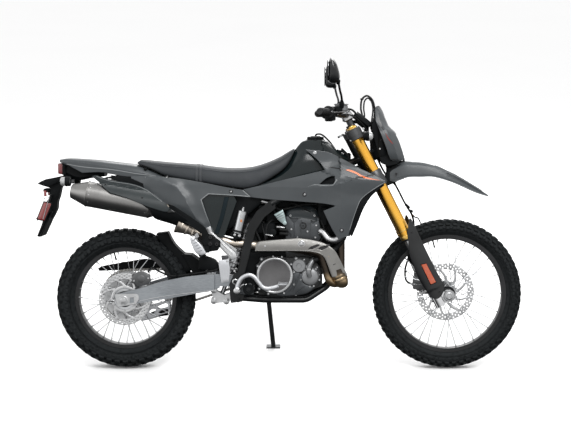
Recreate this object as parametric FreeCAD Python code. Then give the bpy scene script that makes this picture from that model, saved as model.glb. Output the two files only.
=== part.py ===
import FreeCAD, Part
import math
import os

# Dual sport motorcycle, leaning on its side stand. Millimetres.
# It is drawn upright: +X forward, +Y to the rider's left, +Z up, origin on the ground midway
# between the axles. on_ground then leans each piece to the left, onto the stand's foot.
# A table whose name ends in shares holds shares of the sizes named with it.

V = FreeCAD.Vector
ORIGIN = V(0, 0, 0)
AXIS_X = V(1, 0, 0)
AXIS_Y = V(0, 1, 0)
AXIS_Z = V(0, 0, 1)

# Stance and steering
wheelbase = 1495.0
lean_deg = 10.0
rake_deg = 27.0
fork_lead = 50.0
clamp_offset = 20.0

# Tyres and rims
front_tyre_od = 693.0
front_tyre_width = 88.0
front_bead_d = 533.4
front_rim_width = 50.0
rear_tyre_od = 649.0
rear_tyre_width = 122.0
rear_bead_d = 457.2
rear_rim_width = 64.0
tyre_wall = 9.0
tread_columns = 54
tread_depth = 13.0
block_taper = 3.0
crown_half = 17.0
widest_share = 0.52
crown_drop_share = 0.42
crown_round_share = 0.1
rim_wall = 3.0
rim_drop = 10.0
rim_flange = 8.0

# Hubs, spokes, axles and discs
spoke_count = 36
spoke_r = 1.8
spoke_sides = 6
roller_sides = 4
spoke_lead_deg = 62.0
rim_stagger = 6.0
hub_r = 26.0
hub_wall = 8.0
hub_flange_r = 38.0
hub_flange_thickness = 5.0
front_hub_flange_y = 34.0
front_hub_half = 76.0
rear_hub_flange_y = 36.0
rear_hub_half = 83.0
axle_r = 11.0
axle_nut_r = 17.0
axle_nut_width = 10.0
spacer_r = 17.0
disc_thickness = 4.0
disc_arms = 8
disc_arm_width = 11.0
disc_arm_sweep_deg = 24.0
disc_holes = 24
disc_hole_r = 3.2
disc_row_shares = ((0.28, 0.0), (0.68, 0.5))
disc_eye_width = 12.0
front_disc_r = 135.0
front_disc_band = 32.0
front_disc_y = 64.0
front_carrier_r = 52.0
rear_disc_r = 120.0
rear_disc_band = 30.0
rear_disc_y = -76.0
rear_carrier_r = 50.0
running_gap = 0.05
seat_gap = 0.3
pad_gap = 1.0
disc_gap = 5.0

# Final drive
chain_pitch = 15.875
rear_teeth = 48
front_teeth = 14
chain_links = 106
chain_y = 76.0
chain_plate_height = 14.5
chain_plate_thickness = 2.5
chain_roller_r = 5.0
chain_inner_width = 9.0
sprocket_thickness = 6.0
sprocket_band = 14.0
tooth_tip_width = 4.0
front_sprocket_z = 428.0

# Fork and steering head
fork_half_spacing = 105.0
slider_r = 23.0
outer_tube_r = 27.0
outer_tube_low = 340.0
outer_collar_r = 30.0
outer_collar_height = 14.0
lower_clamp_at = 616.0
lower_clamp_height = 36.0
upper_clamp_at = 862.0
upper_clamp_height = 26.0
clamp_wall = 9.0
clamp_web = 44.0
fork_cap_height = 12.0
fork_cap_r = 22.0
stem_r = 15.0
head_tube_r = 30.0
lug_r = 27.0
lug_height = 58.0
lug_half_width = 19.0

# Frame
spar_thickness = 22.0
spar_y = 98.0
pivot_x = -234.0
pivot_z = 411.0
pivot_plate_y = 110.0
pivot_bolt_r = 9.0
backbone_r = 16.0
backbone_y = 54.0
backbone_drop = 44.0
downtube_r = 19.0
cradle_r = 13.0
cradle_y = 80.0
cradle_z = 322.0
frame_bend_r = 70.0
subframe_r = 11.0
subframe_y = 76.0
strut_thickness = 14.0
strut_y = 98.0

# Side stand, on the left
stand_pivot_x = -90.0
stand_pivot_y = 124.0
stand_pivot_z = 342.0
stand_foot_x = -66.0
stand_foot_side = 298.0
stand_leg_r = 11.0
stand_boss_r = 17.0
stand_boss_width = 24.0
stand_foot_length = 66.0
stand_foot_width = 44.0
stand_foot_thickness = 6.0
stand_bolt_r = 8.0
stand_plate_thickness = 7.0
stand_fold_back = 330.0
stand_fold_out = 58.0
stand_fold_down = 10.0

overrun = 20.0
loft_degree = 2
closeness_share = 0.001

# Worked-out places
LEAN = math.radians(lean_deg)
RAKE = math.radians(rake_deg)
FRONT_AXLE = V(wheelbase / 2, 0, front_tyre_od / 2)
REAR_AXLE = V(-wheelbase / 2, 0, rear_tyre_od / 2)
FORK_FORWARD = V(math.cos(RAKE), 0, math.sin(RAKE))
FORK_UP = V(-math.sin(RAKE), 0, math.cos(RAKE))
FORK_FOOT = FRONT_AXLE - FORK_FORWARD * fork_lead
FORK_FRAME = FreeCAD.Placement(FORK_FOOT, FreeCAD.Rotation(AXIS_Y, -rake_deg))
PIVOT = V(pivot_x, 0, pivot_z)


def fork_point(forward, side, up):
    """A point by its distance ahead of the fork legs, to the left, and up them from the axle's level."""
    return FORK_FOOT + FORK_FORWARD * forward + V(0, side, 0) + FORK_UP * up


def in_fork_frame(shape):
    return shape.transformed(FORK_FRAME.toMatrix())


# Shape helpers

def mirrored(shape):
    return shape.mirror(ORIGIN, AXIS_Y)


def both_sides(shape):
    return Part.makeCompound([shape, mirrored(shape)])


def fused(*shapes):
    """One solid from shapes and lists of shapes."""
    flat = []
    for s in shapes:
        flat.extend(s if isinstance(s, (list, tuple)) else [s])
    return flat[0].multiFuse(flat[1:]).removeSplitter() if len(flat) > 1 else flat[0]


def rod(a, b, r):
    """A round bar from a to b."""
    return Part.makeCylinder(r, (b - a).Length, a, b - a)


def sided_rod(a, b, r, sides):
    """A bar with flat sides from a to b."""
    along = b - a
    across = along.cross(AXIS_Y if abs(along.x) + abs(along.z) > abs(along.y) else AXIS_X).normalize()
    up = V(along).normalize().cross(across)
    turns = [2 * math.pi * i / sides for i in range(sides)]
    return Part.Face(closed([a + across * (r * math.cos(t)) + up * (r * math.sin(t)) for t in turns])).extrude(along)


def ring(centre, axis, outer, inner, length):
    """A tube centred on a point, along an axis."""
    start = centre - axis * (length / 2)
    bore = Part.makeCylinder(inner, length + 2 * overrun, start - axis * overrun, axis)
    return Part.makeCylinder(outer, length, start, axis).cut(bore)


def bend_path(points, radius):
    """A wire of straight runs joined by tangent arcs, each no larger than its runs allow."""
    edges = []
    at = points[0]
    for before, corner, after in zip(points, points[1:], points[2:]):
        back = (before - corner).normalize()
        on = (after - corner).normalize()
        half_turn = (math.pi - back.getAngle(on)) / 2
        reach = min(radius * math.tan(half_turn), 0.45 * min((before - corner).Length, (after - corner).Length))
        size = reach / math.tan(half_turn)
        middle = corner + (back + on).normalize() * (size / math.cos(half_turn) - size)
        edges.append(Part.LineSegment(at, corner + back * reach).toShape())
        at = corner + on * reach
        edges.append(Part.Arc(corner + back * reach, middle, at).toShape())
    edges.append(Part.LineSegment(at, points[-1]).toShape())
    return Part.Wire(edges)


def bent_tube(points, r, radius):
    """A solid round bar along straight runs and arcs."""
    circle = Part.Wire([Part.Circle(points[0], points[1] - points[0], r).toShape()])
    return bend_path(points, radius).makePipeShell([circle], True, False)


def closed(points):
    return Part.makePolygon(list(points) + [points[0]])


def side_slab(outline, y_low, y_high):
    """A flat piece: its outline is seen from the side as (x, z), and it spans y_low to y_high."""
    face = Part.Face(closed([V(x, y_low, z) for x, z in outline]))
    return face.extrude(V(0, y_high - y_low, 0))


def outline_at(shares, x, z, length, height):
    """Outline points from shares of a length and a height, from the lower rear corner (x, z)."""
    return [(x + a * length, z + b * height) for a, b in shares]


def body_loft(station_shares, section_shares, x, z, length, width, height, ruled=False):
    """A loft along X. A station is (along, width, low, high); the section is its left half, low to high."""
    wires = []
    for a, w, low, high in station_shares:
        half = w * width / 2
        bottom = z + low * height
        rise = (high - low) * height
        left = [V(x + a * length, s * half, bottom + t * rise) for s, t in section_shares]
        right = [V(p.x, -p.y, p.z) for p in reversed(left) if abs(p.y) > 0]
        wires.append(closed(left + right))
    return Part.makeLoft(wires, True, ruled, False, loft_degree)


def curved_wall(level_shares, at_shares, x, z, length, height, depth, thickness):
    """An upright curved sheet on the left side: at each level, its outward reach at places along X."""
    wires = []
    for level, reaches in level_shares:
        outer = [V(x + a * length, r * depth, z + level * height) for a, r in zip(at_shares, reaches)]
        inner = [p - V(0, thickness, 0) for p in reversed(outer)]
        curves = []
        for line in (outer, inner):
            curve = Part.BSplineCurve()
            curve.interpolate(line)
            curves.append(curve.toShape())
        ends = [Part.LineSegment(outer[-1], inner[0]).toShape(), Part.LineSegment(inner[-1], outer[0]).toShape()]
        wires.append(Part.Wire([curves[0], ends[0], curves[1], ends[1]]))
    return Part.makeLoft(wires, True, False)


def turned(profile, centre, axis, across):
    """A solid of revolution: the profile is (along the axis, away from it)."""
    face = Part.Face(closed([centre + axis * a + across * r for a, r in profile]))
    return face.revolve(centre, axis, 360)


def box_at(centre, x_size, y_size, z_size):
    return Part.makeBox(x_size, y_size, z_size, centre - V(x_size / 2, y_size / 2, z_size / 2))


parts = {}


# Wheels

def tyre(centre, od, width, bead_d, rim_width):
    """A faceted carcass open at the beads, with staggered tread blocks out to the tyre's full size."""
    step = 2 * math.pi / tread_columns
    taper = block_taper / (od / 2)
    tip = od / 2 / math.cos(step / 2 - taper)
    floor = tip - tread_depth
    half = width / 2
    bead = bead_d / 2 / math.cos(step)
    bead_y = rim_width / 2 - rim_wall - seat_gap
    flange = (bead_y, bead_d / 2 + rim_flange)
    widest = (half - block_taper, bead_d / 2 + (od - bead_d) / 2 * widest_share)
    edge = (crown_half, floor)
    shoulder = [(half, tip - half * crown_drop_share), (crown_half + block_taper, tip - half * crown_round_share)]
    crown = [(crown_half - block_taper, tip), (block_taper - crown_half, tip)]

    def at(place, turn):
        y, r = place
        return centre + V(r * math.sin(turn), y, -r * math.cos(turn))

    def block(low, high, top, start, end):
        """A tapered block on a cell of the carcass, from its four top corners."""
        a, b, c, d = at(low, start), at(low, end), at(high, end), at(high, start)
        e, f = at(top[0], start + taper), at(top[0], end - taper)
        g, h = at(top[1], end - taper), at(top[1], start + taper)
        return [(e, f, g, h), (a, b, f, e), (d, c, g, h), (a, e, h), (a, h, d), (b, f, g), (b, g, c)]

    def flip(place):
        return (-place[0], place[1])

    faces = []
    for i in range(tread_columns):
        start, end = (i - 0.5) * step, (i + 0.5) * step
        cells = [(edge, flip(edge), crown, i % 2 == 0)]
        for turn_over in (lambda place: place, flip):
            low, high = turn_over(widest), turn_over(edge)
            cells.append((low, high, [turn_over(place) for place in shoulder], i % 2 == 1))
            foot = turn_over(flange)
            faces.append((at(foot, start), at(foot, end), at(low, end), at(low, start)))
        for low, high, top, raised in cells:
            if raised:
                faces.extend(block(low, high, top, start, end))
            else:
                faces.append((at(low, start), at(low, end), at(high, end), at(high, start)))
    lining = [(bead_y, bead), (bead_y - tyre_wall, bead), (half - tyre_wall, widest[1]),
              (tyre_wall - half, widest[1]), (tyre_wall - bead_y, bead), (-bead_y, bead)]
    for i in range(0, tread_columns, 2):
        start, end = (i - 0.5) * step, (i + 1.5) * step
        for low, high in zip(lining, lining[1:]):
            faces.append((at(low, start), at(low, end), at(high, end), at(high, start)))
    skins = [Part.Face(closed(list(corners))) for corners in faces]
    for side in (1, -1):
        outside = closed([at((side * flange[0], flange[1]), (i - 0.5) * step) for i in range(tread_columns)])
        inside = closed([at((side * bead_y, bead), (i - 0.5) * step) for i in range(0, tread_columns, 2)])
        skins.append(Part.Face(outside).cut(Part.Face(inside)).Faces[0])
    shell = Part.Shell(skins)
    shell.sewShape()
    return Part.makeSolid(Part.Shell(shell.Faces))


def rim(centre, bead_d, width):
    """A drop-centre rim with its two flanges."""
    bead = bead_d / 2 - seat_gap
    half = width / 2
    well = half * 0.45
    low = bead - rim_drop
    outside = [(-half, bead + rim_flange), (-half, low), (-well, low - rim_wall), (well, low - rim_wall),
               (half, low), (half, bead + rim_flange)]
    inside = [(half - rim_wall, bead + rim_flange), (half - rim_wall, bead), (well, low),
              (-well, low), (-half + rim_wall, bead), (-half + rim_wall, bead + rim_flange)]
    return turned(outside + inside, centre, AXIS_Y, AXIS_Z)


def spokes(centre, flange_y, bead_d):
    """Crossed spokes from both hub flanges to the rim's well."""
    low = bead_d / 2 - rim_drop - rim_wall - 2 * seat_gap
    hole_r = hub_flange_r - hub_flange_thickness
    result = []
    for i in range(spoke_count):
        side = 1 if i % 2 else -1
        lead = 1 if (i // 2) % 2 else -1
        at_rim = 2 * math.pi * i / spoke_count
        at_hub = at_rim + lead * math.radians(spoke_lead_deg)
        layer = flange_y + hub_flange_thickness / 2 + lead * spoke_r
        inner = centre + V(hole_r * math.cos(at_hub), side * layer, hole_r * math.sin(at_hub))
        outer = centre + V(low * math.cos(at_rim), side * rim_stagger, low * math.sin(at_rim))
        result.append(sided_rod(inner, outer, spoke_r, spoke_sides))
    return result


def hub(centre, half, flange_y, left_carrier, right_carrier):
    """A hub bored for its axle. A carrier is the (inner face, radius) of a disc or sprocket seat."""
    bore = axle_r + running_gap
    sleeve = bore + hub_wall
    thick = hub_flange_thickness
    left_y, left_r = left_carrier
    right_y, right_r = right_carrier
    profile = [(-half, bore), (-half, sleeve), (right_y, sleeve), (right_y, right_r),
               (right_y + thick, right_r), (right_y + thick, hub_r), (-flange_y - thick, hub_r),
               (-flange_y - thick, hub_flange_r), (-flange_y, hub_flange_r), (-flange_y, hub_r),
               (flange_y, hub_r), (flange_y, hub_flange_r), (flange_y + thick, hub_flange_r),
               (flange_y + thick, hub_r), (left_y - thick, hub_r), (left_y - thick, left_r),
               (left_y, left_r), (left_y, sleeve), (half, sleeve), (half, bore)]
    return turned(profile, centre, AXIS_Y, AXIS_Z)


def disc(centre, y, r, band, carrier_r):
    """A brake disc: an outer band, a mounting ring on its carrier, and swept arms between them."""
    at = centre + V(0, y, 0)
    outer_band = ring(at, AXIS_Y, r, r - band, disc_thickness)
    inner_band = ring(at, AXIS_Y, carrier_r, carrier_r - disc_eye_width, disc_thickness)
    arms = []
    for i in range(disc_arms):
        a = 2 * math.pi * i / disc_arms
        b = a + math.radians(disc_arm_sweep_deg)
        near = carrier_r - disc_eye_width / 2
        far = r - band + disc_eye_width / 2
        start = at + V(near * math.cos(a), -disc_thickness / 2, near * math.sin(a))
        end = at + V(far * math.cos(b), -disc_thickness / 2, far * math.sin(b))
        across = (end - start).cross(AXIS_Y).normalize() * (disc_arm_width / 2)
        face = Part.Face(closed([start - across, end - across, end + across, start + across]))
        arms.append(face.extrude(V(0, disc_thickness, 0)))
    holes = []
    for i in range(disc_holes):
        for row_share, shift in disc_row_shares:
            turn = 2 * math.pi * (i + shift) / disc_holes
            reach = r - band * row_share
            place = at + V(reach * math.cos(turn), -disc_thickness, reach * math.sin(turn))
            holes.append(Part.makeCylinder(disc_hole_r, disc_thickness * 2, place, AXIS_Y))
    return fused(outer_band, inner_band, arms).cut(Part.makeCompound(holes))


def gear_r(teeth):
    """Pitch radius of a chain wheel."""
    return chain_pitch / 2 / math.sin(math.pi / teeth)


def sprocket(centre, y, teeth, inner_r):
    """A chain wheel with a root circle below the rollers and a tooth between each pair of them."""
    pitch_r = gear_r(teeth)
    root = pitch_r - chain_roller_r - 2 * seat_gap
    tip = pitch_r + chain_roller_r * 0.6
    waist = pitch_r - chain_roller_r * 0.75
    step = 2 * math.pi / teeth
    tip_half = tooth_tip_width / 2 / tip
    waist_half = (chain_pitch / 2 - chain_roller_r) / waist
    foot_half = step / 2 - chain_roller_r * 0.4 / root
    points = []
    for i in range(teeth):
        mid = (i + 0.5) * step
        for turn, r in ((-foot_half, root), (-waist_half, waist), (-tip_half, tip),
                        (tip_half, tip), (waist_half, waist), (foot_half, root)):
            a = mid + turn
            points.append(centre + V(r * math.cos(a), y - sprocket_thickness / 2, r * math.sin(a)))
    wheel = Part.Face(closed(points)).extrude(V(0, sprocket_thickness, 0))
    bore = Part.makeCylinder(inner_r, sprocket_thickness + 2 * overrun,
                             centre + V(0, y - sprocket_thickness / 2 - overrun, 0), AXIS_Y)
    return wheel.cut(bore)


parts["front_tyre"] = tyre(FRONT_AXLE, front_tyre_od, front_tyre_width, front_bead_d, front_rim_width)
parts["front_rim"] = rim(FRONT_AXLE, front_bead_d, front_rim_width)
parts["front_hub"] = hub(FRONT_AXLE, front_hub_half, front_hub_flange_y,
                         (front_disc_y - disc_thickness / 2, front_carrier_r),
                         (-front_hub_half + hub_flange_thickness, hub_r)).multiFuse(
                             spokes(FRONT_AXLE, front_hub_flange_y, front_bead_d))
parts["front_disc"] = disc(FRONT_AXLE, front_disc_y, front_disc_r, front_disc_band, front_carrier_r)
parts["rear_tyre"] = tyre(REAR_AXLE, rear_tyre_od, rear_tyre_width, rear_bead_d, rear_rim_width)
parts["rear_rim"] = rim(REAR_AXLE, rear_bead_d, rear_rim_width)
parts["rear_hub"] = hub(REAR_AXLE, rear_hub_half, rear_hub_flange_y,
                        (chain_y - sprocket_thickness / 2, rear_carrier_r),
                        (rear_disc_y + disc_thickness / 2, rear_carrier_r)).multiFuse(
                            spokes(REAR_AXLE, rear_hub_flange_y, rear_bead_d))
parts["rear_disc"] = disc(REAR_AXLE, rear_disc_y, rear_disc_r, rear_disc_band, rear_carrier_r)


def chain_path():
    """The front sprocket's centre, the rollers in order, and each sprocket's turn to mesh with them."""
    rear_r = gear_r(rear_teeth)
    front_r = gear_r(front_teeth)
    rise = front_sprocket_z - REAR_AXLE.z

    def wraps(distance):
        slope = math.asin((rear_r - front_r) / distance)
        run = math.sqrt(distance ** 2 - (rear_r - front_r) ** 2) / chain_pitch
        rear_wrap = (math.pi + 2 * slope) / (2 * math.pi) * rear_teeth
        front_wrap = (math.pi - 2 * slope) / (2 * math.pi) * front_teeth
        return slope, run, rear_wrap, front_wrap

    near, far = wheelbase * 0.3, wheelbase * 0.5
    for _ in range(60):
        distance = (near + far) / 2
        slope, run, rear_wrap, front_wrap = wraps(distance)
        if 2 * run + rear_wrap + front_wrap > chain_links:
            far = distance
        else:
            near = distance
    tilt = math.asin(rise / distance)
    front = REAR_AXLE + V(distance * math.cos(tilt), 0, rise)
    along = V(math.cos(tilt - slope), 0, math.sin(tilt - slope))
    back = V(-math.cos(tilt + slope), 0, -math.sin(tilt + slope))
    top_turn = tilt - slope + math.pi / 2
    front_bottom_turn = tilt + slope - math.pi / 2
    rollers = []
    for i in range(chain_links):
        s = float(i)
        if s < run:
            p = REAR_AXLE + V(math.cos(top_turn), 0, math.sin(top_turn)) * rear_r + along * (s * chain_pitch)
            normal = V(math.cos(top_turn), 0, math.sin(top_turn))
        elif s < run + front_wrap:
            turn = top_turn - (s - run) * 2 * math.pi / front_teeth
            normal = V(math.cos(turn), 0, math.sin(turn))
            p = front + normal * front_r
        elif s < 2 * run + front_wrap:
            normal = V(math.cos(front_bottom_turn), 0, math.sin(front_bottom_turn))
            p = front + normal * front_r + back * ((s - run - front_wrap) * chain_pitch)
        else:
            turn = front_bottom_turn - (s - 2 * run - front_wrap) * 2 * math.pi / rear_teeth
            normal = V(math.cos(turn), 0, math.sin(turn))
            p = REAR_AXLE + normal * rear_r
        rollers.append((p, normal))
    front_phase = top_turn - (math.ceil(run) - run) * 2 * math.pi / front_teeth
    return front, rollers, top_turn, front_phase


FRONT_SPROCKET, CHAIN_ROLLERS, REAR_PHASE, FRONT_PHASE = chain_path()


def chain():
    """The whole loop: side plates on both sides, joined by a roller at each pitch."""
    half = chain_plate_height / 2
    loop = [CHAIN_ROLLERS[-1], *CHAIN_ROLLERS, CHAIN_ROLLERS[0]]
    bends = [here for before, here, after in zip(loop, loop[1:], loop[2:])
             if before[1].distanceToPoint(after[1]) > closeness_share]
    outside = closed([p + n * half for p, n in bends])
    inside = closed([p - n * half for p, n in bends])
    band = Part.Face(outside).cut(Part.Face(inside)).extrude(V(0, chain_plate_thickness, 0))
    plate_y = chain_inner_width / 2
    pieces = [band.translated(V(0, chain_y + plate_y, 0)),
              band.translated(V(0, chain_y - plate_y - chain_plate_thickness, 0))]
    for p, n in CHAIN_ROLLERS:
        start = p + V(0, chain_y - plate_y, 0)
        pieces.append(sided_rod(start, start + V(0, chain_inner_width, 0), chain_roller_r, roller_sides))
    return fused(pieces)


parts["chain"] = chain()
parts["rear_sprocket"] = sprocket(REAR_AXLE, chain_y, rear_teeth, rear_carrier_r - sprocket_band).rotate(
    REAR_AXLE, AXIS_Y, -math.degrees(REAR_PHASE))

# Engine
case_half = 62.0
case_x = -140.0
case_z = 345.0
case_length = 307.0
case_height = 193.0
cylinder_x = -2.0
cylinder_length = 152.0
cylinder_half = 72.0
cylinder_top = 605.0
head_top = 704.0
head_cover_top = 761.0
head_cover_half = 62.0
clutch_x = -53.0
clutch_z = 437.0
clutch_r = 83.0
clutch_depth = 42.0
clutch_rim = 5.0
clutch_lip = 6.0
filter_x = 59.0
filter_z = 483.0
filter_r = 32.0
pump_x = 110.0
pump_z = 435.0
pump_r = 39.0
cap_depth = 34.0
generator_x = 62.0
generator_z = 440.0
generator_r = 78.0
generator_depth = 40.0
sprocket_cover_r = 40.0
sprocket_cover_y = 92.0
sprocket_cover_thickness = 6.0
throttle_r = 26.0
throttle_length = 92.0

# Exhaust
header_r = 21.0
header_bend_r = 46.0
port_y = -24.0
exhaust_y = -104.0
pipe_inner_y = -72.0
guard_y = 134.0
guard_thickness = 2.5
mid_pipe_r = 21.0
silencer_r = 57.5
silencer_y = -150.0
silencer_slope_deg = 10.7
silencer_front_x = -555.5
silencer_front_z = 749.2
silencer_length = 430.0
silencer_rear_cone = 74.0
silencer_rear_r = 32.0
silencer_front_cone = 66.0
silencer_outlet_r = 20.0
silencer_wall = 3.0
panel_reach = 260.0
boss_r = 8.0
silencer_cover_depth = 216.0
silencer_cover_thickness = 3.0
heat_gap = 4.0

# Bodywork
seat_front_x = 28.0
seat_z = 842.0
seat_length = 715.0
seat_width = 232.0
seat_height = 173.0
tank_x = 6.0
tank_z = 925.0
tank_length = 266.0
tank_width = 200.0
tank_height = 137.0
tank_cap_x = 135.0
tank_cap_r = 38.0
tank_cap_height = 12.0
seam_x = -63.0
seam_z = 830.0
seam_run = 152.0
seam_rise = 250.0
shroud_x = -198.0
shroud_z = 607.0
shroud_length = 650.0
shroud_height = 409.0
shroud_depth = 196.0
panel_thickness = 3.5
cover_x = -712.0
cover_z = 633.0
cover_length = 550.0
cover_height = 260.0
cover_depth = 140.0
airbox_x = -386.0
airbox_z = 636.0
airbox_length = 144.0
airbox_height = 170.0
airbox_half = 116.0
tail_x = -1047.0
tail_z = 884.0
tail_length = 490.0
tail_width = 190.0
tail_height = 89.0
fender_behind = 292.5
fender_z = 799.0
fender_length = 481.0
fender_width = 136.0
fender_height = 162.0
fender_post_forward = 14.0
fender_post_height = 34.0
mask_z = 948.0
mask_height = 269.0
mask_behind = 339.5
mask_length = 137.0
mask_width = 216.0
mask_wall = 3.0
housing_half = 58.0
lamp_lens_width = 96.0
lamp_lens_height = 58.0
mask_stay_at = 720.0
stay_r = 5.0

# Rear end
arm_in = 92.0
arm_out = 122.0
arm_pivot_r = 24.0
arm_tube_r = 20.0
cross_x = -394.0
cross_z = 372.0
cross_length = 62.0
cross_height = 62.0
axle_end_y = 128.0
shock_spring_r = 34.0
shock_rod_r = 10.0
shock_low_x = -305.0
shock_low_z = 330.0
shock_top_x = -150.0
shock_top_z = 728.0
reservoir_r = 25.5
reservoir_y = -90.0
reservoir_low_x = -229.0
reservoir_low_z = 614.0
reservoir_top_x = -200.0
reservoir_top_z = 734.0
linkage_half = 24.0
caliper_wall = 15.0
caliper_length = 96.0
caliper_height = 56.0

# Controls
peg_x = -169.0
peg_z = 388.0
peg_length = 86.0
peg_width = 52.0
peg_thickness = 16.0
peg_end_y = 250.0
grip_r = 17.0
bar_r = 11.0
bar_bend_r = 60.0
bar_end_y = 410.0
grip_length = 118.0
mirror_y = 375.0
mirror_width = 116.0

# Engine

case_shares = [(0.0, 0.3), (0.04, 0.0), (0.62, 0.0), (1.0, 0.21), (1.0, 0.62), (0.86, 0.8), (0.83, 1.0),
               (0.43, 1.0), (0.4, 0.86), (0.12, 0.86), (0.0, 0.72)]


def crankcase():
    outline = outline_at(case_shares, case_x, case_z, case_length, case_height)
    return side_slab(outline, -case_half, case_half)


def round_cover(x, z, r, face_y, depth, lip_r, lip):
    """A round cover standing out from the case's side, with a raised rim round its face."""
    way = 1 if depth > 0 else -1
    at = V(x, face_y, z)
    size = abs(depth)
    profile = [(0, 0), (0, r), (size - lip, r), (size, r - lip), (size, r - lip - lip_r),
               (size - lip / 2, r - lip - lip_r), (size - lip / 2, 0)]
    return turned([(way * a, b) for a, b in profile], at, AXIS_Y, AXIS_Z)


def clutch_cover():
    cover = round_cover(clutch_x, clutch_z, clutch_r, -case_half, -clutch_depth, clutch_rim, clutch_lip)
    oil_filter = round_cover(filter_x, filter_z, filter_r, -case_half, -cap_depth, clutch_rim, clutch_rim)
    pump = round_cover(pump_x, pump_z, pump_r, -case_half, -cap_depth, clutch_rim, clutch_rim)
    foot = side_slab([(clutch_x, clutch_z - clutch_r), (pump_x, pump_z - pump_r), (pump_x, filter_z + filter_r / 2),
                      (clutch_x, clutch_z + clutch_r * 0.8)], -case_half - cap_depth / 2, -case_half)
    return fused(cover, oil_filter, pump, foot)


parts["crankcase"] = crankcase()
generator_cover = round_cover(generator_x, generator_z, generator_r, case_half, generator_depth, clutch_rim,
                              clutch_lip)
parts["engine_covers"] = Part.makeCompound([clutch_cover(), generator_cover])
parts["cylinder"] = fused(
    box_at(V(cylinder_x + cylinder_length / 2, 0, (case_z + case_height + cylinder_top) / 2),
           cylinder_length, 2 * cylinder_half, cylinder_top - case_z - case_height),
    box_at(V(cylinder_x + cylinder_length / 2, 0, (cylinder_top + head_top) / 2),
           cylinder_length, 2 * cylinder_half - clutch_lip, head_top - cylinder_top))
parts["head_cover"] = box_at(V(cylinder_x + cylinder_length / 2, 0, (head_top + head_cover_top) / 2),
                             cylinder_length, 2 * head_cover_half, head_cover_top - head_top)
throttle_at = V(cylinder_x - throttle_length, 0, head_top - throttle_r * 2)
parts["throttle_body"] = rod(throttle_at, throttle_at + V(throttle_length, 0, 0), throttle_r)

# Frame


def head_tube():
    low = lower_clamp_at + lower_clamp_height / 2 + seat_gap
    high = upper_clamp_at - upper_clamp_height / 2 - seat_gap
    return ring(fork_point(-clamp_offset, 0, (low + high) / 2), FORK_UP, head_tube_r, stem_r + running_gap,
                high - low)


HEAD_LOW = fork_point(-clamp_offset, 0, lower_clamp_at + lower_clamp_height / 2)
HEAD_HIGH = fork_point(-clamp_offset, 0, upper_clamp_at - upper_clamp_height / 2)


def head_point(share, side, back):
    """A point beside the head tube: how far up it, how far to the left, how far behind its axis."""
    p = HEAD_LOW + (HEAD_HIGH - HEAD_LOW) * share
    return p - FORK_FORWARD * back + V(0, side, 0)


spar_shares = [(0.0, 0.0), (0.2, 0.0), (0.2, 0.12), (0.33, 0.33), (0.52, 0.63), (0.75, 0.78), (1.05, 0.88),
               (1.05, 1.0), (0.9, 0.965), (0.55, 0.85), (0.35, 0.715), (0.16, 0.39), (0.02, 0.1)]
spar_x = -228.0
spar_z = 395.0
spar_length = 170.0
spar_height = 400.0
plate_shares = [(0.1, 0.0), (0.75, 0.05), (1.0, 0.45), (0.85, 1.0), (0.3, 1.0), (0.0, 0.6)]
plate_x = -262.0
plate_z = 312.0
plate_length = 80.0
plate_height = 140.0
downtube_foot_x = 197.0
downtube_foot_z = 470.0
cradle_front_x = 206.0
cradle_front_y = 46.0
cradle_front_z = 392.0
cradle_bend_x = 94.0
spar_top_x = -70.0
spar_top_z = 768.0


LOW_TIE = V(plate_x + plate_length / 2, 0, plate_z + cradle_r)


def frame():
    pieces = [head_tube()]
    low = downtube_foot_z
    foot = V(downtube_foot_x, 0, low)
    pieces.append(rod(head_point(0.35, 0, head_tube_r * 0.7), foot, downtube_r))
    pieces.append(rod(foot - V(0, cradle_front_y, 0), foot + V(0, cradle_front_y, 0), downtube_r))
    for side in (1, -1):
        y = side * cradle_y
        spar_mid = side * (spar_y + spar_thickness / 2)
        start = head_point(0.5, side * head_tube_r / 2, head_tube_r / 2)
        pieces.append(bent_tube([start, V(start.x - backbone_y * 2, side * backbone_y, start.z - backbone_drop),
                                 V(spar_top_x, spar_mid, spar_top_z)], backbone_r, frame_bend_r))
        front_y = side * cradle_front_y
        pieces.append(bent_tube([V(foot.x, front_y, foot.z), V(cradle_front_x, front_y, cradle_front_z),
                                 V(cradle_bend_x, y, cradle_z), V(-strut_y, y, cradle_z),
                                 V(plate_x + plate_length / 2, side * pivot_plate_y, cradle_z + cradle_r)],
                                cradle_r, frame_bend_r))
        spar = outline_at(spar_shares, spar_x, spar_z, spar_length, spar_height)
        plate = outline_at(plate_shares, plate_x, plate_z, plate_length, plate_height)
        y_low, y_high = sorted((side * spar_y, side * (spar_y + spar_thickness)))
        pieces.append(side_slab(spar, y_low, y_high))
        pieces.append(side_slab(plate, y_low, y_high))
    top = V(spar_top_x, 0, spar_top_z)
    pieces.append(rod(top - V(0, spar_y + spar_thickness / 2, 0), top + V(0, spar_y + spar_thickness / 2, 0),
                      backbone_r))
    pieces.append(rod(LOW_TIE - V(0, spar_y, 0), LOW_TIE + V(0, spar_y, 0), cradle_r))
    pieces.append(rod(PIVOT - V(0, spar_y + spar_thickness + axle_nut_width, 0),
                      PIVOT + V(0, spar_y + spar_thickness + axle_nut_width, 0), pivot_bolt_r))
    stem_bore = rod(HEAD_LOW - FORK_UP * overrun, HEAD_HIGH + FORK_UP * overrun, stem_r + running_gap)
    return fused(pieces + stand_bracket()).cut(stem_bore)


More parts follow.
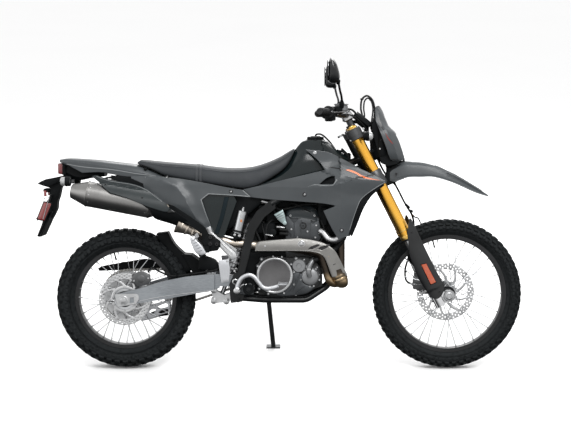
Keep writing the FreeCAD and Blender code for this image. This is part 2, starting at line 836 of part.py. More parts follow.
def stand_bracket():
    """A pivot bolt for the stand on a plate that is joined to the left cradle tube."""
    inside = STAND_PIVOT - STAND_AXIS * (stand_boss_width / 2 + seat_gap)
    outside = STAND_PIVOT + STAND_AXIS * (stand_boss_width / 2 + seat_gap)
    plate = rod(inside - STAND_AXIS * stand_plate_thickness, inside, stand_boss_r)
    bolt = rod(inside, outside, stand_bolt_r)
    head = rod(outside, outside + STAND_AXIS * stand_plate_thickness, stand_bolt_r * 1.5)
    low = V(stand_pivot_x, cradle_y, cradle_z)
    rail = V(stand_pivot_x - stand_boss_r, cradle_y, cradle_z)
    middle = inside - STAND_AXIS * stand_plate_thickness
    return [plate, bolt, head, rod(low, middle, stand_leg_r), rod(rail, middle, stand_leg_r)]


# Side stand
LIFT = (crown_half - block_taper) * math.sin(LEAN)
UNLEAN = FreeCAD.Rotation(AXIS_X, lean_deg)
STAND_FOOT = UNLEAN.multVec(V(stand_foot_x, stand_foot_side, stand_foot_thickness - LIFT))
STAND_PIVOT = V(stand_pivot_x, stand_pivot_y, stand_pivot_z)
FOLDED = V(-stand_fold_back, stand_fold_out, -stand_fold_down)
STAND_AXIS = (STAND_FOOT - STAND_PIVOT).cross(FOLDED).normalize()


def side_stand():
    """A leg from its pivot boss to a plate that lies flat on the ground when the motorcycle leans."""
    half = STAND_AXIS * (stand_boss_width / 2)
    boss = rod(STAND_PIVOT - half, STAND_PIVOT + half, stand_boss_r)
    leg = rod(STAND_PIVOT, STAND_FOOT, stand_leg_r)
    toe = STAND_FOOT - (STAND_FOOT - STAND_PIVOT).normalize() * stand_leg_r * 2
    bore = rod(STAND_PIVOT - half * 2, STAND_PIVOT + half * 2, stand_bolt_r + running_gap)
    plate = Part.makeBox(stand_foot_length, stand_foot_width, stand_foot_thickness,
                         V(stand_foot_x - stand_foot_length / 2, stand_foot_side - stand_foot_width / 2, -LIFT))
    ankle = Part.makeSphere(stand_leg_r, toe)
    return fused(boss, leg.cut(below_ground()), plate.rotate(ORIGIN, AXIS_X, lean_deg), ankle).cut(bore)


def below_ground():
    """A block under the leaning motorcycle's ground plane."""
    size = stand_foot_length * 2
    block = Part.makeBox(size, size, size, V(stand_foot_x - size / 2, stand_foot_side - size / 2, -size - LIFT))
    return block.rotate(ORIGIN, AXIS_X, lean_deg)


parts["frame"] = frame()
parts["side_stand"] = side_stand()

rail_shares = [(0.0, 1.0), (0.28, 0.88), (0.62, 0.66), (1.0, 0.0)]
rail_x = -820.0
rail_z = spar_top_z
rail_length = spar_top_x - rail_x
rail_height = 110.0
strut_shares = [(0.0, 1.0), (0.08, 1.0), (0.68, 0.33), (1.0, 0.05), (0.96, -0.02), (0.64, 0.26)]
strut_front_x = -225.0
strut_z = 540.0
strut_length = 420.0
strut_height = 340.0


def subframe():
    rails = []
    points = [V(x, subframe_y, z) for x, z in outline_at(rail_shares, rail_x, rail_z, rail_length, rail_height)]
    strut = side_slab(outline_at(strut_shares, strut_front_x - strut_length, strut_z, strut_length, strut_height),
                      strut_y, strut_y + strut_thickness)
    for make in (lambda s: s, mirrored):
        rails.append(make(bent_tube(points, subframe_r, frame_bend_r)))
        rails.append(make(strut))
    tail_end, joint, low_joint = points[0], points[1], points[2]
    outer = strut_y + strut_thickness
    rails.append(rod(V(tail_end.x, -subframe_y, tail_end.z), tail_end, subframe_r))
    rails.append(rod(V(joint.x, -outer, joint.z), V(joint.x, outer, joint.z), subframe_r))
    rails.append(rod(V(low_joint.x, -subframe_y, low_joint.z), low_joint, subframe_r))
    cross = rod(V(spar_top_x, -panel_reach, spar_top_z), V(spar_top_x, panel_reach, spar_top_z),
                backbone_r + running_gap)
    return fused(rails).cut(cross)


def rail_height_at(x):
    """The height of the rails' axis at a place along the motorcycle."""
    points = outline_at(rail_shares, rail_x, rail_z, rail_length, rail_height)
    for (x0, z0), (x1, z1) in zip(points, points[1:]):
        if x0 <= x <= x1:
            return z0 + (z1 - z0) * (x - x0) / (x1 - x0)
    return rail_z


def rail_face(x, way):
    """The height just clear of both rails at a post's place: above them if way is 1, below if it is -1."""
    near = rail_height_at(x - boss_r)
    far = rail_height_at(x + boss_r)
    slope = math.atan2(far - near, 2 * boss_r)
    return way * (max(way * near, way * far) + subframe_r / math.cos(slope) + seat_gap)


def rail_posts(places, rise):
    """Short posts that stand on both rails."""
    return [rod(V(x, side * subframe_y, rail_face(x, 1)), V(x, side * subframe_y, rail_face(x, 1) + rise), boss_r)
            for x in places for side in (1, -1)]


parts["subframe"] = subframe()
post_rise = 40.0
seat_post_xs = (-470.0, -320.0)
tail_post_xs = (-790.0, -690.0)
airbox_post_x = -345.0

# Exhaust


def silencer_point(share):
    """A point on the silencer's axis, from its rear face forward."""
    slope = math.radians(silencer_slope_deg)
    back = silencer_length * (1 - share)
    return V(silencer_front_x - back * math.cos(slope), silencer_y, silencer_front_z + back * math.sin(slope))


SILENCER_AXIS = (silencer_point(1) - silencer_point(0)).normalize()
SILENCER_UP = SILENCER_AXIS.cross(V(0, -1, 0))


def silencer():
    """Rear cone with its sunk outlet, a round body and a front cone onto the pipe."""
    l, r = silencer_length, silencer_r
    profile = [(overrun, 0), (overrun, silencer_outlet_r), (0, silencer_outlet_r), (0, silencer_rear_r),
               (silencer_rear_cone, r), (l - silencer_front_cone, r), (l, mid_pipe_r + silencer_wall),
               (l, 0)]
    return turned(profile, silencer_point(0), SILENCER_AXIS, SILENCER_UP)


parts["silencer"] = silencer()

port_x = 150.0
port_z = 664.0
header_front_x = 250.0
header_low_z = 402.0
header_high_z = 628.0
header_rear_x = -118.0
header_rear_z = 574.0
header_return_x = 204.0
header_turn_z = 540.0
header_gate_x = -20.0
mid_bend_x = -262.0
mid_bend_z = 588.0
mid_rise_x = -440.0
mid_rise_y = -74.0
mid_rise_z = 642.0
guard_x = -118.0
guard_z = 439.0
guard_length = 388.0
guard_height = 173.0
guard_shares = [(0.0, 0.94), (0.22, 0.98), (0.45, 1.0), (0.63, 0.94), (0.78, 0.82), (0.89, 0.65),
                (0.94, 0.46), (1.0, 0.16), (0.84, 0.0), (0.79, 0.29), (0.74, 0.55), (0.52, 0.65),
                (0.3, 0.65), (0.0, 0.65)]
guard_bulge_shares = [(0.0, (0.94, 0.96, 0.97, 0.96, 0.94)), (0.5, (0.98, 1.0, 1.0, 1.0, 0.98)),
                      (1.0, (0.92, 0.94, 0.95, 0.94, 0.92))]
guard_at_shares = (-0.05, 0.25, 0.5, 0.75, 1.05)


HEADER_END = V(header_rear_x, pipe_inner_y, header_rear_z)
HEADER_GATE = V(header_gate_x, exhaust_y, header_rear_z)


def header_pipe():
    """From the head's port forward, down, round and back along the right side."""
    points = [V(port_x, port_y, port_z), V(port_x + header_r * 2, port_y, port_z),
              V(header_front_x, exhaust_y * 0.52, header_high_z),
              V(header_front_x, exhaust_y * 0.62, header_low_z), V(header_return_x, exhaust_y, header_low_z),
              V(header_return_x * 0.8, exhaust_y, header_turn_z), V(header_gate_x, exhaust_y, header_rear_z),
              HEADER_END]
    return bent_tube(points, header_r, header_bend_r)


def mid_pipe(extra):
    """The pipe to the silencer, inboard of the spar and the strut, with extra added to its radius."""
    on = HEADER_END + (HEADER_END - HEADER_GATE).normalize() * mid_pipe_r
    joint = silencer_point(1) + SILENCER_AXIS * seat_gap
    return bent_tube([HEADER_END, on, V(mid_bend_x, pipe_inner_y, mid_bend_z), V(mid_rise_x, mid_rise_y, mid_rise_z),
                      joint + SILENCER_AXIS * mid_pipe_r, joint], mid_pipe_r + extra, header_bend_r * 2)


def side_panel(outline, wall):
    """A curved sheet cut to an outline seen from the left side."""
    return side_slab(outline, 0, panel_reach).common(wall)


def outer_reach(panel, x, z):
    """How far out a panel's outer face lies at a place seen from the side."""
    line = Part.LineSegment(V(x, 0, z), V(x, panel_reach, z)).toShape()
    return line.common(panel).BoundBox.YMax


def header_guard():
    outline = outline_at(guard_shares, guard_x, guard_z, guard_length, guard_height)
    wall = curved_wall(guard_bulge_shares, guard_at_shares, guard_x, guard_z, guard_length, guard_height,
                       guard_y, guard_thickness)
    return clipped(side_panel(outline, wall), guard_clips, -exhaust_y, parts["exhaust_pipe"])


def clipped(panel, places, from_y, carrier):
    """A right-hand panel with round clips that reach in to what carries it."""
    clips = [rod(V(x, from_y, z), V(x, outer_reach(panel, x, z), z), boss_r) for x, z in places]
    return mirrored(fused(panel, clips)).cut(carrier)


guard_clip_shares = [(0.227, 0.78), (0.552, 0.71)]
guard_clips = outline_at(guard_clip_shares, guard_x, guard_z, guard_length, guard_height)
parts["exhaust_pipe"] = fused(header_pipe(), mid_pipe(0))
parts["header_guard"] = header_guard()

canister_x = -881.0
canister_z = 646.0
canister_length = 513.0
canister_height = 249.0
canister_shares = [(0.0, 1.0), (0.175, 0.71), (0.35, 0.6), (0.52, 0.47), (0.555, 0.24), (0.76, 0.08),
                   (0.85, 0.1), (1.0, 0.0), (0.68, 0.45), (0.34, 0.89)]
canister_at_shares = (-0.05, 0.3, 0.6, 0.85, 1.05)
canister_wall_shares = [(-0.05, (1.0, 1.0, 0.98, 0.88, 0.8)), (0.5, (1.0, 1.0, 0.98, 0.88, 0.8)),
                        (1.05, (0.8, 0.84, 0.82, 0.76, 0.7))]


def silencer_cover():
    outline = outline_at(canister_shares, canister_x, canister_z, canister_length, canister_height)
    wall = curved_wall(canister_wall_shares, canister_at_shares, canister_x, canister_z, canister_length,
                       canister_height, silencer_cover_depth, silencer_cover_thickness)
    return clipped(side_panel(outline, wall), canister_clips, -silencer_y, parts["silencer"])


canister_clip_shares = [(0.372, 0.68), (0.489, 0.555)]
canister_clips = outline_at(canister_clip_shares, canister_x, canister_z, canister_length, canister_height)
parts["silencer_cover"] = silencer_cover()

# Bodywork

seat_section_shares = [(0.0, 0.0), (0.72, 0.0), (0.96, 0.3), (1.0, 0.62), (0.9, 0.88), (0.6, 0.98), (0.0, 1.0)]
seat_station_shares = [(0.0, 0.42, 0.6, 0.66), (0.04, 0.62, 0.57, 0.7), (0.2, 0.78, 0.37, 0.66),
                       (0.4, 0.92, 0.18, 0.59), (0.55, 1.0, 0.05, 0.52), (0.68, 1.0, 0.0, 0.5),
                       (0.8, 0.86, 0.12, 0.6), (0.92, 0.64, 0.38, 0.8), (1.0, 0.5, 0.78, 1.0)]
tank_section_shares = [(0.0, 0.0), (0.8, 0.0), (1.0, 0.3), (0.94, 0.68), (0.62, 0.95), (0.0, 1.0)]
tank_station_shares = [(0.0, 0.7, 0.0, 0.3), (0.15, 0.8, 0.04, 0.68), (0.3, 0.9, 0.1, 0.97),
                       (0.55, 1.0, 0.2, 1.0), (0.8, 0.76, 0.34, 0.62), (1.0, 0.4, 0.42, 0.5)]


SEAT_X = seat_front_x - seat_length


def behind_seam(offset):
    """What lies behind the seam where the seat's front meets the tank's rear slope."""
    low = (seam_x + offset, seam_z)
    high = (seam_x + seam_run + offset, seam_z + seam_rise)
    back = SEAT_X - overrun
    return side_slab([low, high, (back, high[1]), (back, low[1])], -seat_width, seat_width)


def seat():
    form = body_loft(seat_station_shares, seat_section_shares, SEAT_X, seat_z, seat_length, seat_width, seat_height)
    return fused(form.common(behind_seam(0)), rail_posts(seat_post_xs, post_rise))


def fuel_tank():
    """The tank, cut back to the seat's front, with a cap sunk into its top."""
    form = body_loft(tank_station_shares, tank_section_shares, tank_x, tank_z, tank_length, tank_width, tank_height)
    cap_seat = tank_z + tank_height - tank_cap_height
    well = Part.makeCylinder(tank_cap_r + pad_gap, tank_cap_height * 2, V(tank_cap_x, 0, cap_seat), AXIS_Z)
    cap = Part.makeCylinder(tank_cap_r, tank_cap_height * 2, V(tank_cap_x, 0, cap_seat), AXIS_Z)
    return fused(form.cut(behind_seam(seat_gap)).cut(well), cap)


parts["seat"] = seat()
parts["fuel_tank"] = fuel_tank()

shroud_shares = [(0.0, 0.557), (0.332, 0.682), (0.577, 0.775), (0.528, 0.883), (0.443, 1.0), (0.538, 0.988),
                 (0.611, 0.966), (0.723, 0.88), (0.822, 0.795), (0.938, 0.709), (1.0, 0.658),
                 (0.938, 0.597), (0.871, 0.523), (0.826, 0.452), (0.802, 0.359), (0.772, 0.222),
                 (0.742, 0.046), (0.674, 0.0), (0.629, 0.11), (0.566, 0.32), (0.542, 0.406),
                 (0.386, 0.423), (0.192, 0.443), (0.055, 0.467)]
shroud_window_shares = [(0.548, 0.623), (0.626, 0.709), (0.645, 0.709), (0.645, 0.645), (0.635, 0.623)]
shroud_at_shares = (-0.05, 0.33, 0.6, 0.82, 1.05)
shroud_wall_shares = [(-0.05, (0.66, 0.74, 0.84, 0.86, 0.88)), (0.4, (0.66, 0.78, 0.92, 0.98, 1.0)),
                      (0.66, (0.65, 0.8, 0.95, 1.0, 1.0)), (0.86, (0.56, 0.7, 0.86, 0.94, 0.96)),
                      (1.05, (0.4, 0.52, 0.66, 0.78, 0.84))]
cover_shares = [(0.0, 0.99), (0.138, 1.0), (0.335, 0.98), (0.556, 0.91), (0.795, 0.81), (0.936, 0.758),
                (1.0, 0.638), (0.651, 0.688), (0.595, 0.596), (0.691, 0.0), (0.627, 0.085),
                (0.318, 0.469), (0.0, 0.89)]
cover_at_shares = (-0.05, 0.25, 0.5, 0.75, 1.05)
cover_wall_shares = [(-0.05, (0.8, 0.86, 0.88, 0.86, 0.84)), (0.5, (0.9, 0.98, 1.0, 0.98, 0.92)),
                     (0.85, (0.84, 0.92, 0.94, 0.92, 0.88)), (1.05, (0.76, 0.84, 0.86, 0.86, 0.84))]
airbox_shares = [(0.0, 0.884), (0.208, 1.0), (0.91, 0.968), (1.0, 0.853), (0.639, 0.0), (0.361, 0.068)]


radiator_x = 258.0
radiator_z = 640.0
radiator_depth = 34.0
radiator_half = 150.0
radiator_inner = 58.0
radiator_height = 210.0
shroud_bosses = [(radiator_x + radiator_depth / 3, radiator_z + boss_r * 2),
                 (radiator_x + radiator_depth / 2, radiator_z + radiator_height - boss_r * 2)]
cover_boss_shares = [(0.302, 0.881), (0.836, 0.719)]


def shroud():
    outline = outline_at(shroud_shares, shroud_x, shroud_z, shroud_length, shroud_height)
    window = outline_at(shroud_window_shares, shroud_x, shroud_z, shroud_length, shroud_height)
    wall = curved_wall(shroud_wall_shares, shroud_at_shares, shroud_x, shroud_z, shroud_length, shroud_height,
                       shroud_depth, panel_thickness)
    panel = side_panel(outline, wall).cut(side_slab(window, 0, panel_reach))
    low_y = radiator_half + seat_gap
    bosses = [rod(V(x, low_y, z), V(x, outer_reach(panel, x, z), z), boss_r) for x, z in shroud_bosses]
    return fused(panel, bosses)


def side_cover():
    outline = outline_at(cover_shares, cover_x, cover_z, cover_length, cover_height)
    wall = curved_wall(cover_wall_shares, cover_at_shares, cover_x, cover_z, cover_length, cover_height,
                       cover_depth, panel_thickness)
    panel = side_panel(outline, wall)
    places = outline_at(cover_boss_shares, cover_x, cover_z, cover_length, cover_height)
    bosses = [rod(V(x, subframe_y, z), V(x, outer_reach(panel, x, z), z), boss_r) for x, z in places]
    return fused(panel, Part.makeCompound(bosses).cut(parts["subframe"]))


parts["shroud_left"] = shroud()
parts["shroud_right"] = mirrored(parts["shroud_left"])
parts["side_cover_left"] = side_cover()
heat_room = rod(silencer_point(0), silencer_point(1), silencer_r + heat_gap)
pipe_room = mid_pipe(heat_gap)
parts["side_cover_right"] = mirrored(parts["side_cover_left"]).cut(heat_room).cut(pipe_room)
airbox_outline = outline_at(airbox_shares, airbox_x, airbox_z, airbox_length, airbox_height)


def radiators():
    """A core on each side, on a bar through the down tube's sides."""
    cores = [Part.makeBox(radiator_depth, radiator_half - radiator_inner, radiator_height,
                          V(radiator_x, y, radiator_z)) for y in (radiator_inner, -radiator_half)]
    z = radiator_z + radiator_height * radiator_bar_share
    x = radiator_x + radiator_depth / 2
    bar = rod(V(x, -radiator_inner - overrun / 2, z), V(x, radiator_inner + overrun / 2, z), boss_r)
    return fused(cores, bar).cut(parts["frame"])


radiator_bar_share = 0.3
parts["radiators"] = radiators()


airbox_post = rod(V(airbox_post_x, -subframe_y, airbox_z + airbox_height / 2),
                  V(airbox_post_x, -subframe_y, rail_face(airbox_post_x, -1)), boss_r)
parts["airbox"] = fused(side_slab(airbox_outline, -airbox_half, subframe_y - subframe_r * 2), airbox_post)

tail_section_shares = [(0.0, 0.0), (0.86, 0.0), (1.0, 0.4), (0.84, 0.9), (0.0, 1.0)]
tail_station_shares = [(0.0, 0.5, 0.66, 0.95), (0.08, 0.68, 0.27, 1.0), (0.22, 0.8, 0.25, 0.95),
                       (0.37, 0.88, 0.27, 0.88), (0.63, 0.94, 0.05, 0.75), (0.72, 0.96, 0.05, 0.67),
                       (0.85, 1.0, 0.02, 0.45), (1.0, 1.0, 0.0, 0.05)]


def tail():
    form = body_loft(tail_station_shares, tail_section_shares, tail_x, tail_z, tail_length, tail_width, tail_height)
    return fused(form, rail_posts(tail_post_xs, post_rise))


lamp_x = -1060.0
lamp_z = 902.0
lamp_depth = 26.0
lamp_height = 48.0
lamp_half = 44.0
parts["tail_light"] = box_at(V(lamp_x + lamp_depth / 2, 0, lamp_z + lamp_height / 2), lamp_depth, 2 * lamp_half,
                             lamp_height)
parts["tail"] = tail().cut(parts["tail_light"])
flap_x = -1158.0
flap_z = 609.0
flap_length = 124.0
flap_height = 229.0
flap_half = 68.0
flap_shares = [(0.48, 1.0), (1.0, 1.0), (0.74, 0.72), (0.59, 0.4), (0.43, 0.4), (0.06, 0.0), (0.0, 0.03),
               (0.19, 0.3), (0.37, 0.66), (0.56, 0.82)]
bracket_x = -1153.0
bracket_z = 838.0
bracket_length = 150.0
bracket_height = 54.0
bracket_shares = [(0.0, 0.33), (0.21, 0.67), (0.62, 1.0), (0.8, 2.0), (1.15, 2.0), (1.15, 0.9), (0.79, 0.0),
                  (0.37, 0.0), (0.21, 0.19)]
bracket_half = 20.0


def plate_bracket():
    """The mudguard's flap, which carries the plate, and the arm that holds it to the tail."""
    flap = side_slab(outline_at(flap_shares, flap_x, flap_z, flap_length, flap_height), -flap_half, flap_half)
    arm = side_slab(outline_at(bracket_shares, bracket_x, bracket_z, bracket_length, bracket_height),
                    -bracket_half, bracket_half)
    return fused(flap, arm.cut(parts["tail"]).cut(parts["tail_light"]))


parts["plate_bracket"] = plate_bracket()

fender_section_shares = [(0.0, 0.55), (0.6, 0.45), (0.94, 0.0), (1.0, 0.05), (0.72, 0.86), (0.0, 1.0)]
fender_station_shares = [(0.0, 0.36, 0.26, 0.44), (0.09, 0.7, 0.37, 0.86), (0.18, 0.98, 0.5, 1.0),
                         (0.3, 1.0, 0.545, 0.985), (0.46, 1.0, 0.56, 0.9), (0.63, 0.96, 0.425, 0.695),
                         (0.745, 0.9, 0.27, 0.5), (0.885, 0.8, 0.1, 0.27), (1.0, 0.5, 0.0, 0.05)]


def front_fender():
    """The mudguard, hung from the lower clamp on two short posts."""
    form = body_loft(fender_station_shares, fender_section_shares, FRONT_AXLE.x - fender_behind, fender_z,
                     fender_length, fender_width, fender_height, True)
    at = lower_clamp_at - lower_clamp_height / 2 - seat_gap
    posts = [rod(fork_point(fender_post_forward, side * clamp_web / 2, at),
                 fork_point(fender_post_forward, side * clamp_web / 2, at - fender_post_height), stay_r * 1.5)
             for side in (1, -1)]
    return fused(form, posts)


parts["front_fender"] = front_fender()

mask_station_shares = [(0.0, 0.68, 0.78, 0.5), (0.09, 0.51, 1.0, 0.8), (0.305, 0.35, 0.87, 1.0),
                       (0.54, 0.16, 0.66, 0.98), (0.665, 0.08, 0.42, 0.84), (0.75, 0.015, 0.37, 0.74),
                       (0.945, 0.0, 0.21, 0.6), (1.0, 0.09, 0.14, 0.5)]
mask_side_shares = [(0.0, 0.0), (0.5, 0.06), (0.86, 0.3), (1.0, 0.7), (1.0, 1.0)]
mask_clip_shares = [(0.5, 0.32), (0.3, 0.62)]
lamp_level_share = 0.34
lamp_shares = [(0.66, 0.1), (0.74, 0.2), (0.6, 0.42), (0.42, 0.6), (0.1, 0.84), (-0.02, 0.84),
               (-0.02, 0.7), (-0.1, 0.66), (-0.06, 0.44), (0.14, 0.12)]
MASK_X = FRONT_AXLE.x - mask_behind


def mask(wall):
    """A loft up the headlamp surround, a wall's thickness inside its outer faces and open to the rear."""
    wires = []
    for level, rear, front, width in mask_station_shares:
        half = width * mask_width / 2 - wall
        x_low = MASK_X + rear * mask_length - wall * 4
        reach = (front - rear) * mask_length + wall * 3
        z = mask_z + wall + level * (mask_height - 2 * wall)
        left = [V(x_low + t * reach, (1 - s) * half, z) for t, s in mask_side_shares]
        right = [V(p.x, -p.y, z) for p in reversed(left) if abs(p.y) > 0]
        wires.append(closed(left + right))
    return Part.makeLoft(wires, True, True)


def lamp_window(gap):
    """The block that the headlamp's lens fills, seen from the front, and the mask's opening round it."""
    return box_at(V(MASK_X + mask_length, 0, mask_z + mask_height * lamp_level_share), mask_length,
                  lamp_lens_width + 2 * gap, lamp_lens_height + 2 * gap)


def headlamp():
    """The lamp's housing behind the mask, on two stays from the fork tubes."""
    outline = outline_at(lamp_shares, MASK_X, mask_z, mask_length, mask_height)
    pieces = [side_slab(outline, -housing_half, housing_half)]
    for side in (1, -1):
        low = fork_point(outer_tube_r + seat_gap, side * fork_half_spacing, mask_stay_at)
        high = V(MASK_X + mask_length * 0.45, side * housing_half * 0.9, mask_z + mask_height * 0.3)
        pieces.append(rod(low, high, stay_r).cut(
            rod(low - FORK_FORWARD * outer_tube_r - FORK_UP * mask_height,
                low - FORK_FORWARD * outer_tube_r + FORK_UP * mask_height, outer_tube_r + running_gap)))
    bucket = lamp_window(-mask_wall).common(mask(2 * mask_wall + seat_gap))
    return fused(pieces, bucket)


def headlight_mask():
    """The mask's shell, cut open for the lens, with clips that reach in to the lamp's housing."""
    outer = mask(0)
    shell = outer.cut(mask(mask_wall)).cut(lamp_window(pad_gap))
    clips = []
    for x, z in outline_at(mask_clip_shares, MASK_X, mask_z, mask_length, mask_height):
        for side in (1, -1):
            inner = V(x, side * (housing_half + seat_gap), z)
            clips.append(rod(inner, V(x, side * mask_width / 2, z), boss_r).common(outer))
    return fused(shell, clips)


parts["headlamp"] = headlamp()
parts["headlamp_lens"] = lamp_window(0).common(mask(0)).cut(mask(2 * mask_wall))
parts["headlight_mask"] = headlight_mask()

signal_r = 21.0
signal_length = 54.0
signal_stalk_r = 7.0
front_signal_forward = 52.0
front_signal_at = 822.0
front_signal_y = 158.0
rear_signal_x = -1012.0
rear_signal_y = 72.0
rear_signal_z = 872.0


def signal(root, body):
    """A turn signal: a stalk from its root and a round lamp whose axis runs across the motorcycle."""
    lamp = Part.makeCylinder(signal_r, signal_length, body, AXIS_Y)
    return fused(lamp, rod(root, V(body.x, body.y + signal_r / 2, body.z), signal_stalk_r))


front_signal_root = fork_point(outer_tube_r * 0.9, fork_half_spacing + outer_tube_r * 0.6,
                               front_signal_at - signal_r)
fork_room = rod(fork_point(0, fork_half_spacing, outer_tube_low), fork_point(0, fork_half_spacing, upper_clamp_at),
                outer_tube_r + running_gap)
front_signal_at_point = fork_point(front_signal_forward, front_signal_y, front_signal_at)
front_signal = signal(front_signal_root, front_signal_at_point).cut(fork_room)
parts["front_signals"] = both_sides(front_signal)
rear_signal = signal(V(rear_signal_x, bracket_half + seat_gap, rear_signal_z),
                     V(rear_signal_x, rear_signal_y, rear_signal_z))
parts["rear_lights"] = Part.makeCompound([parts.pop("tail_light"), rear_signal, mirrored(rear_signal)])

# Swingarm and rear suspension

arm_x = -791.0
arm_z = 293.0
arm_length = 499.0
arm_height = 159.0
arm_shares = [(0.0, 0.34), (0.032, 0.0), (0.2, 0.1), (0.515, 0.26), (0.76, 0.4), (0.87, 0.45), (0.97, 0.54),
              (1.0, 0.94), (0.85, 0.95), (0.655, 0.88), (0.48, 0.77), (0.2, 0.51)]
arm_nose_x = -330.0


def swingarm():
    """Two box arms with a cross tube ahead of the tyre, on a pivot tube with ears beside the frame."""
    arm = side_slab(outline_at(arm_shares, arm_x, arm_z, arm_length, arm_height), arm_in, arm_out)
    neck = side_slab([(arm_nose_x, pivot_z - arm_pivot_r), (pivot_x, pivot_z - arm_pivot_r),
                      (pivot_x, pivot_z + arm_pivot_r), (arm_nose_x, pivot_z + arm_pivot_r)],
                     arm_in, pivot_ear_y)
    ear = Part.makeCylinder(arm_pivot_r, pivot_ear_y - arm_in, PIVOT + V(0, arm_in, 0), AXIS_Y)
    room = side_slab([(arm_nose_x, arm_z - arm_height), (pivot_x + arm_length, arm_z - arm_height),
                      (pivot_x + arm_length, arm_z + 2 * arm_height), (arm_nose_x, arm_z + 2 * arm_height)],
                     pivot_ear_y, arm_out + overrun)
    left = fused(arm, neck, ear).cut(room)
    tube = rod(PIVOT - V(0, arm_in, 0), PIVOT + V(0, arm_in, 0), arm_tube_r)
    cross = box_at(V(cross_x + cross_length / 2, 0, cross_z + cross_height / 2), cross_length, 2 * arm_in,
                   cross_height)
    body = fused(left, mirrored(left), tube, cross)
    bolt = rod(PIVOT - V(0, arm_out, 0), PIVOT + V(0, arm_out, 0), pivot_bolt_r + seat_gap)
    axle = rod(REAR_AXLE - V(0, axle_end_y, 0), REAR_AXLE + V(0, axle_end_y, 0), axle_r + seat_gap)
    return body.cut(bolt).cut(axle)


pivot_ear_y = spar_y - seat_gap


def axle(centre, end_y, hub_half, seat_y):
    """A spindle with a nut at each end and spacers between the hub and what holds the axle."""
    pieces = [rod(centre - V(0, end_y, 0), centre + V(0, end_y, 0), axle_r)]
    for side in (1, -1):
        nut = centre + V(0, side * end_y, 0)
        pieces.append(sided_rod(nut - V(0, side * axle_nut_width, 0), nut, axle_nut_r, spoke_sides))
        near = centre + V(0, side * (hub_half + seat_gap), 0)
        pieces.append(rod(near, centre + V(0, side * seat_y, 0), spacer_r))
    return fused(pieces)


parts["swingarm"] = swingarm()
parts["rear_axle"] = axle(REAR_AXLE, arm_out + axle_nut_width + seat_gap, rear_hub_half, arm_in - seat_gap)

SHOCK_LOW = V(shock_low_x, 0, shock_low_z)
SHOCK_TOP = V(shock_top_x, 0, shock_top_z)
spring_low_share = 0.36
spring_high_share = 0.86


def rear_shock():
    """A damper rod, a spring shown as one sleeve, and the reservoir beside it."""
    span = SHOCK_TOP - SHOCK_LOW
    low = SHOCK_LOW + span * spring_low_share
    high = SHOCK_LOW + span * spring_high_share
    bar = rod(SHOCK_LOW, SHOCK_TOP, shock_rod_r)
    spring = rod(low, high, shock_spring_r)
    foot = V(reservoir_low_x, reservoir_y, reservoir_low_z)
    head = V(reservoir_top_x, reservoir_y, reservoir_top_z)
    reservoir = rod(foot, head, reservoir_r)
    middle = (foot + head) / 2
    at = (SHOCK_TOP - SHOCK_LOW) * ((middle.z - SHOCK_LOW.z) / (SHOCK_TOP.z - SHOCK_LOW.z)) + SHOCK_LOW
    hose = rod(middle, at, shock_rod_r)
    pin = rod(SHOCK_LOW - V(0, linkage_half, 0), SHOCK_LOW + V(0, linkage_half, 0), shock_rod_r / 2 + running_gap)
    return fused(bar, spring, reservoir, hose).cut(pin)


link_shares = [(0.0, 0.9), (0.12, 0.0), (0.5, 0.1), (1.0, 0.5), (0.95, 1.0), (0.45, 0.6), (0.1, 1.0)]
link_x = -350.0
link_z = 300.0
link_length = 140.0
link_height = 64.0
parts["rear_shock"] = rear_shock()
link_outline = outline_at(link_shares, link_x, link_z, link_length, link_height)
parts["linkage"] = fused(
    [side_slab(link_outline, side * linkage_half - linkage_half / 4, side * linkage_half + linkage_half / 4)
     for side in (1, -1)],
    rod(SHOCK_LOW - V(0, linkage_half, 0), SHOCK_LOW + V(0, linkage_half, 0), shock_rod_r / 2)).cut(
        rod(LOW_TIE - V(0, spar_y, 0), LOW_TIE + V(0, spar_y, 0), cradle_r + seat_gap))
drive_sprocket = sprocket(FRONT_SPROCKET, chain_y, front_teeth, axle_r).rotate(
    FRONT_SPROCKET, AXIS_Y, -math.degrees(FRONT_PHASE))
shaft = rod(FRONT_SPROCKET + V(0, case_half, 0), FRONT_SPROCKET + V(0, sprocket_cover_y, 0), axle_r - seat_gap)
sprocket_cover = fused(
    Part.makeCylinder(sprocket_cover_r, sprocket_cover_thickness, FRONT_SPROCKET + V(0, sprocket_cover_y, 0), AXIS_Y),
    shaft)
parts["front_sprocket"] = Part.makeCompound([drive_sprocket, sprocket_cover])
chain_guard_x = -820.0
chain_guard_z = 452.0
chain_guard_length = 400.0
chain_guard_height = 50.0
chain_guard_shares = [(0.0, 0.0), (0.5, 0.1), (1.0, 0.2), (1.0, 0.55), (0.5, 0.9), (0.1, 0.6)]
chain_guard_y = 88.0
guard_outline = outline_at(chain_guard_shares, chain_guard_x, chain_guard_z, chain_guard_length, chain_guard_height)
flap_guard_x = -480.0
flap_guard_z = cross_z + cross_height + seat_gap
flap_guard_length = 108.0
flap_guard_height = 98.0
flap_guard_half = 60.0
flap_guard_shares = [(0.46, 0.0), (1.0, 0.0), (0.98, 0.32), (0.78, 0.64), (0.37, 0.97), (0.0, 1.0),
                     (0.17, 0.7), (0.34, 0.32)]
swingarm_flap = side_slab(outline_at(flap_guard_shares, flap_guard_x, flap_guard_z, flap_guard_length,
                                     flap_guard_height), -flap_guard_half, flap_guard_half)
guard_lug_x = chain_guard_x + chain_guard_length * 0.9
guard_lug = rod(V(guard_lug_x, arm_in + panel_thickness, cross_z),
                V(guard_lug_x, arm_in + panel_thickness, chain_guard_z + chain_guard_height / 2), boss_r / 2).cut(
                    parts["swingarm"])
parts["chain_guard"] = Part.makeCompound([
    fused(side_slab(guard_outline, chain_guard_y, arm_in + panel_thickness), guard_lug), swingarm_flap])


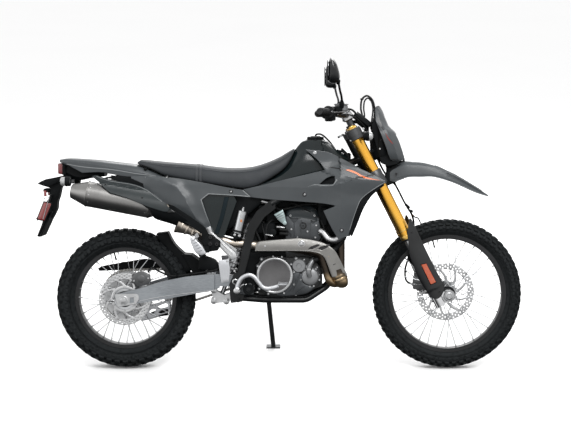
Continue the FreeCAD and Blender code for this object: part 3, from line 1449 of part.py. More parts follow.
def caliper(centre, turn_deg, disc_at, disc_edge, reach_in, reach_out):
    """A caliper block straddling a disc's edge, with a slot that clears the disc."""
    low, high = disc_at - reach_in, disc_at + reach_out
    along = math.radians(turn_deg)
    radial = V(math.cos(along), 0, math.sin(along))
    across = V(-math.sin(along), 0, math.cos(along))
    inner = disc_edge - caliper_height * caliper_bite_share
    outer = inner + caliper_height
    half = caliper_length / 2
    narrow = across * half * caliper_bite_share
    corners = [radial * inner - narrow, radial * inner + narrow,
               radial * outer + across * half, radial * outer - across * half]
    block = Part.Face(closed([centre + c + V(0, low, 0) for c in corners])).extrude(V(0, high - low, 0))
    slot = Part.makeCylinder(disc_edge + disc_gap, disc_thickness + 2 * disc_gap,
                             centre + V(0, disc_at - disc_thickness / 2 - disc_gap, 0), AXIS_Y)
    return block.cut(slot)


def rear_hanger():
    """The plate that holds the rear caliper on the axle's spacer."""
    along = math.radians(rear_caliper_turn_deg)
    reach = V(math.cos(along), 0, math.sin(along)) * rear_disc_r
    across = V(-math.sin(along), 0, math.cos(along)) * (caliper_height / 2)
    low = V(0, -arm_in + seat_gap, 0)
    face = Part.Face(closed([REAR_AXLE - across / 2 + low, REAR_AXLE + reach - across + low,
                             REAR_AXLE + reach + across + low, REAR_AXLE + across / 2 + low]))
    eye = Part.makeCylinder(spacer_r + axle_nut_width, hanger_thickness, REAR_AXLE + low, AXIS_Y)
    hole = Part.makeCylinder(spacer_r + seat_gap, 2 * overrun, REAR_AXLE + low - V(0, overrun, 0), AXIS_Y)
    return fused(face.extrude(V(0, hanger_thickness, 0)), eye).cut(hole)


def front_hanger():
    """The arm that holds the front caliper on the left slider, outboard of the disc."""
    seat_at = fork_point(0, 0, front_hanger_at)
    low = front_disc_y + disc_thickness / 2 + disc_gap
    high = front_disc_y + caliper_wall
    x, z = seat_at.x, seat_at.z
    arm = side_slab([(x - front_hanger_reach, z - boss_r * 2), (x, z - boss_r), (x + boss_r, z),
                     (x, z + boss_r), (x - front_hanger_reach, z + boss_r * 2)], low, high)
    stub = rod(V(x, high - hanger_thickness, z), V(x, fork_half_spacing, z), boss_r)
    return fused(arm, stub).cut(rod(fork_point(0, fork_half_spacing, 0),
                                    fork_point(0, fork_half_spacing, outer_tube_low), slider_r + seat_gap))


front_hanger_at = 76.0
front_hanger_reach = 40.0
hanger_thickness = 3.0
caliper_bite_share = 0.75
front_caliper_turn_deg = 160.0
rear_caliper_turn_deg = 52.0
parts["front_caliper"] = fused(
    caliper(FRONT_AXLE, front_caliper_turn_deg, front_disc_y, front_disc_r, caliper_wall, caliper_wall),
    front_hanger())
parts["rear_caliper"] = fused(
    caliper(REAR_AXLE, rear_caliper_turn_deg, rear_disc_y, rear_disc_r, caliper_wall, caliper_wall + axle_nut_width),
    rear_hanger())

# Fork and steering


def clamp(at, height):
    """A triple clamp: two fork eyes and a web round the stem's axis, in the fork's own frame."""
    eye_r = outer_tube_r + clamp_wall
    y = fork_half_spacing
    low = at - height / 2
    web = [(-clamp_offset - head_tube_r, -clamp_web), (-clamp_offset - head_tube_r, clamp_web), (-eye_r * 0.7, y),
           (eye_r * 0.7, y), (eye_r * 0.5, clamp_web), (eye_r * 0.5, -clamp_web), (eye_r * 0.7, -y), (-eye_r * 0.7, -y)]
    pieces = [Part.Face(closed([V(f, s, low) for f, s in web])).extrude(V(0, 0, height))]
    for side in (1, -1):
        pieces.append(Part.makeCylinder(eye_r, height, V(0, side * y, low), AXIS_Z))
    body = fused(pieces)
    for side in (1, -1):
        body = body.cut(Part.makeCylinder(outer_tube_r + running_gap, height + 2 * overrun,
                                          V(0, side * y, low - overrun), AXIS_Z))
    return body


def triple_clamps():
    low = lower_clamp_at - lower_clamp_height / 2
    high = upper_clamp_at + upper_clamp_height / 2
    stem = Part.makeCylinder(stem_r, high - low + cap_height, V(-clamp_offset, 0, low), AXIS_Z)
    risers = [Part.makeCylinder(riser_r, riser_height, V(riser_forward, side * riser_y, high - running_gap), AXIS_Z)
              for side in (1, -1)]
    return in_fork_frame(fused(clamp(lower_clamp_at, lower_clamp_height), clamp(upper_clamp_at, upper_clamp_height),
                               stem, risers))


cap_height = 8.0
riser_r = 15.0
riser_height = 62.0
riser_y = 46.0
riser_forward = 8.0
fork_top = upper_clamp_at + upper_clamp_height / 2 + fork_cap_height / 2
guard_inner_r = 33.0
fork_guard_shares = [(0.09, 1.0), (0.93, 0.98), (0.95, 0.6), (1.0, 0.12), (0.67, 0.04), (0.37, 0.0), (0.1, 0.1),
                     (0.0, 0.33), (0.09, 0.58), (0.5, 0.82)]
fork_guard_back = -39.0
fork_guard_low = 13.0
fork_guard_depth = 94.0
fork_guard_height = 390.0
fork_guard_thickness = 4.0


def fork_outer():
    """The gold upper tubes with their lower collars and caps, one each side."""
    tubes = []
    for side in (1, -1):
        at = V(0, side * fork_half_spacing, 0)
        tube = Part.makeCylinder(outer_tube_r, fork_top - outer_tube_low, at + V(0, 0, outer_tube_low), AXIS_Z)
        collar = Part.makeCylinder(outer_collar_r, outer_collar_height, at + V(0, 0, outer_tube_low), AXIS_Z)
        cap = Part.makeCylinder(fork_cap_r, fork_cap_height, at + V(0, 0, fork_top), AXIS_Z)
        bore = Part.makeCylinder(slider_r + running_gap, fork_top - outer_tube_low - outer_collar_height,
                                 at + V(0, 0, outer_tube_low - running_gap), AXIS_Z)
        tubes.append(fused(tube, collar, cap).cut(bore))
    return in_fork_frame(Part.makeCompound(tubes))


def fork_lower():
    """Bright sliders with the castings that hold the axle ahead of them."""
    legs = []
    for side in (1, -1):
        at = V(0, side * fork_half_spacing, 0)
        slider = Part.makeCylinder(slider_r, outer_tube_low + lug_height - lug_drop,
                                   at + V(0, 0, lug_height - lug_drop), AXIS_Z)
        boss = Part.makeCylinder(lug_r, lug_height, at - V(0, 0, lug_drop), AXIS_Z)
        y_low = side * fork_half_spacing - lug_half_width
        web = [V(-lug_r * 0.8, y_low, -lug_drop), V(fork_lead, y_low, -lug_r * 0.9),
               V(fork_lead, y_low, lug_r * 0.9), V(-lug_r * 0.8, y_low, lug_height - lug_drop)]
        arm = Part.Face(closed(web)).extrude(V(0, 2 * lug_half_width, 0))
        eye = Part.makeCylinder(lug_r, 2 * lug_half_width, V(fork_lead, y_low, 0), AXIS_Y)
        hole = Part.makeCylinder(axle_r + running_gap, 2 * lug_half_width + 2 * overrun,
                                 V(fork_lead, y_low - overrun, 0), AXIS_Y)
        legs.append(fused(slider, boss, arm, eye).cut(hole))
    return in_fork_frame(Part.makeCompound(legs))


lug_drop = 24.0


def fork_guards():
    """A cover over the front and outside of each slider."""
    outline = [(fork_guard_back + a * fork_guard_depth, fork_guard_low + b * fork_guard_height)
               for a, b in fork_guard_shares]
    face = Part.Face(closed([V(f, 0, u) for f, u in outline]))
    inner_y = fork_half_spacing - lug_half_width / 2
    block = face.extrude(V(0, 2 * guard_inner_r + lug_half_width, 0)).translated(V(0, inner_y, 0))
    low, tall = fork_guard_low - overrun, fork_guard_height + 2 * overrun
    at = V(0, fork_half_spacing, low)
    shell = Part.makeCylinder(guard_inner_r + fork_guard_thickness, tall, at, AXIS_Z).cut(
        Part.makeCylinder(guard_inner_r, tall, at, AXIS_Z))
    front = Part.makeBox(fork_guard_depth, fork_guard_thickness, tall,
                         V(0, fork_half_spacing + guard_inner_r, low))
    lug_room = Part.makeBox(2 * fork_guard_depth, lug_half_width * 2 + seat_gap, lug_height,
                            V(-fork_guard_depth, fork_half_spacing - lug_half_width, -lug_drop))
    screw = Part.makeCylinder(boss_r * 0.8, guard_inner_r - lug_half_width,
                              V(0, fork_half_spacing + lug_half_width + seat_gap, lug_drop), AXIS_Y)
    guard = fused(block.common(fused(shell, front)).cut(lug_room), screw)
    left = in_fork_frame(guard).cut(parts["fork_sliders"])
    return Part.makeCompound([left, mirrored(left)])


parts["triple_clamps"] = triple_clamps()
parts["fork_tubes"] = fork_outer()
parts["fork_sliders"] = fork_lower()
parts["fork_guards"] = fork_guards()
lug_outside = fork_half_spacing + lug_half_width
parts["front_axle"] = axle(FRONT_AXLE, lug_outside + axle_nut_width + seat_gap, front_hub_half,
                           fork_half_spacing - lug_half_width - seat_gap)
BAR_CENTRE = fork_point(riser_forward, 0, upper_clamp_at + upper_clamp_height / 2 + riser_height + bar_r)
bar_knee_y = 120.0
bar_knee_back = 18.0
bar_inner_y = 232.0
bar_inner_back = 74.0
bar_sweep_back = 130.0
bar_rise = 14.0


def bar_points(side):
    c = BAR_CENTRE
    return [c + V(-bar_knee_back, side * bar_knee_y, 0), c + V(-bar_inner_back, side * bar_inner_y, bar_rise),
            c + V(-bar_sweep_back, side * bar_end_y, bar_rise)]


def handlebar():
    left, right = bar_points(1), bar_points(-1)
    middle = [BAR_CENTRE + V(0, bar_knee_y / 2, 0), BAR_CENTRE - V(0, bar_knee_y / 2, 0)]
    bar = bent_tube(list(reversed(left)) + middle + right, bar_r, bar_bend_r)
    caps = [Part.makeCylinder(riser_r, bar_r * 3, BAR_CENTRE + V(0, side * riser_y, 0) - FORK_UP * bar_r, FORK_UP)
            for side in (1, -1)]
    return fused(bar, caps)


def grips():
    result = []
    for side in (1, -1):
        _, inner, outer = bar_points(side)
        along = (outer - inner).normalize()
        start = outer - along * (grip_length - grip_end)
        grip = rod(start, outer + along * grip_end, grip_r)
        result.append(grip.cut(rod(start, outer + along * running_gap, bar_r + running_gap)))
    return Part.makeCompound(result)


grip_end = 4.0
control_width = 44.0
control_r = 21.0
lever_length = 150.0
lever_width = 12.0
lever_forward = 62.0


def controls():
    """Switch housings with their clamps, and a hand lever on each side."""
    result = []
    for side in (1, -1):
        _, inner, outer = bar_points(side)
        along = (outer - inner).normalize()
        start = outer - along * (grip_length + control_width)
        housing = rod(start, start + along * (control_width - pad_gap), control_r)
        pivot = start + V(lever_forward, 0, 0)
        arm = rod(start + along * lever_width, pivot + along * lever_width, lever_width)
        blade = rod(pivot + along * lever_width, pivot + along * (lever_width + lever_length) - V(lever_width, 0, 0),
                    lever_width / 2)
        result.append(fused(housing, arm, blade).cut(rod(start - along * overrun, outer, bar_r + running_gap)))
    return Part.makeCompound(result)


mirror_stem_r = 5.0
mirror_rise = 130.0
mirror_height = 112.0
mirror_depth = 34.0
mirror_back_shares = [(0.3, 1.0), (0.7, 0.86), (1.0, 0.5)]
mirror_shares = [(0.0, 0.1), (0.3, 0.0), (0.9, 0.08), (1.0, 0.45), (0.9, 0.95), (0.5, 1.0), (0.1, 0.8)]


def mirrors():
    result = []
    for side in (1, -1):
        _, inner, outer = bar_points(side)
        along = (outer - inner).normalize()
        base = outer - along * (grip_length + control_width / 2) + V(0, 0, control_r + seat_gap)
        knee = V(base.x, side * (mirror_y + abs(base.y)) / 2, base.z + mirror_rise / 2)
        top = V(knee.x - mirror_depth / 2, side * mirror_y, base.z + mirror_rise)
        stem = bent_tube([base, base + V(0, 0, control_r), knee, top], mirror_stem_r, bar_bend_r)
        low = top - V(0, mirror_width / 2, mirror_stem_r)
        face = [V(low.x, low.y + a * mirror_width, low.z + b * mirror_height) for a, b in mirror_shares]
        shells = [closed(face)]
        for depth, size in mirror_back_shares:
            shells.append(closed([V(p.x + mirror_depth * depth, top.y + (p.y - top.y) * size,
                                    low.z + (p.z - low.z) * size + mirror_height * (1 - size) / 2) for p in face]))
        result.append(fused(stem, Part.makeLoft(shells, True, True)))
    return Part.makeCompound(result)


parts["handlebar"] = handlebar()
parts["hand_controls"] = Part.makeCompound([grips(), controls()])
parts["mirrors"] = mirrors()
instrument_width = 130.0
instrument_depth = 36.0
instrument_height = 76.0
instrument_forward = 66.0
instrument_drop = 14.0
INSTRUMENT = BAR_CENTRE + FORK_FORWARD * instrument_forward - V(0, 0, instrument_drop)


def instrument():
    stays = []
    for side in (1, -1):
        low = fork_point((outer_tube_r + clamp_wall) / 2 + seat_gap, side * clamp_web / 2, upper_clamp_at)
        stays.append(rod(low, INSTRUMENT + V(0, side * clamp_web / 2, 0), stay_r))
    return fused(box_at(INSTRUMENT, instrument_depth, instrument_width, instrument_height), stays).cut(
        parts["triple_clamps"])


parts["instrument"] = instrument()

# Footrests and foot controls


def rider_peg(side):
    """A bracket on the frame's plate with a footrest standing out from it."""
    face = side * (spar_y + spar_thickness)
    root = V(peg_x, face, peg_z)
    tread = box_at(V(peg_x, side * (peg_end_y - peg_length / 2), peg_z + peg_width * 0.1), peg_width, peg_length,
                   peg_thickness)
    stem_end = V(peg_x, side * (peg_end_y - peg_length + peg_thickness), peg_z + peg_width * 0.1)
    inner = root + V(0, side * peg_thickness, 0)
    return fused(tread, rod(inner, stem_end, peg_thickness / 2), rod(root, inner, peg_thickness))


hanger_x = -405.0
hanger_z = 520.0
hanger_length = 105.0
hanger_height = 108.0
hanger_depth = 10.0
luggage_x = -338.0
luggage_z = 606.0
luggage_hole_r = 4.0
hanger_shares = [(0.41, 1.0), (0.67, 1.0), (1.0, 0.71), (1.0, 0.46), (0.57, 0.42), (0.1, 0.0), (0.0, 0.17),
                 (0.31, 0.58)]
rear_peg_x = -440.0
rear_peg_z = 545.0
rear_peg_length = 80.0
rear_peg_height = 75.0
rear_peg_width = 28.0
rear_peg_shares = [(0.0, 0.85), (0.15, 1.0), (0.5, 0.7), (1.0, 0.3), (0.85, 0.0), (0.4, 0.3)]


def passenger_peg():
    """A hanger on the strut's outer face with its footrest folded up behind it."""
    low = strut_y + strut_thickness + seat_gap
    hanger = side_slab(outline_at(hanger_shares, hanger_x, hanger_z, hanger_length, hanger_height), low,
                       low + hanger_depth)
    peg = side_slab(outline_at(rear_peg_shares, rear_peg_x, rear_peg_z, rear_peg_length, rear_peg_height),
                    low + hanger_depth / 2, low + rear_peg_width)
    return fused(hanger, peg).cut(rod(V(luggage_x, low, luggage_z), V(luggage_x, low + hanger_depth, luggage_z),
                                      luggage_hole_r))


parts["footrests"] = Part.makeCompound([rider_peg(1), rider_peg(-1), passenger_peg(), mirrored(passenger_peg())])
pedal_y = 150.0
pedal_thickness = 10.0
pedal_x = -225.0
pedal_z = 362.0
pedal_length = 190.0
pedal_height = 80.0
pedal_shares = [(0.0, 0.1), (0.1, 0.0), (0.15, 0.55), (0.3, 0.8), (0.42, 0.6), (0.6, 0.05), (1.0, 0.2), (1.0, 0.4),
                (0.62, 0.3), (0.45, 0.85), (0.3, 1.0), (0.08, 0.7)]
pedal_outline = outline_at(pedal_shares, pedal_x, pedal_z, pedal_length, pedal_height)
PEDAL_PIVOT = V(pedal_x + pedal_thickness * 0.5, -spar_y - spar_thickness, pedal_z + pedal_thickness * 1.5)
pedal_shaft = rod(PEDAL_PIVOT, V(PEDAL_PIVOT.x, -pedal_y - pedal_thickness, PEDAL_PIVOT.z), pedal_thickness * 0.8)
parts["brake_pedal"] = fused(side_slab(pedal_outline, -pedal_y - pedal_thickness, -pedal_y), pedal_shaft)
shift_x = -110.0
shift_z = 380.0
shift_length = 150.0
shift_height = 40.0
shift_shares = [(0.0, 0.5), (0.05, 0.2), (0.9, 0.4), (1.0, 0.5), (1.0, 0.8), (0.9, 0.8), (0.05, 1.0)]
shift_outline = outline_at(shift_shares, shift_x, shift_z, shift_length, shift_height)
SHIFT_SHAFT = V(shift_x + pedal_thickness, case_half, shift_z + shift_height / 2)
shift_shaft = rod(SHIFT_SHAFT, V(SHIFT_SHAFT.x, pedal_y - pedal_thickness / 2, SHIFT_SHAFT.z), pedal_thickness / 2)
parts["shift_lever"] = fused(side_slab(shift_outline, pedal_y - pedal_thickness, pedal_y), shift_shaft)

# Lean onto the stand, and the files
bar_tip = bar_points(-1)[2]
mirror_tip = BAR_CENTRE + V(0, mirror_y + mirror_width / 2, bar_rise + mirror_rise + mirror_height)
LEANER = FreeCAD.Rotation(AXIS_X, -lean_deg)
middle_x = (FRONT_AXLE.x + front_tyre_od / 2 + flap_x) / 2
middle_y = (LEANER.multVec(bar_tip).y + LEANER.multVec(mirror_tip).y) / 2
STANCE = FreeCAD.Placement(V(-middle_x, -middle_y, LIFT), LEANER)
os.makedirs("parts", exist_ok=True)
for name, shape in parts.items():
    placed = shape.transformed(STANCE.toMatrix())
    placed.exportStep(os.path.join("parts", name + ".step"))
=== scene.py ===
import math

import bmesh
import bpy
from mathutils import Matrix, Vector, geometry


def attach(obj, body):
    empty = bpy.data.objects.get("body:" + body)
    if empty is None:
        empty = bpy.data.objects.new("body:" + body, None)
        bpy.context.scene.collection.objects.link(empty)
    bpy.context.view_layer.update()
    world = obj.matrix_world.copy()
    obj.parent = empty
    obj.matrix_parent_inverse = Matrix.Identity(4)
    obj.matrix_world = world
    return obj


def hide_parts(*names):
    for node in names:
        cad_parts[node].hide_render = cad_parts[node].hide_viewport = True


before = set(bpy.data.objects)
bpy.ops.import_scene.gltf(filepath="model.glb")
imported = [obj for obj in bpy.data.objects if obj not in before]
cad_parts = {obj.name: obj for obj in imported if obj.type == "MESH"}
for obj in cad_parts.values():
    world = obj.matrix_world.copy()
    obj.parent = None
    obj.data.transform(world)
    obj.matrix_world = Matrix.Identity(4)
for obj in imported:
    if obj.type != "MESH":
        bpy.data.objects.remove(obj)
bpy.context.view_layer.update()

# The motorcycle is described upright, in millimetres: +X forward, +Y to its left, +Z up, with the
# origin on the ground midway between the axles. STANCE leans it onto its stand, in metres.
MM = 0.001
LEAN = math.radians(10.0)
STANCE = (Matrix.Translation((0.032, -0.238302, 0.002431)) @ Matrix.Rotation(-LEAN, 4, "X")
          @ Matrix.Scale(MM, 4))
RAKE = math.radians(27.0)
FRONT_AXLE = Vector((747.5, 0, 346.5))
REAR_AXLE = Vector((-747.5, 0, 324.5))
ALONG = Vector((1, 0, 0))
LEFT = Vector((0, 1, 0))
UP = Vector((0, 0, 1))
FORK_FORWARD = Vector((math.cos(RAKE), 0, math.sin(RAKE)))
FORK_UP = Vector((-math.sin(RAKE), 0, math.cos(RAKE)))
FORK_FOOT = FRONT_AXLE - FORK_FORWARD * 50
FORK_Y = 105.0
FRONT_BEAD, REAR_BEAD = 533.4, 457.2
FRONT_DISC_R, REAR_DISC_R = 135.0, 120.0
CHAIN_Y = 76.0
CHAIN_PITCH, CHAIN_LINKS = 15.875, 106
FRONT_TEETH, REAR_TEETH = 14, 48
FRONT_PITCH_R, REAR_PITCH_R = 35.6708, 121.3627
FRONT_SPROCKET = Vector((-167.63, 0, 428.0))


def fork_point(forward, side, up):
    """A place measured from the fork legs' axis level with the wheel's axle."""
    return FORK_FOOT + FORK_FORWARD * forward + LEFT * side + FORK_UP * up


# Shader sums

class Value:
    """A shader socket that takes part in sums."""

    def __init__(self, shader, socket):
        self.shader = shader
        self.socket = socket

    def math(self, operation, *others):
        inputs = {i: v for i, v in enumerate((self, *others))}
        return self.shader.add("ShaderNodeMath", {"operation": operation}, inputs)

    def __add__(self, other):
        return self.math("ADD", other)

    __radd__ = __add__

    def __mul__(self, other):
        return self.math("MULTIPLY", other)

    __rmul__ = __mul__

    def __sub__(self, other):
        return self.math("SUBTRACT", other)

    def __rsub__(self, other):
        return self.math("MULTIPLY", -1.0) + other

    def step(self, low, high):
        """0 below low, 1 above high and smooth between them; the other way round if low is above high."""
        settings = {"interpolation_type": "SMOOTHSTEP"}
        inputs = {0: self, 1: low, 2: high}
        if low > high:
            inputs = {0: self, 1: high, 2: low}
        found = self.shader.add("ShaderNodeMapRange", settings, inputs)
        return 1.0 - found if low > high else found


class Shader:
    """A material whose patterns are worked out in nodes."""

    def __init__(self, name, **fixed):
        self.material = bpy.data.materials.new(name)
        self.material.use_nodes = True
        self.tree = self.material.node_tree
        self.surface = self.tree.nodes["Principled BSDF"]
        for socket, value in fixed.items():
            self.surface.inputs[socket.replace("_", " ")].default_value = value
        self.place = self.add("ShaderNodeTexCoord", {}, {}, "Object")

    def feed(self, socket, value):
        if isinstance(value, Value):
            self.tree.links.new(value.socket, socket)
        else:
            socket.default_value = value

    def add(self, kind, settings, inputs, output=0):
        node = self.tree.nodes.new(kind)
        for key, value in settings.items():
            setattr(node, key, value)
        for key, value in inputs.items():
            self.feed(node.inputs[key], value)
        return Value(self, node.outputs[output])

    def at(self, scale):
        """The place on the piece with each axis multiplied."""
        return self.add("ShaderNodeVectorMath", {"operation": "MULTIPLY"}, {0: self.place, 1: scale})

    def noise(self, scale, detail=3.0, stretch=None):
        vector = self.at(stretch) if stretch else self.place
        inputs = {"Vector": vector, "Scale": scale, "Detail": detail, "Roughness": 0.55}
        return self.add("ShaderNodeTexNoise", {}, inputs)

    def cells(self, scale, feature="F1"):
        inputs = {"Vector": self.place, "Scale": scale}
        return self.add("ShaderNodeTexVoronoi", {"feature": feature}, inputs, "Distance")

    def axis(self, direction, origin):
        """Distance in millimetres from an upright point along an upright direction."""
        world = (STANCE.to_3x3() @ Vector(direction)).normalized()
        start = STANCE @ Vector(origin)
        dot = self.add("ShaderNodeVectorMath", {"operation": "DOT_PRODUCT"}, {0: self.place, 1: world},
                       "Value")
        return (dot - world.dot(start)) * 1000.0

    def mix(self, share, first, second):
        return self.add("ShaderNodeMix", {"data_type": "RGBA"}, {0: share, 6: rgb(first), 7: rgb(second)}, 2)

    def finish(self, colour, roughness=None, bump=None, depth=0.0002):
        self.feed(self.surface.inputs["Base Color"], rgb(colour))
        if roughness is not None:
            self.feed(self.surface.inputs["Roughness"], roughness)
        if bump is not None:
            normal = self.add("ShaderNodeBump", {}, {"Height": bump, "Distance": depth, "Strength": 1.0})
            self.feed(self.surface.inputs["Normal"], normal)
        return self.material


def rgb(colour):
    """A colour with its alpha; a socket passes through."""
    return (*colour, 1.0) if isinstance(colour, tuple) and len(colour) == 3 else colour


def moulded(name, dark, light, rough, grain=900.0, depth=0.00012, coat=0.0, metal=0.0, wear=0.08, shine=0.3):
    """Moulded plastic, paint or cast metal: slow changes of colour, fine grain and uneven gloss."""
    s = Shader(name, Metallic=metal, Coat_Weight=coat, Coat_Roughness=0.12, Specular_IOR_Level=shine)
    slow = s.noise(9.0, 4.0)
    fine = s.noise(grain, 2.0)
    share = (slow * 0.7 + fine * 0.3).step(0.3, 0.7)
    gloss = (slow * wear + (rough - wear / 2)) + (fine * wear * 0.5)
    return s.finish(s.mix(share, dark, light), gloss, fine, depth)


def machined(name, dark, light, rough, stretch, coat=0.0):
    """Brushed or machined metal with lines along one direction."""
    s = Shader(name, Metallic=1.0, Coat_Weight=coat, Coat_Roughness=0.1)
    lines = s.noise(160.0, 4.0, stretch)
    slow = s.noise(7.0, 3.0)
    share = (lines * 0.6 + slow * 0.4).step(0.32, 0.68)
    return s.finish(s.mix(share, dark, light), (lines * 0.16) + (slow * 0.1) + (rough - 0.13), lines, 0.00006)


# Shapes, as lists of points and faces

def merged(*shapes):
    points, faces = [], []
    for p, f in shapes:
        base = len(points)
        points.extend(p)
        faces.extend([tuple(base + i for i in face) for face in f])
    return points, faces


def moved(shape, matrix):
    return [matrix @ Vector(p) for p in shape[0]], shape[1]


def flipped(shape):
    """The same shape on the motorcycle's other side."""
    return [Vector((p[0], -p[1], p[2])) for p in shape[0]], [tuple(reversed(f)) for f in shape[1]]


def paired(shape):
    return merged(shape, flipped(shape))


def bridged(rings, looped=False):
    """Rings of equal count joined one after another, with flat ends or in a loop."""
    count = len(rings[0])
    points = [Vector(p) for ring in rings for p in ring]
    faces = []
    last = len(rings) if looped else len(rings) - 1
    for i in range(last):
        a, b = i * count, (i + 1) % len(rings) * count
        for j in range(count):
            k = (j + 1) % count
            faces.append((a + j, a + k, b + k, b + j))
    if not looped:
        faces.append(tuple(range(count - 1, -1, -1)))
        faces.append(tuple(range(len(points) - count, len(points))))
    return points, faces


def across(axis):
    """Two directions square to an axis and to each other."""
    axis = Vector(axis).normalized()
    helper = UP if abs(axis.z) < 0.9 else ALONG
    first = axis.cross(helper).normalized()
    return first, axis.cross(first)


def turns(count, first=0.0):
    """Angles evenly round a circle, from a share of the first step on."""
    return [2 * math.pi * (i + first) / count for i in range(count)]


def lathe(profile, centre, axis, steps=48):
    """A closed profile of (along the axis, away from it) turned right round."""
    u, v = across(axis)
    axis = Vector(axis).normalized()
    rings = []
    for a in turns(steps):
        out = u * math.cos(a) + v * math.sin(a)
        rings.append([Vector(centre) + axis * h + out * r for h, r in profile])
    return bridged(rings, looped=True)


def spun(profile, centre, axis, steps=48):
    """A solid turned round an axis: a lathe profile closed onto the axis at both ends."""
    return lathe([(profile[0][0], 0.01), *profile, (profile[-1][0], 0.01)], centre, axis, steps)


def drum(a, b, r, steps=24, round_edge=0.0, end_r=None):
    """A round bar from a to b, with small rounded edges."""
    a, b = Vector(a), Vector(b)
    axis = (b - a).normalized()
    u, v = across(axis)
    length = (b - a).length
    e = round_edge
    end_r = r if end_r is None else end_r
    stations = [(0, r - e), (e * 0.3, r - e * 0.3), (e, r), (length - e, end_r),
                (length - e * 0.3, end_r - e * 0.3), (length, end_r - e)] if e else [(0, r), (length, end_r)]
    rings = [[a + axis * h + (u * math.cos(t) + v * math.sin(t)) * q for t in turns(steps)]
             for h, q in stations]
    return bridged(rings)


def eased(points, steps=6, looped=False):
    """A smooth line through its points."""
    pts = [Vector(p) for p in points]
    n = len(pts)
    result = []
    spans = n if looped else n - 1
    for i in range(spans):
        p1, p2 = pts[i], pts[(i + 1) % n]
        p0 = pts[(i - 1) % n] if looped or i > 0 else p1 * 2 - p2
        p3 = pts[(i + 2) % n] if looped or i < n - 2 else p2 * 2 - p1
        for k in range(steps):
            t = k / steps
            result.append(0.5 * (2 * p1 + (p2 - p0) * t + (2 * p0 - 5 * p1 + 4 * p2 - p3) * t * t
                                 + (3 * p1 - p0 - 3 * p2 + p3) * t ** 3))
    if not looped:
        result.append(pts[-1])
    return result


def swept(path, section):
    """A closed section of (side, up) carried along a path."""
    path = [Vector(p) for p in path]
    tangents = [(path[min(i + 1, len(path) - 1)] - path[max(i - 1, 0)]).normalized()
                for i in range(len(path))]
    side = across(tangents[0])[0]
    rings = []
    for p, t in zip(path, tangents):
        side = (side - t * side.dot(t)).normalized()
        lift = t.cross(side)
        rings.append([p + side * a + lift * b for a, b in section])
    return bridged(rings)


def circle(r, sides=12):
    return [(r * math.cos(t), r * math.sin(t)) for t in turns(sides)]


def hose(points, r, sides=10, steps=8):
    return swept(eased(points, steps), circle(r, sides))


def box(centre, sizes, edge=0.0):
    """A block with small chamfers on its long edges."""
    c = Vector(centre)
    x, y, z = (s / 2 for s in sizes)
    e = min(edge, x * 0.9, y * 0.9, z * 0.9)
    plan = [(-x + e, -y), (x - e, -y), (x, -y + e), (x, y - e), (x - e, y), (-x + e, y), (-x, y - e),
            (-x, -y + e)]
    small = [(a * (1 - e / x), b * (1 - e / y)) for a, b in plan]
    levels = [(-z, small), (-z + e, plan), (z - e, plan), (z, small)] if e else [(-z, plan), (z, plan)]
    return bridged([[c + Vector((a, b, h)) for a, b in ring] for h, ring in levels])


def turned_box(centre, sizes, edge, forward, left, up):
    """A block whose own axes are given."""
    m = Matrix((forward, left, up)).transposed().to_4x4()
    return moved(box((0, 0, 0), sizes, edge), Matrix.Translation(Vector(centre)) @ m)


def bolt(at, axis, r, height, socket=True):
    """A round socket-head screw, or a hexagon on a washer."""
    axis = Vector(axis).normalized()
    at = Vector(at)
    if socket:
        profile = [(0, 0.01), (0, r), (height * 0.8, r), (height, r * 0.85), (height, r * 0.5),
                   (height * 0.4, r * 0.5), (height * 0.4, 0.01)]
        return lathe(profile, at, axis, 16)
    washer = drum(at, at + axis * height * 0.25, r * 1.25, 20)
    head = drum(at + axis * height * 0.25, at + axis * height, r, 6, r * 0.08)
    return merged(washer, head)


EASE_STEPS = 5


def trail(points, step=6.0):
    """A closed outline of (x, z): smooth through its points, sharp where a point has a third value."""
    sharp = [i for i, p in enumerate(points) if len(p) > 2]
    if not sharp:
        return [(p.x, p.z) for p in eased([(a, 0, b) for a, b in points], EASE_STEPS, True)]
    result = []
    order = points[sharp[0]:] + points[:sharp[0]] + [points[sharp[0]]]
    run = [order[0]]
    for p in order[1:]:
        run.append(p)
        if len(p) > 2:
            line = [Vector((q[0], 0, q[1])) for q in run]
            if len(line) > 2:
                line = eased(line, EASE_STEPS)
            for a, b in zip(line, line[1:]):
                pieces = max(1, round((b - a).length / step))
                result.extend([a.lerp(b, k / pieces) for k in range(pieces)])
            run = [p]
    return [(p.x, p.z) for p in result]


def inset(outline, distance):
    """The outline moved inwards by a distance."""
    n = len(outline)
    area = sum(a[0] * b[1] - b[0] * a[1] for a, b in zip(outline, outline[1:] + outline[:1]))
    way = 1 if area > 0 else -1
    result = []
    for i in range(n):
        before, here, after = outline[i - 1], outline[i], outline[(i + 1) % n]
        normals = []
        for a, b in ((before, here), (here, after)):
            d = Vector((b[0] - a[0], b[1] - a[1]))
            if d.length > 1e-6:
                d.normalize()
                normals.append(Vector((-d.y, d.x)) * way)
        out = sum(normals, Vector((0, 0)))
        if out.length < 0.2:
            out = normals[0] if normals else Vector((0, 0))
        out.normalize()
        stretch = 1 / max(0.5, out.dot(normals[0])) if normals else 1
        result.append((here[0] + out.x * distance * stretch, here[1] + out.y * distance * stretch))
    return result


def inside(x, z, outline):
    found = False
    for (ax, az), (bx, bz) in zip(outline, outline[1:] + outline[:1]):
        if (az > z) != (bz > z) and x < (bx - ax) * (z - az) / (bz - az) + ax:
            found = not found
    return found


def divided(line, step):
    """A line of (x, z) points cut into short steps."""
    result = []
    for a, b in zip(line, line[1:]):
        a, b = Vector(a), Vector(b)
        count = max(1, round((b - a).length / step))
        result.extend([tuple(a.lerp(b, k / count)) for k in range(count)])
    return result + [tuple(line[-1])]


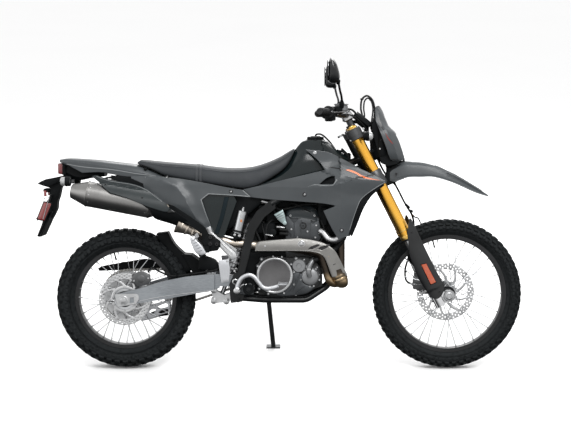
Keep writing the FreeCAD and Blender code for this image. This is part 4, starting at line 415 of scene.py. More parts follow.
def well_inside(p, outline, holes, clear):
    """Whether a point is inside an outline, outside its holes and not near an edge of either."""
    if not inside(*p, outline) or any(inside(*p, h) for h in holes):
        return False
    return all((p[0] - a) ** 2 + (p[1] - b) ** 2 > clear * clear for loop in (outline, *holes)
               for a, b in loop)


def skin(outline, depth, thick, holes=(), spacing=9.0, edge=1.5, creases=()):
    """A sheet cut to an outline seen from the side. depth(x, z) is its outer face's y; its rim is
    rounded, and its mesh has edges along each crease."""
    loops = [outline, *holes]
    points, edges, owner = [], [], []
    for k, loop in enumerate(loops):
        base = len(points)
        points.extend(loop)
        owner.extend([0.0] * len(loop))
        edges.extend([(base + i, base + (i + 1) % len(loop)) for i in range(len(loop))])
        ring = inset(loop, edge if k == 0 else -edge)
        ring = [p for p in ring if inside(*p, outline) and not any(inside(*p, h) for h in holes)]
        points.extend(ring)
        owner.extend([1.0] * len(ring))
    for line in creases:
        run = [p for p in divided(line, spacing) if well_inside(p, outline, holes, edge * 1.6)]
        base = len(points)
        points.extend(run)
        owner.extend([1.0] * len(run))
        edges.extend([(base + i, base + i + 1) for i in range(len(run) - 1)
                      if (Vector(run[i]) - Vector(run[i + 1])).length < spacing * 1.5])
    rim = list(points)
    low_x, high_x = min(p[0] for p in outline), max(p[0] for p in outline)
    low_z, high_z = min(p[1] for p in outline), max(p[1] for p in outline)
    clear = max(edge * 1.5, spacing * 0.45) ** 2
    for i in range(int((high_x - low_x) / spacing) + 1):
        for j in range(int((high_z - low_z) / (spacing * 0.87)) + 1):
            x = low_x + (i + 0.5 * (j % 2)) * spacing
            z = low_z + j * spacing * 0.87
            if inside(x, z, outline) and not any(inside(x, z, h) for h in holes):
                if all((x - a) ** 2 + (z - b) ** 2 > clear for a, b in rim):
                    points.append((x, z))
                    owner.append(1.0)
    found = geometry.delaunay_2d_cdt([Vector(p) for p in points], edges, [], 1, 1e-4)
    flat, tris, sources = found[0], found[2], found[3]
    level = [owner[s[0]] if s else 1.0 for s in sources]
    kept = []
    for t in tris:
        cx = sum(flat[i].x for i in t) / 3
        cz = sum(flat[i].y for i in t) / 3
        if inside(cx, cz, outline) and not any(inside(cx, cz, h) for h in holes):
            kept.append(tuple(t))
    count = len(flat)
    outer = [Vector((p.x, depth(p.x, p.y) - (0 if o else min(edge, thick * 0.5)), p.y))
             for p, o in zip(flat, level)]
    inner = [Vector((p.x, depth(p.x, p.y) - thick + (0 if o else min(edge, thick * 0.45) * 0.5), p.y))
             for p, o in zip(flat, level)]
    faces = list(kept) + [tuple(count + i for i in reversed(t)) for t in kept]
    seen = {}
    for t in kept:
        for a, b in zip(t, t[1:] + t[:1]):
            seen[(a, b)] = seen.get((a, b), 0) + 1
    for a, b in seen:
        if (b, a) not in seen:
            faces.append((b, a, count + a, count + b))
    return outer + inner, faces


def flat(y):
    return lambda x, z: y


def plate(outline, y_low, y_high, holes=(), edge=0.8):
    """A flat plate seen from the side, between two distances from the middle."""
    return skin(outline, flat(y_high), y_high - y_low, holes, 40.0, edge)


def table_wall(levels, places, x, z, length, height, depth):
    """The outer face's y over a table of reaches: at each level, its reach at places along X."""
    def across_line(row, t):
        for k in range(len(places) - 1):
            if t <= places[k + 1] or k == len(places) - 2:
                p0, p1, p2, p3 = row[max(k - 1, 0)], row[k], row[k + 1], row[min(k + 2, len(row) - 1)]
                u = (t - places[k]) / (places[k + 1] - places[k])
                return 0.5 * (2 * p1 + (p2 - p0) * u + (2 * p0 - 5 * p1 + 4 * p2 - p3) * u * u
                              + (3 * p1 - p0 - 3 * p2 + p3) * u ** 3)

    def depth_at(px, pz):
        t = min(max((px - x) / length, places[0]), places[-1])
        s = min(max((pz - z) / height, levels[0][0]), levels[-1][0])
        for (la, ra), (lb, rb) in zip(levels, levels[1:]):
            if s <= lb:
                u = (s - la) / (lb - la)
                u = u * u * (3 - 2 * u) * 0.5 + u * 0.5
                return depth * (across_line(ra, t) * (1 - u) + across_line(rb, t) * u)
        return depth * across_line(levels[-1][1], t)
    return depth_at


def gap_to(line, x, z):
    """How far a place is from a line, and whether it is on the line's left."""
    here = Vector((x, z))
    best, left = 1e9, True
    for a, b in zip(line, line[1:]):
        d = b - a
        t = min(1.0, max(0.0, (here - a).dot(d) / d.length_squared))
        gap = here - a - d * t
        if gap.length < best:
            best = gap.length
            left = d.x * gap.y - d.y * gap.x > 0
    return best, left


def ridged(base, line, height, near, far):
    """A wall with a style line: it stands out along the line and fades away on its two sides."""
    line = [Vector(p) for p in line]

    def depth_at(x, z):
        best, left = gap_to(line, x, z)
        fade = max(0.0, 1 - best / (near if left else far))
        return base(x, z) + height * fade * fade
    return depth_at


def fold(base, line, slope, reach):
    """A wall folded along a line: on the line's left it falls away inwards, as far as its reach."""
    line = [Vector(p) for p in line]

    def depth_at(x, z):
        best, left = gap_to(line, x, z)
        return base(x, z) - (slope * min(best, reach) if left else 0.0)
    return depth_at


def lifted(wall, by):
    return lambda x, z: wall(x, z) + by


def eased_flat(points, steps=6):
    return [(p.x, p.z) for p in eased([(x, 0, z) for x, z in points], steps)]


def piece(name, parts, body, replaced=(), angle=38.0):
    """A mesh that rides on a body and stands for CAD nodes. A part is a shape, or a list of shapes,
    and its finish."""
    mesh = bpy.data.meshes.new(name)
    marks, finishes = [], []
    shapes = [merged(*shape) if isinstance(shape, list) else shape for shape, _ in parts]
    for shape, (_, finish) in zip(shapes, parts):
        if finish not in finishes:
            finishes.append(finish)
        marks.extend([finishes.index(finish)] * len(shape[1]))
    points, faces = merged(*shapes)
    mesh.from_pydata([STANCE @ Vector(p) for p in points], [], faces)
    for finish in finishes:
        mesh.materials.append(finish)
    mesh.polygons.foreach_set("material_index", marks)
    bm = bmesh.new()
    bm.from_mesh(mesh)
    bmesh.ops.recalc_face_normals(bm, faces=bm.faces)
    bm.to_mesh(mesh)
    bm.free()
    mesh.shade_smooth()
    mesh.set_sharp_from_angle(angle=math.radians(angle))
    obj = bpy.data.objects.new(name, mesh)
    bpy.context.scene.collection.objects.link(obj)
    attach(obj, body)
    if replaced:
        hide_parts(*replaced)
    return obj


def both_sides(name, parts, nodes=((), ()), angle=38.0):
    """The same parts on the chassis's left and, mirrored, on its right."""
    piece(f"{name}_left", parts, "chassis", nodes[0], angle)
    piece(f"{name}_right", [(flipped(shape), finish) for shape, finish in parts], "chassis", nodes[1],
          angle)


# Finishes

def spoke_metal():
    """A dark cast hub whose spokes, out beyond it, are bright."""
    s = Shader("hub_and_spokes", Metallic=1.0)
    far = None
    for axle in (FRONT_AXLE, REAR_AXLE):
        x = s.axis(ALONG, axle)
        z = s.axis(UP, axle)
        reach = (x * x + z * z).math("POWER", 0.5)
        far = reach if far is None else far.math("MINIMUM", reach)
    out = far.step(36.0, 38.0)
    fine = s.noise(700.0, 2.0)
    slow = s.noise(20.0, 3.0)
    body = s.mix(slow, (0.018, 0.019, 0.02), (0.035, 0.036, 0.038))
    bright = s.mix(slow, (0.42, 0.43, 0.44), (0.62, 0.63, 0.64))
    share = s.mix(out, body, bright)
    return s.finish(share, (1.0 - out) * 0.22 + 0.2 + fine * 0.08, fine, 0.00004)


def rubber(name, dark, light, rough):
    s = Shader(name, Specular_IOR_Level=0.12)
    fine = s.noise(420.0, 3.0)
    slow = s.noise(14.0, 4.0)
    dust = s.cells(60.0)
    share = (slow * 0.6 + dust * 0.8).step(0.2, 0.8)
    return s.finish(s.mix(share, dark, light), slow * 0.2 + (rough - 0.1), fine, 0.00025)


def vinyl():
    """Seat cover: fine leather grain."""
    s = Shader("seat_vinyl", Specular_IOR_Level=0.3)
    grain = s.cells(850.0, "DISTANCE_TO_EDGE")
    pores = s.noise(500.0, 3.0)
    slow = s.noise(6.0, 4.0)
    share = (slow * 0.7 + grain * 0.9).step(0.25, 0.75)
    return s.finish(s.mix(share, (0.017, 0.0195, 0.0225), (0.031, 0.035, 0.039)), slow * 0.2 + 0.47,
                    grain * 0.7 + pores * 0.3, 0.0003)


def heat_tinted():
    """Header pipe: steel that has turned brown and straw towards the cylinder head."""
    s = Shader("heat_tinted_steel", Metallic=1.0)
    x = s.axis(ALONG, (0, 0, 0))
    bands = s.noise(26.0, 4.0)
    height = s.axis(UP, (0, 0, 0))
    forward = (x + bands * 60.0 - 30.0).step(-120.0, 60.0)
    steel = s.mix(bands, (0.42, 0.37, 0.31), (0.6, 0.54, 0.47))
    low = (height + bands * 20.0).step(470.0, 420.0)
    brown = s.mix(low, s.mix(bands, (0.035, 0.03, 0.026), (0.07, 0.055, 0.042)),
                  s.mix(bands, (0.3, 0.2, 0.11), (0.62, 0.48, 0.3)))
    tint = s.add("ShaderNodeMix", {"data_type": "RGBA"}, {0: forward, 6: steel, 7: brown}, 2)
    fine = s.noise(300.0, 3.0, (1.0, 1.0, 1.0))
    return s.finish(tint, bands * 0.2 + 0.26, fine, 0.00006)


def lens(name, dark, light, clear):
    """A lamp glass over its moulded prisms."""
    s = Shader(name, Roughness=0.08, Coat_Weight=1.0, Coat_Roughness=0.03, Transmission_Weight=clear)
    across_lens, up_lens = (s.add("ShaderNodeTexWave", {"wave_type": "BANDS", "bands_direction": way},
                                  {"Vector": s.place, "Scale": 95.0, "Distortion": 0.0}, 1) for way in "XZ")
    prisms = across_lens * up_lens
    return s.finish(s.mix(prisms, dark, light), None, prisms, 0.0004)


def striped_panel(name, dark, light, rough):
    """Satin panel finish, even, with a soft sheen and fine grain: the mould colour, and the pale grey of the
    painted highlight strips.
    """
    return moulded(name, dark, light, rough, 1100.0, 0.00007, 0.12, 0.0, 0.1)


tyre_rubber = rubber("tyre_rubber", (0.005, 0.006, 0.0065), (0.0145, 0.0165, 0.0175), 0.74)
grip_rubber = rubber("grip_rubber", (0.006, 0.0065, 0.007), (0.014, 0.0145, 0.015), 0.66)
hose_rubber = rubber("hose_rubber", (0.004, 0.0045, 0.005), (0.011, 0.0115, 0.012), 0.5)
seat_vinyl = vinyl()
seat_band = moulded("seat_edge_band", (0.026, 0.029, 0.032), (0.042, 0.045, 0.049), 0.5, 900.0, 0.0002)
thread = moulded("seat_thread", (0.012, 0.013, 0.014), (0.03, 0.03, 0.032), 0.7, 1400.0, 0.0003)
panel_grey = striped_panel("panel_grey", (0.045, 0.0505, 0.0545), (0.055, 0.061, 0.065), 0.34)
# Pale grey for thin strips along panel edges and lips: painted highlights, not a trim colour.
painted_edge_highlight = striped_panel("painted_edge_highlight", (0.16, 0.17, 0.175), (0.2, 0.21, 0.215), 0.3)
tank_green = moulded("tank_green_black", (0.0035, 0.007, 0.0078), (0.0075, 0.0125, 0.0135), 0.2, 1500.0,
                     0.00002, 0.22, 0.0, 0.05, 0.25)
black_plastic = moulded("black_plastic", (0.0035, 0.0042, 0.0046), (0.0075, 0.0085, 0.0092), 0.44, shine=0.07)
gloss_black = moulded("gloss_black", (0.0035, 0.004, 0.0045), (0.008, 0.009, 0.01), 0.24, 900.0, 0.00003,
                      0.25)
frame_black = moulded("frame_black", (0.0035, 0.004, 0.0045), (0.009, 0.01, 0.0105), 0.34, 700.0, 0.00006,
                      0.1, shine=0.2)
rim_black = moulded("rim_black", (0.005, 0.0055, 0.006), (0.014, 0.0145, 0.016), 0.26, 600.0, 0.00004, 0.2,
                    0.2)
engine_grey = moulded("engine_cast_grey", (0.036, 0.039, 0.042), (0.07, 0.075, 0.08), 0.46, 520.0, 0.00035,
                      0.0, 0.5)
case_black = moulded("engine_case_black", (0.011, 0.012, 0.012), (0.03, 0.031, 0.032), 0.45, 480.0, 0.0004,
                     0.1, 0.2)
cover_grey = moulded("clutch_cover_grey", (0.18, 0.185, 0.19), (0.26, 0.266, 0.272), 0.4, 700.0, 0.0002, 0.1,
                     0.6)
clamp_grey = moulded("clamp_grey", (0.045, 0.046, 0.048), (0.08, 0.082, 0.084), 0.38, 700.0, 0.0001, 0.1, 0.7)
brake_alloy = moulded("caliper_grey", (0.07, 0.072, 0.074), (0.13, 0.132, 0.134), 0.36, 600.0, 0.00015, 0.2,
                      0.7)
bare_aluminium = machined("bare_aluminium", (0.4, 0.405, 0.41), (0.6, 0.605, 0.61), 0.36, (0.3, 1.0, 4.0))
cast_aluminium = moulded("cast_aluminium", (0.34, 0.345, 0.35), (0.52, 0.525, 0.53), 0.42, 420.0, 0.00025,
                         0.0, 1.0)
disc_steel = machined("disc_steel", (0.42, 0.425, 0.43), (0.62, 0.625, 0.63), 0.3, (6.0, 1.0, 6.0))
chain_steel = machined("chain_steel", (0.16, 0.155, 0.145), (0.32, 0.31, 0.29), 0.38, (3.0, 1.0, 3.0))
exhaust_steel = machined("silencer_steel", (0.2, 0.197, 0.192), (0.3, 0.295, 0.288), 0.36, (1.5, 5.0, 5.0))
swingarm_alloy = machined("swingarm_alloy", (0.22, 0.235, 0.25), (0.34, 0.36, 0.38), 0.36, (0.3, 1.0, 4.0))
bolt_steel = machined("bolt_steel", (0.36, 0.365, 0.37), (0.58, 0.585, 0.59), 0.28, (3.0, 3.0, 3.0))
bolt_dark = moulded("bolt_black", (0.014, 0.014, 0.015), (0.035, 0.035, 0.037), 0.36, 600.0, 0.0001, 0.1, 0.6)
fork_gold = machined("fork_gold", (0.8, 0.38, 0.035), (0.92, 0.52, 0.08), 0.25, (5.0, 5.0, 0.4), 0.35)
fork_chrome = machined("fork_chrome", (0.6, 0.605, 0.61), (0.78, 0.785, 0.79), 0.16, (4.0, 4.0, 0.4))
spokes_bright = spoke_metal()
shield_beige = moulded("header_shield_beige", (0.15, 0.147, 0.14), (0.22, 0.216, 0.206), 0.36, 500.0, 0.0002,
                       0.1, 0.6)
header_steel = heat_tinted()
screen_dark = moulded("screen_dark", (0.004, 0.005, 0.006), (0.012, 0.013, 0.014), 0.12, 900.0, 0.00002, 1.0)
mirror_glass = machined("mirror_glass", (0.8, 0.81, 0.82), (0.86, 0.87, 0.88), 0.1, (1.0, 1.0, 1.0))
lamp_clear = lens("lamp_clear", (0.42, 0.44, 0.45), (0.75, 0.77, 0.78), 0.2)
lamp_red = lens("lamp_red", (0.1, 0.003, 0.005), (0.26, 0.012, 0.015), 0.0)
reflector_red = lens("reflector_red", (0.13, 0.004, 0.004), (0.3, 0.014, 0.01), 0.0)
reflector_orange = lens("reflector_orange", (0.34, 0.045, 0.01), (0.6, 0.11, 0.02), 0.0)
stripe_orange = moulded("stripe_orange", (0.62, 0.12, 0.02), (0.74, 0.17, 0.035), 0.34, 1200.0, 0.00003, 0.2)
stripe_black = moulded("stripe_black", (0.006, 0.006, 0.007), (0.012, 0.012, 0.013), 0.3, 1200.0, 0.00003,
                       0.2)
spring_coat = moulded("spring_coat", (0.3, 0.3, 0.31), (0.42, 0.42, 0.43), 0.3, 600.0, 0.0001, 0.3, 0.2)
reservoir_metal = machined("reservoir_metal", (0.36, 0.37, 0.38), (0.56, 0.57, 0.58), 0.3, (4.0, 4.0, 0.4))
pad_brown = moulded("brake_pad", (0.11, 0.07, 0.05), (0.2, 0.14, 0.1), 0.7, 500.0, 0.0004)

NODE_FINISHES = {
    "tyre_black": tyre_rubber, "rim_black": rim_black, "hub_black": spokes_bright, "disc_steel": disc_steel,
    "chain_steel": chain_steel, "frame_black": frame_black, "bare_aluminium": bare_aluminium,
    "engine_grey": engine_grey, "cover_grey": cover_grey, "black_plastic": black_plastic,
    "panel_grey": panel_grey, "tank_green": tank_green, "seat_cover": seat_vinyl, "lamp_red": lamp_red,
    "lamp_clear": lamp_clear, "fork_gold": fork_gold, "fork_chrome": fork_chrome, "clamp_grey": clamp_grey,
    "exhaust_steel": exhaust_steel, "shield_beige": shield_beige, "grip_rubber": grip_rubber,
    "screen_dark": screen_dark, "brake_alloy": brake_alloy,
}


def finish_nodes():
    """Give every CAD node the finish of its slot, or its own."""
    own = {"exhaust_pipe": header_steel, "swingarm": swingarm_alloy, "crankcase": case_black,
           "cylinder": engine_grey, "head_cover": case_black, "throttle_body": black_plastic,
           "rear_shock": reservoir_metal}
    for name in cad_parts:
        obj = bpy.data.objects[name]
        for used in obj.material_slots:
            base = (used.material.name if used.material else "").split(".")[0]
            used.material = own.get(name) or NODE_FINISHES.get(base) or black_plastic
        if not obj.material_slots:
            obj.data.materials.append(own.get(name, black_plastic))


# Tyres, wheels and drive

def way_at(turn):
    """A direction in the wheels' plane, turned up from straight ahead."""
    return Vector((math.cos(turn), 0, math.sin(turn)))


def ring_point(axle, y, r, turn):
    return axle + Vector((r * math.sin(turn), y, -r * math.cos(turn)))


def tyre(name, axle, od, width, bead_d, rim_width, pitches, body):
    """A carcass with rounded sidewalls, and rows of separate knobs with softened edges."""
    half, tip = width / 2, od / 2
    bead, bead_y = bead_d / 2 + 0.5, rim_width / 2 - 3.6
    depth = 13.0
    floor = tip - depth
    crown = [(half - 4, bead + (tip - bead) * 0.52), (half - 7, floor - half * 0.32),
             (half * 0.66, floor - half * 0.13), (half * 0.34, floor - half * 0.03), (0, floor)]
    outer = [(bead_y, bead), (bead_y, bead + 7.5), (bead_y + 2.5, bead + 10.5), (bead_y + 8, bead + 18)]
    outer += crown
    side = eased([(0, y, r) for y, r in outer[3:]], 4)
    left = [(y, r) for y, r in outer[:3]] + [(p.y, p.z) for p in side]
    right = [(-y, r) for y, r in reversed(left[:-1])]
    inner = [(-bead_y + 8, bead), (-half + 13, bead + 28), (-half * 0.5, floor - 12),
             (half * 0.5, floor - 12), (half - 13, bead + 28), (bead_y - 8, bead)]
    steps = pitches * 2
    carcass = lathe([(y, r) for y, r in left + right] + inner, axle, LEFT, steps)

    parts = []
    pitch = 2 * math.pi / pitches

    def knob(low, high, turn, length, lift, skew=0.0):
        """A block on the carcass between two places across it, each (side, height)."""
        (y0, r0), (y1, r1) = low, high
        normal = Vector((0, -(r1 - r0), (y1 - y0)))
        if normal.z < 0:
            normal = -normal
        normal.normalize()
        levels = ((-2.0, 1.05), (0.0, 1.04), (lift - 1.6, 0.93), (lift - 0.4, 0.9), (lift, 0.8))
        rings = []
        for h, size in levels:
            ring = []
            for a, b in ((0, -1), (0.5, -1), (1, -1), (1, 0), (1, 1), (0.5, 1), (0, 1), (0, 0)):
                across_at = 0.5 + (a - 0.5) * size
                y = y0 + (y1 - y0) * across_at + normal.y * h
                r = r0 + (r1 - r0) * across_at + normal.z * h
                t = turn + (b * size * length / 2 + skew * (a - 0.5)) / tip
                ring.append(ring_point(axle, y, r, t))
            rings.append(ring)
        parts.append(bridged(rings))

    size = pitch * tip
    for i in range(pitches):
        turn = i * pitch
        knob((-half * 0.30, floor - half * 0.02), (-2.5, floor), turn, size * 0.56, depth, -2)
        knob((2.5, floor), (half * 0.30, floor - half * 0.02), turn + pitch * 0.12, size * 0.56, depth, 2)
        for way in (-1, 1):
            mid = turn + pitch * 0.5
            knob((way * half * 0.38, floor - half * 0.05), (way * half * 0.66, floor - half * 0.14), mid,
                 size * 0.6, depth * 0.98, way * 3)
            knob((way * half * 0.72, floor - half * 0.18), (way * (half - 6.5), floor - half * 0.40), turn,
                 size * 0.62, depth * 0.86, way * 2)
            knob((way * (half - 5.2), floor - half * 0.46), (way * (half - 3.4), floor - half * 0.74), turn,
                 size * 0.5, 3.4)
            knob((way * (half - 5.5), floor - half * 0.50), (way * (half - 3.6), floor - half * 0.66), mid,
                 size * 0.34, 2.6)
    bands = [lathe([(way * (half - 3.7) - 0.9 * way, r), (way * (half - 3.7) + 1.2 * way, r + 0.7),
                    (way * (half - 3.7) - 0.9 * way, r + 1.4)], axle, LEFT, steps)
             for way in (-1, 1) for r in (bead + 22, bead + 25)]
    piece(name, [(merged(carcass, *parts), tyre_rubber), (merged(*bands), tyre_rubber)], body,
          [name.replace("knobbly_", "")])


def brake_disc(name, axle, y, r, band, carrier_r, arms, node, body, small):
    """A disc stamped from one sheet: drilled outer band, swept arms and a bolted eye ring."""
    outline = circle(r, 120)
    holes = []
    inner_r = r - band
    gap_low = carrier_r + 1
    for i in range(arms):
        a0 = 2 * math.pi * i / arms
        a1 = 2 * math.pi * (i + 1) / arms
        sweep = math.radians(24)
        trim = 6.5
        ring = []
        steps = 8
        for k in range(steps + 1):
            t = a0 + trim / gap_low + (a1 - a0 - 2 * trim / gap_low) * k / steps
            ring.append((gap_low, t))
        for k in range(1, 6):
            ring.append((gap_low + (inner_r - gap_low) * k / 6,
                         a1 - trim / (gap_low + (inner_r - gap_low) * k / 6) + sweep * k / 6))
        for k in range(steps + 1):
            t = a1 + sweep - trim / inner_r - (a1 - a0 - 2 * trim / inner_r) * k / steps
            ring.append((inner_r, t))
        for k in range(5, 0, -1):
            q = gap_low + (inner_r - gap_low) * k / 6
            ring.append((q, a0 + trim / q + sweep * k / 6))
        holes.append([(q * math.cos(t), q * math.sin(t)) for q, t in ring])
    drilled = []
    count = 30
    for i in range(count):
        for share, shift, size in ((0.24, 0.0, small), (0.5, 0.5, small), (0.76, 0.0, small)):
            t = 2 * math.pi * (i + shift) / count
            q = r - band * share
            drilled.append([(q * math.cos(t) + a, q * math.sin(t) + b) for a, b in circle(size, 10)])
    hub_hole = circle(carrier_r - 13, 40)
    sheet = skin(outline, flat(2.0), 4.0, [*holes, *drilled, hub_hole], 60.0, 0.5)
    turned_up = moved(sheet, Matrix.Translation(axle + LEFT * y))
    bolts = [bolt(axle + LEFT * (y + way * 2.0) + way_at(t) * (carrier_r - 7), LEFT * way,
                  4.6, 4.0)
             for t in turns(6, 0.5) for way in ((-1,) if y < 0 else (1,))]
    piece(name, [(turned_up, disc_steel), (merged(*bolts), bolt_steel)], body, [node])


def wheels():
    tyre("knobbly_front_tyre", FRONT_AXLE, 693.0, 88.0, FRONT_BEAD, 50.0, 60, "front_wheel")
    tyre("knobbly_rear_tyre", REAR_AXLE, 649.0, 122.0, REAR_BEAD, 64.0, 48, "rear_wheel")
    brake_disc("drilled_front_disc", FRONT_AXLE, 64.0, FRONT_DISC_R, 30.0, 44.0, 9, "front_disc",
               "front_wheel", 3.6)
    brake_disc("drilled_rear_disc", REAR_AXLE, -76.0, REAR_DISC_R, 27.0, 62.0, 8, "rear_disc", "rear_wheel",
               3.1)
    for axle, bead, name in ((FRONT_AXLE, FRONT_BEAD, "front"), (REAR_AXLE, REAR_BEAD, "rear")):
        nipples = []
        low = bead / 2 - 13.6
        for i, t in enumerate(turns(36)):
            side = 6 if i % 2 else -6
            out = way_at(t)
            at = axle + out * low + LEFT * side
            lean = (out * -1 + LEFT * (side / 46)).normalized()
            nipples.append(drum(at - lean * 1.0, at + lean * 11, 3.2, 8, 0.5, 2.5))
        out = way_at(2 * math.pi * 10.5 / 36)
        valve = merged(drum(axle + out * (low + 1), axle + out * (low - 24), 3.4, 12, 0.6),
                       drum(axle + out * (low - 24), axle + out * (low - 34), 4.2, 12, 0.8))
        piece(f"{name}_spoke_nipples", [(nipples, bolt_steel), (valve, black_plastic)], f"{name}_wheel")


def chain_rollers():
    """Where each of the chain's 106 pins sits: two straight runs and the wraps round both sprockets."""
    gap = FRONT_SPROCKET - REAR_AXLE
    distance = math.hypot(gap.x, gap.z)
    tilt = math.atan2(gap.z, gap.x)
    taper = REAR_PITCH_R - FRONT_PITCH_R
    slope = math.asin(taper / distance)
    run = math.sqrt(distance ** 2 - taper ** 2) / CHAIN_PITCH
    front_wrap = (math.pi - 2 * slope) / (2 * math.pi) * FRONT_TEETH
    top = tilt - slope + math.pi / 2
    low = tilt + slope - math.pi / 2
    found = []
    for i in range(CHAIN_LINKS):
        if i < run:
            p = REAR_AXLE + way_at(top) * REAR_PITCH_R + way_at(tilt - slope) * i * CHAIN_PITCH
        elif i < run + front_wrap:
            p = FRONT_SPROCKET + way_at(top - (i - run) * 2 * math.pi / FRONT_TEETH) * FRONT_PITCH_R
        elif i < 2 * run + front_wrap:
            back = (i - run - front_wrap) * CHAIN_PITCH
            p = FRONT_SPROCKET + way_at(low) * FRONT_PITCH_R - way_at(tilt + slope) * back
        else:
            turned = (i - 2 * run - front_wrap) * 2 * math.pi / REAR_TEETH
            p = REAR_AXLE + way_at(low - turned) * REAR_PITCH_R
        found.append(p)
    return found


def drive_chain():
    """Inner and outer links by turns, each a waisted plate on both sides, with pins and rollers."""
    pins = chain_rollers()
    plates, rollers = [], []
    for i, p in enumerate(pins):
        q = pins[(i + 1) % len(pins)]
        along = (q - p).normalized()
        up = along.cross(LEFT)
        mid = (p + q) / 2
        half = (q - p).length / 2
        r = 6.6
        contour = []
        for way in (1, -1):
            for t in (-90, -50, -10, 30, 70):
                a = math.radians(t) if way > 0 else math.radians(t + 180)
                contour.append((way * half + r * math.cos(a), r * math.sin(a)))
            contour.append((way * half * 0.3, way * r * 0.74))
            contour.append((-way * half * 0.3, way * r * 0.74))
        offset = 4.5 if i % 2 else 6.4
        for side in (1, -1):
            low, high = (offset, offset + 1.8)
            rings = [[mid + along * a * s + up * b * s + LEFT * (CHAIN_Y + side * h) for a, b in contour]
                     for h, s in ((low, 0.97), (low + 0.4, 1.0), (high - 0.4, 1.0), (high, 0.97))]
            plates.append(bridged(rings))
        rollers.append(drum(p + LEFT * (CHAIN_Y - 4.4), p + LEFT * (CHAIN_Y + 4.4), 4.6, 10))
        rollers.append(drum(p + LEFT * (CHAIN_Y - 8.8), p + LEFT * (CHAIN_Y + 8.8), 2.3, 8, 0.4))
    piece("drive_chain", [(merged(*plates), chain_steel), (merged(*rollers), bolt_steel)], "chassis",
          ["chain"])


# Seat, tank and panels

def loop_of(left, first=1):
    """A row of points from keel to crown, closed by its mirror image on the right."""
    left = [Vector(p) for p in left]
    return left + [Vector((p.x, -p.y, p.z)) for p in reversed(left[first:-1])]


def hull(stations, section, steps=4):
    """A body along X. A station is (x, half width, low, high); the section runs from its keel to
    its crown."""
    smooth = eased([(x, w, 0) for x, w, _, _ in stations], steps)
    heights = eased([(x, low, high) for x, _, low, high in stations], steps)
    rings = [loop_of([(a.x, s * a.y, b.y + t * (b.z - b.y)) for s, t in section])
             for a, b in zip(smooth, heights)]
    return bridged(rings)


def rounded(section, steps=4):
    """The same half section with its corners eased."""
    return [(p.x, p.z) for p in eased([(s, 0, t) for s, t in section], steps)]


def panel_screw(x, z, depth, r=8.0):
    """A black cup with a bright socket screw in it, on a left panel's face."""
    y = depth(x, z)
    cup = lathe([(-3, r * 0.4), (-3, r), (1.2, r), (1.8, r * 0.86), (0.6, r * 0.66), (-0.6, r * 0.4)],
                (x, y, z), LEFT, 24)
    return [(cup, bolt_dark), (bolt((x, y - 0.6, z), LEFT, r * 0.42, 1.6), bolt_steel)]


def bright_screw(x, z, depth, r=6.0):
    y = depth(x, z)
    washer = spun([(-1, r * 1.35), (0.8, r * 1.35), (1.2, r * 1.1)], (x, y, z), LEFT, 24)
    return [(washer, bolt_steel), (bolt((x, y + 1.2, z), LEFT, r * 0.8, 3.0), bolt_steel)]


SEAT_TOP = [(-687, 957), (-673, 966), (-606, 961), (-540, 955), (-413, 945), (-299, 931), (-220, 929),
            (-154, 935), (-89, 954), (-28, 981), (20, 1010), (38, 1019)]
SEAT_LOW = [(-687, 951), (-671, 946), (-632, 932), (-592, 914), (-562, 900), (-505, 887), (-408, 872),
            (-277, 851), (-198, 842), (-146, 850), (-111, 864), (-28, 916), (10, 955), (38, 1010)]
SEAT_HALF = [(-687, 62), (-660, 76), (-600, 86), (-540, 92), (-413, 103), (-299, 113), (-198, 116),
             (-111, 110), (-28, 94), (10, 80), (38, 66)]


def along_line(points, x):
    """The height of a smooth line of (x, height) at x."""
    for k in range(len(points) - 1):
        if x <= points[k + 1][0] or k == len(points) - 2:
            p0, p1 = points[max(k - 1, 0)], points[k]
            p2, p3 = points[k + 1], points[min(k + 2, len(points) - 1)]
            u = (x - p1[0]) / (p2[0] - p1[0])
            m1 = (p2[1] - p0[1]) / max(1e-6, p2[0] - p0[0]) * (p2[0] - p1[0])
            m2 = (p3[1] - p1[1]) / max(1e-6, p3[0] - p1[0]) * (p2[0] - p1[0])
            return ((2 * u ** 3 - 3 * u * u + 1) * p1[1] + (u ** 3 - 2 * u * u + u) * m1
                    + (3 * u * u - 2 * u ** 3) * p2[1] + (u ** 3 - u * u) * m2)
    return points[-1][1]


def seat_shoulder(x):
    """How far down the seat's side its edge seam runs, and how far out."""
    top, low, half = along_line(SEAT_TOP, x), along_line(SEAT_LOW, x), along_line(SEAT_HALF, x)
    drop = min(15.0, (top - low) * 0.3)
    return half * 0.84, top - drop


def seat_shape(x):
    """At x: the lower edge, half width, the seam's reach and height, the crown and the side's height."""
    low, half = along_line(SEAT_LOW, x), along_line(SEAT_HALF, x)
    out, edge = seat_shoulder(x)
    return low, half, out, edge, along_line(SEAT_TOP, x) + 2.0, edge - low


